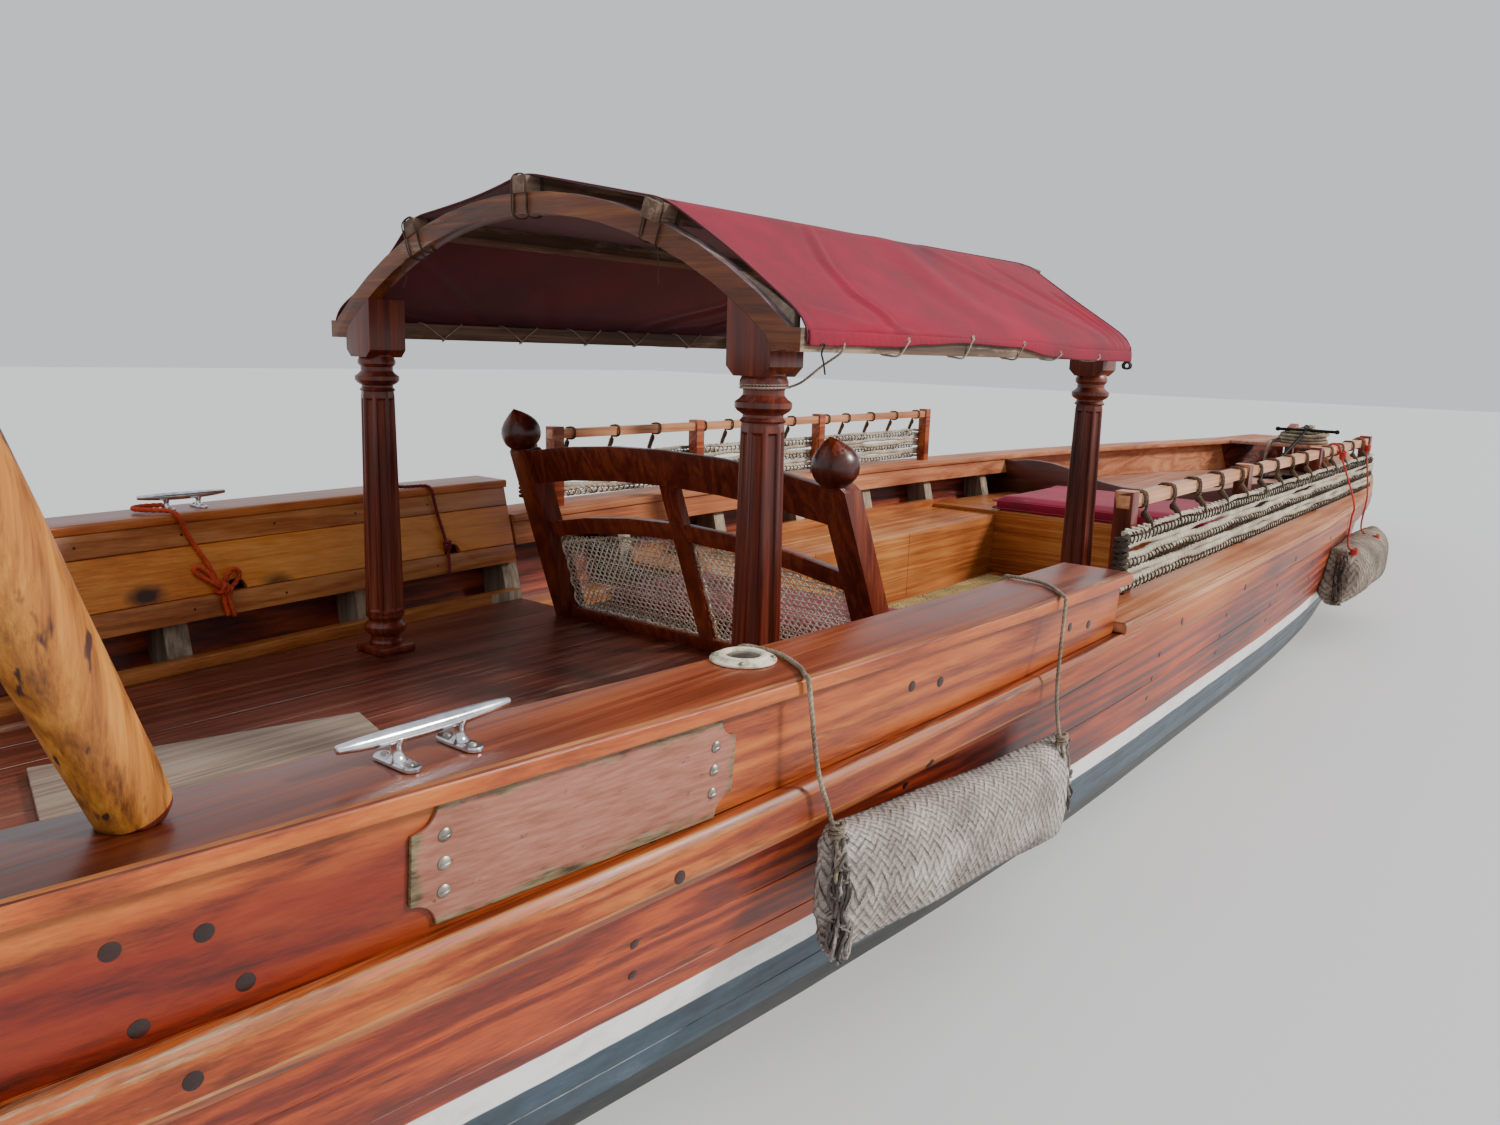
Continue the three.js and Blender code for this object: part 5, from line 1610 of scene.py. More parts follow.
    def lacing(self, name: str, side: int) -> Piece:
        """Cords in a V inside the eave beam, which pass under it to eyelets in the hem.

        Args:
            name: The side's name.
            side: PORT or STARBOARD.

        Returns:
            The cords and eyelets.
        """
        inner, outer = self.eave_in - 0.003, self.eave_out + self.clear + self.cloth_thick + 0.0045
        low = self.eave_low - 0.003
        loops = []
        for x in self.lace_xs:
            hem = self.hem_at(x + 0.05)
            out = [
                (x + 0.002, side * inner, low + 0.006), (x + 0.012, side * (inner + 0.018), low),
                (x + 0.026, side * (outer - 0.012), low + 0.001), (x + 0.042, side * outer, hem + 0.004),
                (x + 0.05, side * (outer + 0.001), hem + 0.012), (x + 0.053, side * (outer - 0.004), hem + 0.014),
            ]
            for lean in (-1, 1):
                leg = [
                    (x + lean * 0.085, side * (inner + 0.016), self.eave_high + 0.003),
                    (x + lean * 0.075, side * (inner + 0.002), self.eave_high),
                    (x + lean * 0.035, side * inner, self.eave_low + 0.026),
                ]
                loops.append(rope("lace", leg + out, self.lace, strands=0, spacing=0.006, sides=6))
            rows = [(0.003, 0), (0.0068, 0), (0.0068, 0.0012), (0.0045, 0.0018), (0.003, 0.0006)]
            at = (x + 0.052, side * (outer - 0.003), hem + 0.014)
            loops.append(turned("eyelet", rows, at, (0, side, 0), 14))
        return settled(coat(joined("canopy_lacing_" + name, loops), "lace"))

    def lashings(self) -> None:
        """Cords round each crossing of arch and purlin, some with a hanging end."""
        made = []
        size, reach = (self.purlin / 2, self.arch_half), (self.arch_deep, self.purlin - self.let_in - 0.003)
        cord = 0.0021
        for i, x in enumerate(self.arch_xs):
            for degrees in (self.purlin_angle, 0, -self.purlin_angle):
                angle = math.radians(degrees)
                out = Vector((0, math.sin(angle), math.cos(angle)))
                at = Vector((x, 0, self.centre)) + out * self.arch_radius
                along = Vector((0, math.cos(angle), -math.sin(angle)))
                made.append(lashing(at, along, out, size, reach, cord, 2))
                if i == 0 and degrees:
                    side = 1 if degrees > 0 else -1
                    start = at + along * 0.03 * side - out * 0.058
                    end = [start + Vector((x1, side * y1, z1)) for x1, y1, z1 in self.loose_end]
                    made.append(rope("end", end, cord, spacing=0.004, sides=8))
        settled(coat(joined("canopy_lashings", made), "brown_rope"))

    def stays(self) -> None:
        """The cord from the aft starboard post's neck to the hem, and loose ends at the hem's corners."""
        x, y = self.post_xs[0], -self.post_y
        out = -(self.eave_out + self.clear + 0.005)
        neck = ringed("neck", (x, y, 1.258), (0, 0, 1), (0.0535, 0.0535), 0.0032, 2, 0.0068)
        stay = rope("stay", [
            (x + 0.03, y - 0.045, 1.256), (x + 0.042, y - 0.075, 1.27), (x + 0.06, y - 0.115, 1.306),
            (x + 0.08, out - 0.001, 1.338), (x + 0.092, out, 1.36),
        ], 0.0032, spacing=0.005, sides=8)
        tail = rope("tail", [
            (-2.652, out, 1.353), (-2.636, out - 0.002, 1.354), (-2.645, out, 1.336), (-2.634, out + 0.002, 1.316),
            (-2.628, out, 1.288),
        ], 0.0024, spacing=0.004, sides=8)
        knot = ringed("knot", (-0.742, out + 0.008, 1.322), (1, 0, 0), (0.011, 0.012), 0.004, 3, 0.008)
        settled(coat(joined("canopy_stay", [neck, stay]), "lace"))
        settled(coat(joined("canopy_hem_ends", [tail, knot]), "twine"))

    def timbers(self) -> None:
        """Arches, wedges, purlins and eaves beams, each with its own tone."""
        obj = dressed("canopy_frame", "roof roof_along roof_along roof_top grey_board", 0.0045, angle=30)
        for face in obj.data.polygons:
            at = face.center
            across = Vector((0, at.y, at.z - self.centre))
            on_arch = min(abs(at.x - x) for x in self.arch_xs) < self.arch_half + 0.001
            if not on_arch or (abs(at.y) > self.half_span + 0.001 and at.z < self.eave_high + 0.004):
                face.material_index = 2
            elif across.length > self.arch_radius + 0.0015 and abs(at.y) > 0.69:
                face.material_index = 4
            elif across.normalized().dot(face.normal) > 0.6:
                face.material_index = 3

    def build(self) -> None:
        """Posts, roof timbers, cloth and cords."""
        for end, foot, x in zip(("aft", "forward"), self.post_feet, self.post_xs):
            for name, side in SIDES.items():
                self.post(f"post_{end}_{name}", x, side * self.post_y, foot)
        self.timbers()
        self.dress_cloth()
        self.lashings()
        self.stays()


@dataclass
class HelmBench:
    """The leaning backrest with its cane panels and onion balls."""

    foot_x: float = -1.9
    lean: float = 0.394
    post_top: float = 0.985
    post_y: Pair = (0.69, 0.645)
    # Radius and height of the ball's rows.
    ball_rows: tuple[Pair, ...] = (
        (0.03, -0.008), (0.0405, -0.005), (0.0385, 0.004), (0.044, 0.008), (0.053, 0.016), (0.0605, 0.027),
        (0.0645, 0.04), (0.066, 0.055), (0.0645, 0.069), (0.0595, 0.083), (0.051, 0.096), (0.04, 0.108),
        (0.028, 0.118), (0.017, 0.126), (0.009, 0.133), (0.003, 0.14), (0.0005, 0.1415),
    )
    ball_grow: float = 1.012
    sill_top: float = 0.384
    stile_half: float = 0.031
    cane_pitch: float = 0.0185
    # Thickness, length and width of a cane strand.
    strand: Point = (0.0018, 1.2, 0.0036)
    # Slope, number and depth of each layer of strands.
    layers: tuple[tuple[float, int, float], ...] = ((0, 50, 0.0), (52, 64, 0.0016), (-52, 64, -0.0016))
    cane_middle: float = 0.53
    cane_top: Pair = (0.66, 0.734)

    def lean_matrix(self) -> Matrix:
        """Leans an upright panel aft with height.

        Returns:
            The matrix.
        """
        lean = Matrix.Identity(4)
        lean[0][2] = -self.lean
        lean[0][3] = self.foot_x + self.lean * DECK_TOP
        return lean

    def balls(self) -> Piece:
        """Onion-shaped balls on the two posts.

        Returns:
            Both, as one piece.
        """
        rows = [(r * self.ball_grow, h) for r, h in self.ball_rows]
        x, axis = self.foot_x - self.lean * (self.post_top - DECK_TOP), (-self.lean, 0, 1)
        made = [turned("ball", rows, (x, side * self.post_y[1], self.post_top), axis, 40) for side in SIDES.values()]
        return joined("bench_balls", made)

    def strands(self, angle: float, count: int, depth: float) -> Piece:
        """A row of parallel cane strands in an upright panel across the boat.

        Args:
            angle: Their slope, in degrees.
            count: How many.
            depth: How far the row lies from the panel's middle plane.

        Returns:
            The row, centred on the panel's foot.
        """
        half = [size / 2 for size in self.strand]
        row = repeated(block("cane", [-size for size in half], half, 0), count, (0, 0, self.cane_pitch))
        middle = Matrix.Translation((depth, 0, -self.cane_pitch * (count - 1) / 2))
        return moved(row, Matrix.Rotation(math.radians(angle), 4, "X") @ middle)

    def panel(self, name: str, side: int) -> None:
        """One cane panel of crossing strands, bound in round its edge.

        Args:
            name: The side's name.
            side: PORT or STARBOARD.
        """
        weave = joined("cane", [self.strands(*layer) for layer in self.layers])
        inner, outer = self.stile_half - 0.006, self.post_y[0] - 0.036
        low, (outer_top, inner_top) = self.sill_top - 0.006, self.cane_top
        moved(weave, Matrix.Translation((0, (inner + outer) / 2, self.cane_middle)))
        slope = (inner_top - outer_top) / (0.6 - inner)
        trimmed(
            weave, ((0, inner, 0), (0, -1, 0)), ((0, outer, 0), (0, 1, 0.06)), ((0, 0, low), (0, 0, -1)),
            ((0, inner, inner_top + 0.006), (0, slope, 1)),
        )
        edge = [Vector(p) for p in (
            (0, inner + 0.016, low + 0.016), (0, outer - 0.02, low + 0.016), (0, outer - 0.045, outer_top - 0.02),
            (0, (inner + outer) / 2, outer_top + 0.035), (0, inner + 0.016, inner_top - 0.018),
        )]
        corners = []
        chance = random.Random(7)
        for start, end in zip(edge, edge[1:] + edge[:1]):
            steps = max(3, int((end - start).length / 0.03))
            for i in range(steps):
                to = (-1) ** i
                stray = Vector((0.004 * to, chance.uniform(-1, 1) * 0.0025, 0.002 * to))
                corners.append(start.lerp(end, i / steps) + stray)
        binding = rope("binding", corners, 0.004, closed=True, spacing=0.006, sides=8)
        whole = joined("cane_weave_" + name, [weave, binding])
        moved(whole, self.lean_matrix() @ Matrix.Diagonal((1, side, 1, 1)))
        if side == STARBOARD:
            with editing(whole):
                bpy.ops.mesh.flip_normals()
        settled(coat(whole, "cane"), "cane_panel_" + name)

    def build(self) -> None:
        """Frame, balls and panels."""
        dressed("helm_bench_frame", "dark_up", 0.006, angle=30)
        settled(coat(self.balls(), "dark"))
        for name, side in SIDES.items():
            self.panel(name, side)


@dataclass
class Cushions:
    """Crimson seat cushions and the rush mat in the footwell."""

    voxel: float = 0.009
    swell: float = 0.024
    inset: float = 0.012
    welt: float = 0.0042
    corner: float = 0.03
    swell_steps: int = 20
    mat_x: Pair = (-0.35, 1.35)
    mat_y: Pair = (-0.33, 0.57)
    sole_top: float = 0.045

    def cushion(self, node: str) -> None:
        """One crowned cushion, swollen from a slimmer pad, with a welt round both edges.

        Args:
            node: The CAD solid that it stands for.
        """
        low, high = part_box(node)
        inset = self.inset
        top = high.z - self.swell * 0.62
        pad = block("pad", (low.x + inset, low.y + inset, low.z + 0.004), (high.x - inset, high.y - inset, top), 0.014)
        finish_with(pad, "REMESH", mode="VOXEL", voxel_size=self.voxel)
        self.inflate(pad)
        for vertex in pad.data.vertices:
            vertex.co.z = max(vertex.co.z, low.z + 0.0005)
        smooth(finish_with(pad, "SMOOTH", factor=0.5, iterations=4))
        welts = []
        for z in (low.z + 0.014, high.z - self.swell * 0.95):
            line = self.welt_line(low, high, z)
            welts.append(rope("welt", line, self.welt, closed=True, strands=0, spacing=0.012, sides=8))
        whole = joined(node + "_soft", [pad, *welts])
        settled(coat(whole, "cushion"), node)

    def welt_line(self, low: Vector, high: Vector, z: float) -> list[Point]:
        """The line of a welt: round the corners, and pulled in between them.

        Args:
            low: The cushion's lowest corner.
            high: Its highest corner.
            z: Height of the welt.

        Returns:
            The line's points.
        """
        x0, x1, y0, y1 = low.x + 0.008, high.x - 0.008, low.y + 0.008, high.y - 0.008
        middle = Vector(((low.x + high.x) / 2, (low.y + high.y) / 2))
        ring: list[Pair] = []
        for x, y, sx, sy in ((x0, y0, 1, 1), (x1, y0, -1, 1), (x1, y1, -1, -1), (x0, y1, 1, -1)):
            dx, dy = sx * self.corner, sy * self.corner
            turn = [(x, y + dy), (x + dx * 0.3, y + dy * 0.3), (x + dx, y)]
            ring += turn if sx == sy else turn[::-1]
        points = []
        for a, b in zip(ring, ring[1:] + ring[:1]):
            steps = 8 if math.dist(a, b) > 0.2 else 1
            for i in range(steps):
                at = Vector(a).lerp(Vector(b), i / steps)
                at += (middle - at).normalized() * 0.006 * math.sin(math.pi * i / steps)
                points.append((at.x, at.y, z))
        return points

    def inflate(self, pad: Piece) -> None:
        """Swells the pad as stuffed cloth, with no point moved further than the swell.

        Args:
            pad: The slimmer pad.
        """
        rest = [v.co.copy() for v in pad.data.vertices]
        cloth = pad.modifiers.new("stuffing", "CLOTH")
        cloth.settings.use_pressure = True
        cloth.settings.uniform_pressure_force = 4
        cloth.settings.effector_weights.gravity = 0
        cloth.point_cache.frame_start, cloth.point_cache.frame_end = 1, self.swell_steps
        for step in range(1, self.swell_steps + 1):
            bpy.context.scene.frame_set(step)
        only(pad)
        bpy.ops.object.modifier_apply(modifier=cloth.name)
        bpy.context.scene.frame_set(1)
        for vertex, start in zip(pad.data.vertices, rest):
            step = vertex.co - start
            if step.length > self.swell:
                vertex.co = start + step * (self.swell / step.length)

    def crown(self, pad: Piece, low: Vector, high: Vector) -> None:
        """A quick crown, for drafts.

        Args:
            pad: The slimmer pad.
            low: The cushion's lowest corner.
            high: Its highest corner.
        """
        for vertex in pad.data.vertices:
            u, v = ((vertex.co[i] - low[i]) / (high[i] - low[i]) for i in (0, 1))
            rise = (math.sin(math.pi * max(0, min(1, u))) * math.sin(math.pi * max(0, min(1, v)))) ** 0.4
            if vertex.co.z > (low.z + high.z) / 2:
                vertex.co.z += self.swell * 0.6 * rise

    def mat(self) -> None:
        """A plaited mat laid on the sole, with bound ends."""
        obj = plaited("mat", (170, 90), self.mat_point, 0.018, 0.0016)
        finish_with(obj, "SOLIDIFY", thickness=0.004, offset=-1)
        settled(coat(obj, "straw"), "rush_mat")

    def mat_point(self, u: float, v: float) -> Vector:
        """A point of the mat's top.

        Args:
            u: Share of its length.
            v: Share of its width.

        Returns:
            The point.
        """
        x = self.mat_x[0] + (self.mat_x[1] - self.mat_x[0]) * u
        y = self.mat_y[0] + (self.mat_y[1] - self.mat_y[0]) * v
        lift = 0.0012 * math.sin(7 * u + 2) * math.sin(5 * v + 1)
        return Vector((x, y + 0.004 * math.sin(9 * u), self.sole_top + 0.0065 + lift))

    def build(self) -> None:
        """Both cushions and the mat."""
        self.cushion("helm_cushion")
        self.cushion("forward_cushion")
        self.mat()


def plait_height(a: float, b: float) -> float:
    """Height of a twilled plait.

    Args:
        a: Place along one diagonal, in strip widths.
        b: Place along the other.

    Returns:
        The height, from 0 to 1.
    """
    over = (math.floor(a) + math.floor(b)) % 4 < 2
    fa, fb = a - math.floor(a), b - math.floor(b)
    across, along = (fb, fa) if over else (fa, fb)
    return math.sin(math.pi * across) ** 0.5 * (0.75 + 0.25 * math.sin(math.pi * along))


def plaited(
    name: str, steps: tuple[int, int], point: Callable[[float, float], Vector], strip: float, depth: float,
    closed: bool = False,
) -> Piece:
    """A surface of plaited strips, as a grid whose points rise and fall with the plait.

    Args:
        name: Its name.
        steps: Faces along and across.
        point: Place of the surface for shares u along and v across.
        strip: Width of a strip.
        depth: Height of the plait.
        closed: Whether it closes round across.

    Returns:
        The piece, with its plait's height as the attribute "relief".
    """
    obj = grid(name, *steps)
    length = length_of([point(i / 20, 0.25) for i in range(21)])
    width = length_of([point(0.5, i / 20) for i in range(21)])
    rows = max(4, round(width / strip / 4 / 1.414) * 4) if closed else width / strip / 1.414
    columns = rows * length / width
    heights = []
    step = 0.002
    for vertex in obj.data.vertices:
        u, v = (vertex.co.x + 1) / 2, (vertex.co.y + 1) / 2
        rise = plait_height(u * columns + v * rows, u * columns - v * rows)
        along = point(min(1, u + step), v) - point(max(0, u - step), v)
        normal = along.cross(point(u, v + step) - point(u, v - step))
        normal = normal.normalized() if normal.length > 1e-9 else Vector((0, 0, 1))
        vertex.co = point(u, v) + normal * depth * (rise - 1)
        heights.append(rise)
    obj.data.attributes.new("relief", "FLOAT", "POINT").data.foreach_set("value", heights)
    if closed:
        with editing(obj, "VERT"):
            bpy.ops.mesh.remove_doubles(threshold=1e-4)
    return smooth(obj)


@dataclass
class Rail:
    """A rail on posts, with a rope net hung outside it."""

    name: str
    start: float
    end: float
    top: float
    post_xs: tuple[float, ...]
    post_finish: str
    y: float = 1.195
    square: float = 0.038
    out: float = 0.044
    net_top: float = 0.868
    tail: float = 0.1
    pitch: float = 0.265
    knot_pitch: float = 0.033
    edge_pitch: float = 0.024
    # Distance below the net's top and radius of each rope, then those of the rows of ties.
    ropes: tuple[Pair, ...] = (
        (0.008, 0.0085), (0.028, 0.0105), (0.052, 0.0128), (0.0765, 0.0128), (0.0995, 0.0105), (0.123, 0.0128),
        (0.1475, 0.0128), (0.167, 0.0085),
    )
    ties: tuple[float, ...] = (0.026, 0.0995, 0.164)

    @property
    def side(self) -> int:
        """PORT or STARBOARD."""
        return SIDES[self.name]

    def cables(self) -> Piece:
        """The net's pale ropes: thick ones in pairs of opposite lay, and thinner ones between them.

        Returns:
            The ropes.
        """
        chance = random.Random(11 + self.side)
        made = []
        y = self.side * (self.y + self.out)
        start, end = self.start - self.tail, self.end - 0.03
        for i, (drop, radius) in enumerate(self.ropes):
            z = self.net_top - drop
            count = int((end - start) / 0.085)
            points = []
            for j in range(count + 1):
                x = start + (end - start) * j / count + chance.uniform(-0.004, 0.004)
                slack = 0.005 * math.sin(x * 9 + self.side) + 0.0025 * math.sin(x * 23) - 0.004 * math.sin(i)
                points.append((x, y + self.side * chance.uniform(-0.002, 0.002), z + slack))
            cable = rope("cable", points, radius, spacing=0.0125)
            if i % 3 == 2:
                for vertex in cable.data.vertices:
                    vertex.co.z = 2 * z - vertex.co.z
                with editing(cable):
                    bpy.ops.mesh.flip_normals()
            made.append(cable)
        return coat(joined("net_cables_" + self.name, made), "net")

    def knots(self) -> Piece:
        """Dark cords tied round the thin ropes, a few modelled and the rest copied, and the net's edges.

        Returns:
            The cords.
        """
        side, low = self.side, self.start - self.tail
        y = side * (self.y + self.out)
        reach_x = self.end - low
        made = []
        for row, drop in enumerate(self.ties):
            for lean in (-0.004, 0.005):
                reach = 0.0135 + 0.002 * (row == 0)
                shape = [
                    (lean, side * 0.008, reach), (lean * 0.3, side * 0.0135, reach * 0.5),
                    (-lean * 0.5, side * 0.0135, -reach * 0.5), (-lean, side * 0.008, -reach),
                    (-lean, -side * 0.011, -reach * 0.6), (lean, -side * 0.011, reach * 0.6),
                ]
                one = rope("tie", shape, 0.0026, closed=True, strands=0, spacing=0.011, sides=5)
                shift = row * 0.011 + (self.knot_pitch if lean > 0 else 0)
                moved(one, Matrix.Translation((low + 0.02 + shift, y, self.net_top - drop)))
                count = int((reach_x - 0.08) / self.knot_pitch / 2)
                made.append(coat(repeated(one, count, (2 * self.knot_pitch, 0, 0)), "twine"))
        for drop in (0.0, self.ties[-1] + 0.008):
            z = self.net_top - drop - 0.005
            points = [
                (low + 0.01 + i * self.edge_pitch, y + side * 0.006 * (-1) ** i, z + 0.006 * (i % 2))
                for i in range(int((reach_x - 0.06) / self.edge_pitch))
            ]
            made.append(coat(rope("edge", points, 0.0034, strands=0, spacing=0.012, sides=6), "net"))
        bunch = ringed("bunch", (low - 0.004, y, self.net_top - 0.088), (0, 0.02, 1), (0.013, 0.017), 0.008, 9, 0.0165)
        return joined("net_cords_" + self.name, [*made, coat(bunch, "twine")])

    def drops(self) -> Piece:
        """Served ropes from the rail to the net, with two turns round the rail.

        Returns:
            The ropes.
        """
        made = []
        wide = self.square / 2 + 0.005
        z, net = self.top - self.square / 2, self.net_top
        far = self.out / wide
        # Each turning point's place along the boat, and out and up in half widths from the rail's middle.
        turns = (
            (-0.009, 0, 1), (-0.008, 1, 0.7), (-0.006, 1, -0.7), (-0.004, 0, -1), (-0.002, -1, -0.7), (0, -1, 0.7),
            (0.003, 0, 1), (0.005, 1, 0.7), (0.004, 1 + 0.004 / wide, -1), (0, far * 0.4, -0.05 / wide),
            (-0.002, far, (net + 0.012 - z) / wide), (-0.004, far + 0.012 / wide, (net - 0.02 - z) / wide),
        )
        for i in range(int((self.end - self.start - 0.2) / self.pitch) + 1):
            x = self.start + 0.12 + i * self.pitch
            if any(abs(post - x) < 0.045 for post in self.post_xs):
                x += 0.06
            line = [(x + along, self.side * (self.y + out * wide), z + up * wide) for along, out, up in turns]
            made.append(rope("drop", line, 0.0052, spacing=0.007, sides=8))
            served = [
                (x, self.side * (self.y + self.out * 0.5), z - 0.035),
                (x - 0.002, self.side * (self.y + self.out), net + 0.005),
            ]
            made.append(rope("served", served, 0.0105, strands=6, spacing=0.006, sides=18))
        return coat(joined("net_drops_" + self.name, made), "brown_rope")

    def build(self) -> None:
        """Rail, cables, cords and drops."""
        rail = dressed("rail_" + self.name, "rail cap_edge " + self.post_finish, 0.004)
        toned(rail, 2, lambda face: face.center.z < self.top - self.square - 0.004)
        settled(self.cables(), "net_" + self.name)
        settled(self.knots())
        settled(self.drops())


@dataclass
class Fittings:
    """Mooring cleats, the filler flange and the blank plate."""

    cleats: tuple[tuple[str, float, float], ...] = (("starboard", -3.818, -1.114), ("port", -3.07, 1.191))
    # Radius and height of each turned part's rows; the horn's are of one half, in shares of its length.
    horn_rows: tuple[Pair, ...] = (
        (0.0035, 1), (0.0056, 0.99), (0.0064, 0.965), (0.009, 0.76), (0.0112, 0.45), (0.0121, 0.14)
    )
    leg_rows: tuple[Pair, ...] = (
        (0.0155, 0.007), (0.0118, 0.0092), (0.0086, 0.0145), (0.0078, 0.022), (0.0088, 0.028), (0.0112, 0.0325),
        (0.012, 0.038),
    )
    foot_rows: tuple[Pair, ...] = ((0.0118, 0.0004), (0.0132, 0.0018), (0.013, 0.0054), (0.0112, 0.0076))
    ring_rows: tuple[Pair, ...] = (
        (0.0585, 0.0004), (0.0602, 0.0018), (0.06, 0.0042), (0.0572, 0.0062), (0.05, 0.0078), (0.0462, 0.0098),
        (0.0445, 0.0122), (0.042, 0.0131), (0.036, 0.0131), (0.0336, 0.012), (0.0324, 0.0095), (0.032, 0.0045),
        (0.004, 0.0042),
    )
    lid_rows: tuple[Pair, ...] = (
        (0.0312, 0.003), (0.0312, 0.0066), (0.0298, 0.0078), (0.024, 0.0081), (0.022, 0.0068), (0.004, 0.0068)
    )
    horn_half: float = 0.135
    horn_rise: float = 0.04
    legs_apart: float = 0.049
    base_out: float = 0.031
    base_screw: float = 0.028
    screw_rise: float = 0.0068
    pipe: Point = (-3.172, -1.132, CAP_TOP)
    pipe_screws: tuple[float, ...] = (35, 125, 215, 305)
    rim: float = 0.0525
    plate_x: Pair = (-3.895, -3.325)
    plate_z: Pair = (0.592, 0.764)
    plate_y: float = -1.24
    scoop: float = 0.036
    screw_in: float = 0.046

    def cleat(self, name: str, x: float, y: float) -> None:
        """One cast cleat: a long tapered horn on two flared legs with oval feet.

        Args:
            name: Its side.
            x: Its middle along the boat.
            y: Its middle across the boat.
        """
        end = self.horn_half
        rows = [(r, -end * share) for r, share in self.horn_rows]
        rows += [(r, end * share) for r, share in reversed(self.horn_rows)]
        horn = turned("horn", rows, (0, 0, self.horn_rise), (1, 0, 0), 24)
        for vertex in horn.data.vertices:
            vertex.co.z += 0.003 * (vertex.co.x / end) ** 2
        pieces, screws = [horn], []
        for apart in (-self.legs_apart, self.legs_apart):
            pieces.append(turned("leg", self.leg_rows, (apart, 0, 0), sides=24))
            foot = turned("foot", self.foot_rows)
            for vertex in foot.data.vertices:
                if abs(vertex.co.y) > 1e-5:
                    vertex.co.y += math.copysign(self.base_out, vertex.co.y)
                vertex.co.x += apart
            pieces.append(foot)
            for out in (-self.base_screw, self.base_screw):
                screws.append(moved(screw_head(0.0058), Matrix.Translation((apart, out, self.screw_rise))))
        cast = coat(joined("cast", pieces), "alloy")
        whole = joined(f"cleat_{name}_cast", [cast, *screws])
        settled(moved(whole, Matrix.Translation((x, y, CAP_TOP))), "cleat_" + name)

    def flange(self) -> None:
        """The filler's moulded flange, with its sunk lid and four screws."""
        ring = coat(turned("ring", self.ring_rows, self.pipe, sides=72), "plastic")
        lid = coat(turned("lid", self.lid_rows, self.pipe, sides=48), "screw")
        screws = []
        for degrees in self.pipe_screws:
            angle = math.radians(degrees)
            away = Vector((self.rim * math.cos(angle), self.rim * math.sin(angle), self.screw_rise))
            place = Matrix.Translation(Vector(self.pipe) + away) @ Matrix.Rotation(angle * 3, 4, "Z")
            screws.append(moved(screw_head(0.0052), place))
        settled(joined("deck_pipe_flange", [ring, lid, *screws]), "deck_pipe")

    def plate(self) -> None:
        """The blank plate with scooped corners, and three screws at each end."""
        obj = shape_of("name_plate", "name_plate_painted")
        for x in self.plate_x:
            for z in self.plate_z:
                bite = turned("bite", [(self.scoop, -0.2), (self.scoop, 0.2)], (x, self.plate_y, z), (0, 1, 0), 48)
                finish_with(obj, "BOOLEAN", object=bite, operation="DIFFERENCE", solver="EXACT")
                bpy.data.objects.remove(bite)
        settled(ease(coat(obj, "plate"), 0.0018, 2, 40), "name_plate")
        (left, right), (low, high) = self.plate_x, self.plate_z
        inset = self.screw_in
        rows = (low + inset, (low + high) / 2, high - inset)
        lines = [((x, -3.0, z), (0, 1, 0)) for x in (left + inset, right - inset) for z in rows]
        settled(studs("name_plate_screws", screw_head(0.0095), obj, lines))

    def build(self) -> None:
        """All of them."""
        for cleat in self.cleats:
            self.cleat(*cleat)
        self.flange()
        self.plate()


class Wall:
    """How far out a side stands: sounded on a coarse grid of places, and read between them."""

    def __init__(self, on: Piece, x: Pair, z: Pair, side: int) -> None:
        """Sounds the side with lines from outside.

        Args:
            on: The piece that is sounded.
            x: Lowest and highest place along the boat.
            z: Lowest and highest place up the side.
            side: PORT or STARBOARD.
        """
        self.x, self.z, self.steps = x, z, (24, 12)
        self.rows: list[list[float]] = []
        for i in range(self.steps[0] + 1):
            row = []
            for j in range(self.steps[1] + 1):
                at = (x[0] + (x[1] - x[0]) * i / self.steps[0], side * 3.0, z[0] + (z[1] - z[0]) * j / self.steps[1])
                hit, point, _, _ = on.ray_cast(Vector(at), Vector((0, -side, 0)))
                row.append(point.y if hit else 0.0)
            self.rows.append(row)

    def at(self, x: float, z: float) -> float:
        """How far out the side stands at a place.

        Args:
            x: Place along the boat.
            z: Place up the side.

        Returns:
            The side's y.
        """
        spots = []
        for value, (low, high), steps in ((x, self.x, self.steps[0]), (z, self.z, self.steps[1])):
            spot = max(0.0, min(steps - 0.001, (value - low) / (high - low) * steps))
            spots.append((int(spot), spot - int(spot)))
        (a, s), (b, t) = spots
        near, far = self.rows[a], self.rows[a + 1]
        return (near[b] * (1 - t) + near[b + 1] * t) * (1 - s) + (far[b] * (1 - t) + far[b + 1] * t) * s


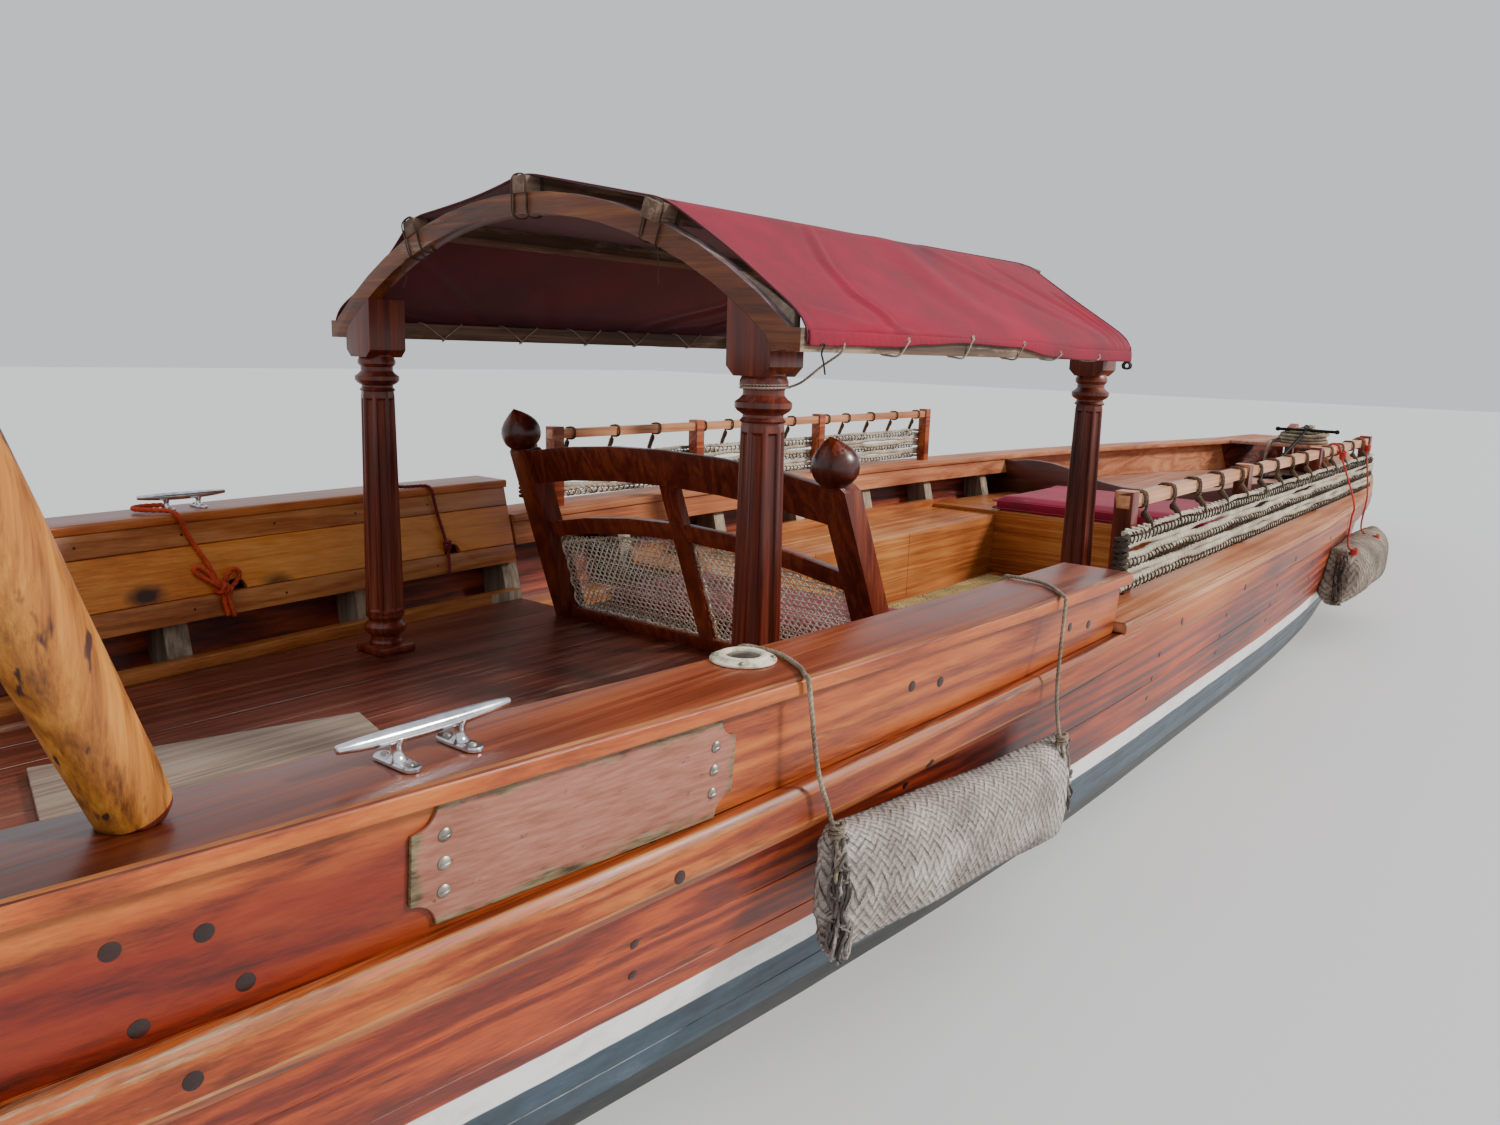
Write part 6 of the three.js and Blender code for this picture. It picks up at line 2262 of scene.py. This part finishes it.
@dataclass
class Sack:
    """A plaited sack stuffed with fibre, pressed against the side, its ends gathered and frayed."""

    node: str
    start: Point
    end: Point
    across: float
    up: float
    steps: tuple[int, int]
    strip: float
    seed: int
    finish: str = "palm"
    # Share along the skin, place along the sack, share of the thickness, share of the height.
    profile: tuple[tuple[float, float, float, float], ...] = (
        (0, 0.012, 0.04, 1.04), (0.02, 0.001, 0.3, 1.12), (0.045, 0.006, 0.52, 1.13), (0.1, 0.06, 0.8, 1.08),
        (0.3, 0.28, 1, 1), (0.7, 0.72, 1, 1), (0.9, 0.94, 0.78, 1.08), (0.955, 0.992, 0.46, 1.13),
        (0.98, 0.999, 0.26, 1.12), (1, 0.99, 0.04, 1.04),
    )
    frayed: tuple[int, int] = (84, 22)
    wall: Wall | None = None

    def share(self, u: float) -> Point:
        """Place along the sack and shares of its thickness and height.

        Args:
            u: Share along its skin.

        Returns:
            The three of them.
        """
        for low, high in zip(self.profile, self.profile[1:]):
            if u <= high[0]:
                t = (u - low[0]) / (high[0] - low[0])
                return tuple(a + (b - a) * t for a, b in zip(low[1:], high[1:]))
        return self.profile[-1][1:]

    def point(self, u: float, v: float) -> Vector:
        """A place on the skin.

        Args:
            u: Share along it.
            v: Share round it.

        Returns:
            The place.
        """
        s, thick, tall = self.share(u)
        angle = 2 * math.pi * v
        c, n = math.cos(angle), math.sin(angle)
        gather = max(0.0, 1 - min(u, 1 - u) / 0.07)
        lump = 1 + 0.035 * math.sin(9 * u + self.seed) * math.sin(angle * 2 + 4 * u)
        pleat = 1 + 0.14 * gather * math.sin(angle * 13)
        y = self.across * thick * math.copysign(abs(c) ** 0.8, c) * lump * pleat
        z = self.up * tall * math.copysign(abs(n) ** 0.8, n) * (1 + 0.02 * math.sin(13 * u + self.seed))
        place = Vector(self.start).lerp(Vector(self.end), s) + Vector((0.006 * gather * math.sin(angle * 7), y, z))
        place.y = min(place.y, self.wall.at(place.x, place.z) - 0.003)
        return place

    def frays(self) -> Piece:
        """Loose strips along the gathered ends.

        Returns:
            The strips.
        """
        chance = random.Random(self.seed)
        made = []
        for tip, way, count in zip((self.start, self.end), (-1, 1), self.frayed):
            for _ in range(count):
                rise = chance.uniform(-0.95, 0.98) * self.up
                at = Vector(tip) + Vector((chance.uniform(-0.012, 0.02) * -way, 0, rise))
                at.y = min(at.y, self.wall.at(at.x, at.z) - 0.004) + chance.uniform(-0.034, 0.0) - 0.008
                droop = chance.uniform(0.03, 0.075) * (1 if chance.random() < 0.75 else -0.7)
                sway = [chance.uniform(-1, 1) for _ in range(4)]
                points = [at + Vector(step) for step in (
                    (-way * 0.012, 0.004, 0.004), (way * 0.006, -0.006 * sway[0], -droop * 0.3),
                    (way * (0.01 + 0.008 * sway[1]), 0.006 * sway[2], -droop * 0.7),
                    (way * (0.008 + 0.012 * sway[3]), -0.008 * sway[1], -droop),
                )]
                for point in points:
                    point.y = min(point.y, self.wall.at(point.x, point.z) - 0.004)
                    point.z = max(point.z, self.start[2] - self.up * 1.06)
                made.append(rope("fray", points, chance.uniform(0.0022, 0.0042), strands=0, spacing=0.011, sides=5))
        for piece in made:
            relief = piece.data.attributes.new("relief", "FLOAT", "POINT")
            relief.data.foreach_set("value", [chance.uniform(0.1, 0.8)] * len(piece.data.vertices))
        return coat(joined(self.node + "_frays", made), self.finish)

    def build(self) -> None:
        """The sack, against the planking, and its frayed ends."""
        (x0, x1), (z0, z1) = (sorted((self.start[i], self.end[i])) for i in (0, 2))
        reach = self.up * 1.3
        side = bpy.data.objects["planking_starboard_work"]
        self.wall = Wall(side, (x0 - 0.1, x1 + 0.1), (z0 - reach, z1 + reach), STARBOARD)
        obj = plaited(self.node + "_plait", self.steps, self.point, self.strip, 0.0034, True)
        with editing(obj, "VERT"):
            bpy.ops.mesh.fill_holes(sides=0)
            bpy.ops.mesh.normals_make_consistent(inside=False)
        settled(coat(smooth(obj), self.finish), self.node)
        settled(self.frays())


@dataclass
class Fenders:
    """Two plaited sacks on the starboard side, and the ropes that hold them."""

    aft: Sack = field(default_factory=lambda: Sack(
        "fender_aft", (-3.108, -1.295, 0.388), (-2.212, -1.345, 0.328), 0.068, 0.112, (340, 216), 0.0128, 3
    ))
    forward: Sack = field(default_factory=lambda: Sack(
        "fender_forward", (1.24, -1.308, 0.333), (2.104, -1.322, 0.357), 0.118, 0.125, (190, 130), 0.021, 5,
        "brown_palm",
    ))
    cord: float = 0.0048
    runs: dict[str, tuple[Point, ...]] = field(default_factory=lambda: {
        "aft": (
            (-3.118, -1.0725, 0.69), (-3.118, -1.0745, 0.785), (-3.117, -1.087, 0.8035), (-3.106, -1.12, 0.8035),
            (-3.112, -1.17, 0.8035), (-3.15, -1.238, 0.8035), (-3.186, -1.2775, 0.802), (-3.187, -1.286, 0.79),
            (-3.158, -1.291, 0.636), (-3.132, -1.298, 0.56), (-3.122, -1.312, 0.5),
        ),
        "middle": (
            (-2.135, -1.131, 0.69), (-2.135, -1.138, 0.79), (-2.135, -1.16, 0.8035), (-2.155, -1.255, 0.8035),
            (-2.252, -1.343, 0.8025), (-2.26, -1.3525, 0.79), (-2.278, -1.357, 0.69), (-2.29, -1.362, 0.58),
            (-2.275, -1.366, 0.5), (-2.268, -1.374, 0.455),
        ),
    })
    # How a cord runs on through the plait, from its end.
    stitch: tuple[Point, ...] = (
        (0, 0, 0), (-0.006, -0.008, -0.02), (0.012, -0.004, -0.045), (-0.01, -0.01, -0.07), (0.01, -0.004, -0.1)
    )
    hanger_xs: tuple[Pair, ...] = ((1.447, 1.27), (2.111, 1.86))
    sounded: tuple[float, ...] = (0.5, 0.54, 0.58, 0.62, 0.64, 0.66, 0.675, 0.69)

    def cords(self) -> None:
        """The near sack's two cords, each with turns where it passes through the plait."""
        up = (0, 0, 1)
        for name, run in self.runs.items():
            end = Vector(run[-1])
            through = [end + Vector(step) for step in self.stitch[:5 if name == "aft" else 3]]
            pieces = [
                rope("cord", run, self.cord, spacing=0.0045, sides=10),
                ringed("knot", end + Vector((0, -0.001, 0.012)), up, (0.0115, 0.0115), 0.0042, 3, 0.0082),
                rope("stitch", through, 0.0042, spacing=0.005, sides=8),
                ringed("inner_knot", run[0], up, (0.006, 0.006), 0.0042, 3, 0.0082),
            ]
            settled(coat(joined("fender_cord_" + name, pieces), "rope"), "fender_rope_" + name)

    def hangers(self) -> None:
        """The forward sack's two red ropes, knotted round the rail and to the sack."""
        made = []
        for x, foot in self.hanger_xs:
            over = foot + (x - foot) * 0.25
            out = -(self.wall_at(over) + 0.008)
            run = [
                (x, -1.226, 0.93), (x - 0.01, -1.238, 0.9), (over, out, 0.7), (over - 0.01, out - 0.001, 0.62),
                (foot, out - 0.006, 0.5), (foot, -1.372, 0.458),
            ]
            made.append(rope("hanger", run, 0.005, spacing=0.006, sides=10))
            made.append(ringed("turns", (x, -1.195, 0.936), (1, 0, 0), (0.0285, 0.0285), 0.0062, 2, 0.0128))
            made.append(ringed("knot", (x, -1.24, 0.912), (0, 0, 1), (0.012, 0.012), 0.006, 3, 0.011))
            made.append(ringed("knot", (foot, -1.374, 0.464), (0, 0, 1), (0.013, 0.013), 0.006, 3, 0.011))
        settled(coat(joined("fender_hangers", made), "red_rope"))

    def wall_at(self, x: float) -> float:
        """How far out the gunwale stands.

        Args:
            x: Place along the boat.

        Returns:
            The distance from the middle of the boat.
        """
        widest = 0.0
        for node in ("wale_starboard", "gunwale_cap_starboard"):
            for z in self.sounded:
                hit, point, _, _ = bpy.data.objects[node + "_work"].ray_cast(Vector((x, -3, z)), Vector((0, 1, 0)))
                widest = max(widest, -point.y if hit else 0.0)
        return widest

    def build(self) -> None:
        """Both sacks and their ropes."""
        self.aft.build()
        self.forward.build()
        self.cords()
        self.hangers()


@dataclass
class PoleRest:
    """Two raked peeled poles on the caps, with a bar lashed across them."""

    foot: Point = (-4.155, 1.04, 0.7985)
    lean: Point = (-0.39, 0.16, 1.0)
    tall: float = 1.42
    rings: int = 52
    radius: float = 0.042
    bar_at: float = 1.27
    bar_half: float = 1.42
    bar_rings: int = 80
    bar_off: float = 0.084
    knots: tuple[float, ...] = (0.21, 0.52, 0.83, 1.12)

    def stick(self, name: str, rows: Sequence[Pair], foot: Sequence[float], along: Vector, seed: float) -> Piece:
        """A peeled round timber: turned, then made uneven with swellings at its knots.

        Args:
            name: Its name.
            rows: Radius and distance from its foot.
            foot: Where it starts.
            along: Its direction.
            seed: Which of its uneven shapes.

        Returns:
            The piece.
        """
        obj = turned(name, rows, foot, along, 28)
        start = Vector(foot)
        side = along.orthogonal().normalized()
        up = along.cross(side)
        for vertex in obj.data.vertices:
            away = vertex.co - start
            s = away.dot(along)
            ring = away - along * s
            if ring.length < 1e-4 or s < 0.03:
                continue
            angle = math.atan2(ring.dot(up), ring.dot(side))
            rough = 0.018 * math.sin(2 * angle + 5 * s + seed) + 0.01 * math.sin(3 * angle - 17 * s + 2 * seed)
            rough += 0.006 * math.sin(7 * angle + 41 * s)
            for i, knot in enumerate(self.knots):
                beside = (s - knot - 0.04 * math.sin(seed)) / 0.02
                rough += 0.06 * math.exp(-beside * beside) * max(0.0, math.cos(angle - 2.1 * i - seed)) ** 3
            vertex.co += ring * rough
        obj.data.update()
        return obj

    def pole(self, name: str, foot: Vector, along: Vector, seed: float) -> None:
        """One pole, thickest a little above its dark foot.

        Args:
            name: Its side.
            foot: Its foot.
            along: Its direction.
            seed: Which of its uneven shapes.
        """
        rows = [(0.034, 0.0), (0.0405, 0.009), (0.042, 0.016)]
        for i in range(1, self.rings + 1):
            s = self.tall * i / self.rings
            radius = self.radius + 0.008 * min(1, s / 0.45) - 0.004 * max(0, (s - 0.45) / 0.97)
            rows.append((radius, s if i < self.rings else s - 0.004))
        rows += [(0.043, self.tall), (0.03, self.tall + 0.001)]
        pole = coat(self.stick(f"pole_{name}_peeled", rows, foot, along, seed), "pole", "dark_up")
        toned(pole, 1, lambda face: (face.center - foot).dot(along) < 0.02)
        trimmed(pole, ((0, 0, CAP_TOP + 0.0005), (0, 0, -1)))
        settled(pole, "pole_" + name)

    def build(self) -> None:
        """Poles, bar and lashings."""
        ahead = Vector((1, 0, -self.lean[0])).normalized()
        half, r, last = self.bar_half, self.radius, self.bar_rings
        lashes = []
        for (name, side), seed in zip(SIDES.items(), (0.4, 2.6)):
            mirror = Matrix.Diagonal((1, side, 1))
            foot, along = mirror @ Vector(self.foot), mirror @ Vector(self.lean).normalized()
            self.pole(name, foot, along, seed)
            at = foot + along * self.bar_at + ahead * 0.0425
            lashes.append(lashing(at, along, ahead, (r + 0.001, 0.0485), (0.0905, 0.084), 0.0068, 4))
        middle = foot + along * self.bar_at + ahead * self.bar_off
        rows = [(r * 0.8, 0), (r * 0.97, 0.006)] + [(r, 2 * half * i / last) for i in range(1, last)]
        rows += [(r * 0.97, 2 * half - 0.006), (r * 0.8, 2 * half)]
        bar = self.stick("pole_bar", rows, (middle.x, -half, middle.z), Vector((0, 1, 0)), 1.3)
        whole = joined("pole_bar_lashed", [coat(bar, "pole_across"), *(coat(one, "net") for one in lashes)])
        settled(whole, "pole_bar")


@dataclass
class Anchor:
    """The anchor on the foredeck, and its rope heaped on the bow platform."""

    crown: Point = (4.76, -0.12, 0.4605)
    head: Point = (5.452, -0.255, 0.812)
    stock: tuple[Point, Point] = ((5.44, -0.505, 0.812), (5.44, -0.015, 0.812))
    tips: tuple[Point, Point] = ((4.9, 0.09, 0.4605), (4.9, -0.33, 0.4605))
    # Radius and distance from the end of one half of the stock.
    stock_rows: tuple[Pair, ...] = (
        (0.004, 0), (0.014, 0.005), (0.0185, 0.016), (0.0185, 0.024), (0.013, 0.034), (0.0125, 0.05)
    )
    heap: Pair = (5.54, -0.215)
    platform: Pair = (0.6984, 0.064)
    deck: float = 0.445
    cord: float = 0.0128
    pitch: float = 0.0282
    rise: float = 0.0266
    per_turn: int = 18
    spacing: float = 0.011
    # Inner and outer radius of each layer, from the lowest.
    layers: tuple[Pair, ...] = ((0.07, 0.195), (0.07, 0.192), (0.066, 0.182), (0.066, 0.142))
    # Where the rope leaves the heap: over the platform's edge, then on the foredeck.
    over_edge: tuple[Point, ...] = (
        (5.45, -0.018, 0.003), (5.37, -0.014, 0), (5.325, -0.01, -0.003), (5.3, -0.006, -0.025), (5.288, 0, -0.08),
        (5.28, 0.006, -0.15),
    )
    on_deck: tuple[Point, ...] = (
        (5.262, 0.014, 0.035), (5.225, 0.024, 0.004), (5.16, 0.04, 0), (5.08, 0.075, 0), (5.04, 0.14, 0),
        (5.07, 0.21, 0), (5.14, 0.25, 0), (5.22, 0.24, 0),
    )

    def arm(self, tip: Point) -> list[Piece]:
        """One curved arm with its palm.

        Args:
            tip: Its tip.

        Returns:
            Arm and palm.
        """
        crown, end = Vector(self.crown), Vector(tip)
        run = end - crown
        bow = Vector((-run.y, run.x, 0)).normalized() * (0.02 if run.y < 0 else -0.02)
        line = [crown, crown.lerp(end, 0.5) + bow, end]
        palm = block("palm", (-0.055, -0.042, -0.004), (0.055, 0.042, 0.004), 0)
        for vertex in palm.data.vertices:
            if vertex.co.x > 0:
                vertex.co.y *= 0.25
                vertex.co.x += 0.012
        spin = Matrix.Rotation(math.atan2(run.y, run.x), 4, "Z")
        place = Matrix.Translation(end - run * 0.16 + Vector((0, 0, 0.017)))
        return [
            rope("arm", line, 0.0145, strands=0, spacing=0.02, sides=14), moved(ease(palm, 0.0022, 2), place @ spin)
        ]

    def iron(self) -> None:
        """Shank, stock, arms with their palms, and the ring."""
        crown, head = Vector(self.crown), Vector(self.head)
        reach = (head - crown).length
        rows = [
            (0.012, -0.012), (0.0175, -0.004), (0.0185, 0.02), (0.0155, 0.07), (0.0128, reach - 0.06),
            (0.0165, reach - 0.045), (0.0165, reach + 0.004), (0.01, reach + 0.012),
        ]
        pieces = [turned("shank", rows, crown, head - crown, 20)]
        start, end = (Vector(p) for p in self.stock)
        length = (end - start).length
        rows = [*self.stock_rows, (0.0135, length / 2), *((r, length - s) for r, s in reversed(self.stock_rows))]
        pieces.append(turned("stock", rows, start, end - start, 20))
        for tip in self.tips:
            pieces += self.arm(tip)
        along = (head - crown).normalized() * 0.028
        middle, across = head + along * 0.02 / 0.028 + Vector((0, 0.004, 0.008)), Vector((0, 0.0196, 0.0196))
        turns = [2 * math.pi * i / 14 for i in range(14)]
        ring = [middle + along * math.cos(angle) + across * math.sin(angle) for angle in turns]
        pieces.append(rope("ring", ring, 0.0052, closed=True, strands=0, spacing=0.008, sides=10))
        settled(coat(joined("anchor_forged", pieces), "iron"), "anchor")

    def on_heap(self, radius: float, angle: float, level: float) -> Vector:
        """A place on the heap.

        Args:
            radius: Its distance from the heap's middle.
            angle: Its angle.
            level: Its layer.

        Returns:
            The place.
        """
        x = self.heap[0] + radius * math.cos(angle)
        y = self.heap[1] + radius * math.sin(angle)
        base = self.platform[0] + self.platform[1] * max(0.0, x - 5.4)
        return Vector((x, y, base + self.cord + 0.0008 + level * self.rise))

    def heaped(self) -> list[Vector]:
        """The rope's turning points from the ring down through the layers of its heap.

        Returns:
            The points.
        """
        points = [
            Vector(self.head) + Vector((0.03, -0.006, 0.02)), self.on_heap(0.1, -0.18 * math.pi, 4.1),
            self.on_heap(0.135, -0.02 * math.pi, 3.95),
        ]
        angle = 0.05 * math.pi
        inward = True
        top = len(self.layers) - 1
        for level in range(top, -1, -1):
            inner, outer = self.layers[level]
            turns = (outer - inner) / self.pitch
            if level == 0:
                last = math.pi / 2 - (angle + 2 * math.pi * turns)
                turns += (last % (2 * math.pi)) / (2 * math.pi) - 1
            count = round(turns * self.per_turn)
            start, end = (outer, inner) if inward else (inner, outer)
            for i in range(3 if level < top else 1, count + 1):
                share = i / count
                points.append(self.on_heap(start + (end - start) * share, angle + 2 * math.pi * turns * share, level))
            angle += 2 * math.pi * turns
            inward = not inward
        return points

    def warp(self) -> None:
        """The anchor's rope: its heap, then over the platform's edge to the foredeck."""
        deck = self.deck + self.cord + 0.0008
        points = self.heaped()
        for run, level in ((self.over_edge, self.platform[0] + self.cord + 0.001), (self.on_deck, deck)):
            points += [Vector((x, y, level + z)) for x, y, z in run]
        path = smooth_path(points, self.spacing)
        obj = rope("anchor_warp", points, self.cord, spacing=self.spacing)
        end, axis = (5.213, 0.2412, deck), (0.99, -0.12, 0)
        whipping = ringed("anchor_warp_whipping", end, axis, (0.0136, 0.0136), 0.0016, 6, 0.0031, strands=0)
        settled(coat(obj, "rope"), "anchor_rope")
        settled(coat(whipping, "twine"))
        tuple(path[0])
        round(length_of(path), 2)
        [tuple(p) for p in path]

    def build(self) -> None:
        """Anchor and rope."""
        self.iron()
        self.warp()


@dataclass
class Steering:
    """The hung rudder with its iron straps, and the tiller."""

    rake: float = 0.1405
    seams: Pair = (-6.52, -6.68)
    front: float = -6.372
    strap_zs: Point = (-0.42, 0.02, 0.43)
    strap_half: float = 0.022
    strap_x: Pair = (0.3, 0.03)
    bolt_xs: Point = (0.08, 0.17, 0.26)
    proud: float = 0.0035

    def strap(self, z: float) -> list[Piece]:
        """One strap round the rudder, with bolts through both its sides.

        Args:
            z: Its height.

        Returns:
            Strap and bolts.
        """
        reach = self.front - self.rake * z
        back, front = (reach - x for x in self.strap_x)
        band = trimmed(
            shape_of("rudder", "strap"), ((0, 0, z + self.strap_half), (0, 0, 1)),
            ((0, 0, z - self.strap_half), (0, 0, -1)), ((back, 0, 0), (-1, 0, 0)), ((front, 0, 0), (1, 0, 0)),
        )
        for vertex in band.data.vertices:
            vertex.co.y += math.copysign(self.proud, vertex.co.y)
        made = [coat(ease(band, 0.0015, 2), "iron")]
        for side in SIDES.values():
            lines = [((reach - x, side * 0.4, z), (0, -side, 0)) for x in self.bolt_xs]
            bolt = turned("bolt", [(0.0095, -0.002), (0.0095, 0.002), (0.007, 0.005), (0.002, 0.0064)], sides=14)
            made.append(studs("bolts", coat(bolt, "iron"), band, lines))
        return made

    def build(self) -> None:
        """Rudder, straps and tiller."""
        seams = [Seam((1, 0, self.rake), self.seams, (0, side, 0), 0.005, 0.003) for side in SIDES.values()]
        dressed("rudder", "topside", 0.005, seams, body=STEERING)
        dressed("tiller", "roof_along", 0.006, body=STEERING)
        straps = [piece for z in self.strap_zs for piece in self.strap(z)]
        settled(joined("rudder_straps", straps), body=STEERING)


@dataclass
class Painters:
    """Two loose ropes inside the port bulwark: orange from the cleat, dark red beside the second drain."""

    orange: float = 0.008
    red: float = 0.0068
    orange_run: tuple[Point, ...] = (
        (-3.131, 1.191, 0.8135), (-3.16, 1.213, 0.8118), (-3.196, 1.212, 0.8112), (-3.22, 1.186, 0.811),
        (-3.212, 1.15, 0.811), (-3.188, 1.118, 0.811), (-3.165, 1.094, 0.8105), (-3.148, 1.077, 0.804),
        (-3.137, 1.0665, 0.786), (-3.124, 1.068, 0.75), (-3.108, 1.066, 0.715), (-3.088, 1.058, 0.675),
        (-3.07, 1.05, 0.638), (-3.056, 1.041, 0.6), (-3.044, 1.033, 0.566),
    )
    orange_bow: tuple[Point, ...] = (
        (-3.04, 1.022, 0.562), (-3.075, 1.034, 0.59), (-3.112, 1.044, 0.618), (-3.11, 1.047, 0.638),
        (-3.08, 1.042, 0.62), (-3.045, 1.024, 0.572), (-3.022, 1.034, 0.6), (-2.996, 1.04, 0.618),
        (-2.98, 1.038, 0.6), (-2.998, 1.03, 0.574), (-3.03, 1.021, 0.556),
    )
    orange_ends: tuple[tuple[Point, ...], ...] = (
        ((-3.042, 1.024, 0.556), (-3.04, 1.02, 0.52), (-3.034, 1.013, 0.478)),
        ((-3.034, 1.024, 0.556), (-3.024, 1.018, 0.515), (-3.016, 1.011, 0.474)),
    )
    red_run: tuple[Point, ...] = (
        (-2.31, 1.172, 0.8078), (-2.284, 1.166, 0.8052), (-2.25, 1.162, 0.8047), (-2.216, 1.155, 0.8047),
        (-2.198, 1.146, 0.802), (-2.189, 1.1355, 0.787), (-2.184, 1.132, 0.755), (-2.176, 1.122, 0.7),
        (-2.166, 1.108, 0.64), (-2.157, 1.094, 0.585),
    )
    red_end: tuple[Point, ...] = ((-2.157, 1.092, 0.582), (-2.16, 1.08, 0.53), (-2.168, 1.067, 0.478))
    staple: tuple[Point, ...] = (
        (-2.318, 1.16, 0.797), (-2.318, 1.162, 0.812), (-2.316, 1.172, 0.819), (-2.314, 1.182, 0.812),
        (-2.314, 1.184, 0.797),
    )

    def cord(self, name: str, run: Sequence[Point], radius: float, finish: str, knot: Sequence[Piece]) -> None:
        """One rope with the knot at its end.

        Args:
            name: Its name.
            run: Its turning points, from where it is made fast.
            radius: Its radius.
            finish: Field name of its finish.
            knot: The knot's turns, and what hangs from it.
        """
        tied = joined(name + "_knot", knot)
        spacing = radius * 0.8
        path = smooth_path(run, spacing)
        obj = settled(coat(rope(name, run, radius, spacing=spacing, sides=10), finish))
        settled(coat(tied, finish))
        tuple(path[0])
        round(length_of(path), 2)
        [tuple(p) for p in path]

    def build(self) -> None:
        """Both ropes, and the staple of the second."""
        r = self.orange
        pieces = [rope("bow", self.orange_bow, r, closed=True, spacing=0.0055, sides=10)]
        pieces += [rope("end", run, r, spacing=0.0055, sides=10) for run in self.orange_ends]
        pieces.append(ringed("turns", (-3.038, 1.0265, 0.561), (0.8, 0.1, -0.6), (0.016, 0.0155), r, 3, 0.0125))
        self.cord("orange_painter", self.orange_run, r, "orange_rope", pieces)
        r = self.red
        tail = rope("tail", self.red_end, r, spacing=0.005, sides=10)
        knot = ringed("turns", (-2.157, 1.0915, 0.58), (0.1, 0.25, 1), (0.011, 0.011), r, 3, 0.0105)
        self.cord("dark_red_painter", self.red_run, r, "dark_red_rope", [knot, tail])
        staple = rope("cap_staple", self.staple, 0.0036, strands=0, spacing=0.004, sides=10)
        settled(coat(staple, "iron"))


def main() -> None:
    """Builds the boat in order."""
    logging.basicConfig(level=logging.INFO, format="%(message)s")
    parts = [
        Studio(), Hull(), Decks(), Canopy(), HelmBench(), Cushions(),
        Rail("port", -1.56, 1.62, 0.985, (-1.53, -0.627, 0.404, 1.59), "wale"),
        Rail("starboard", -1.49, 2.33, 0.955, (-1.462, -0.2, 1.05, 2.3), "dark_up"),
        Fittings(), Fenders(), PoleRest(), Anchor(), Steering(), Painters(),
    ]
    for part in parts:
        log.info("%s", type(part).__name__)
        part.build()


if __name__ == "__main__":
    main()
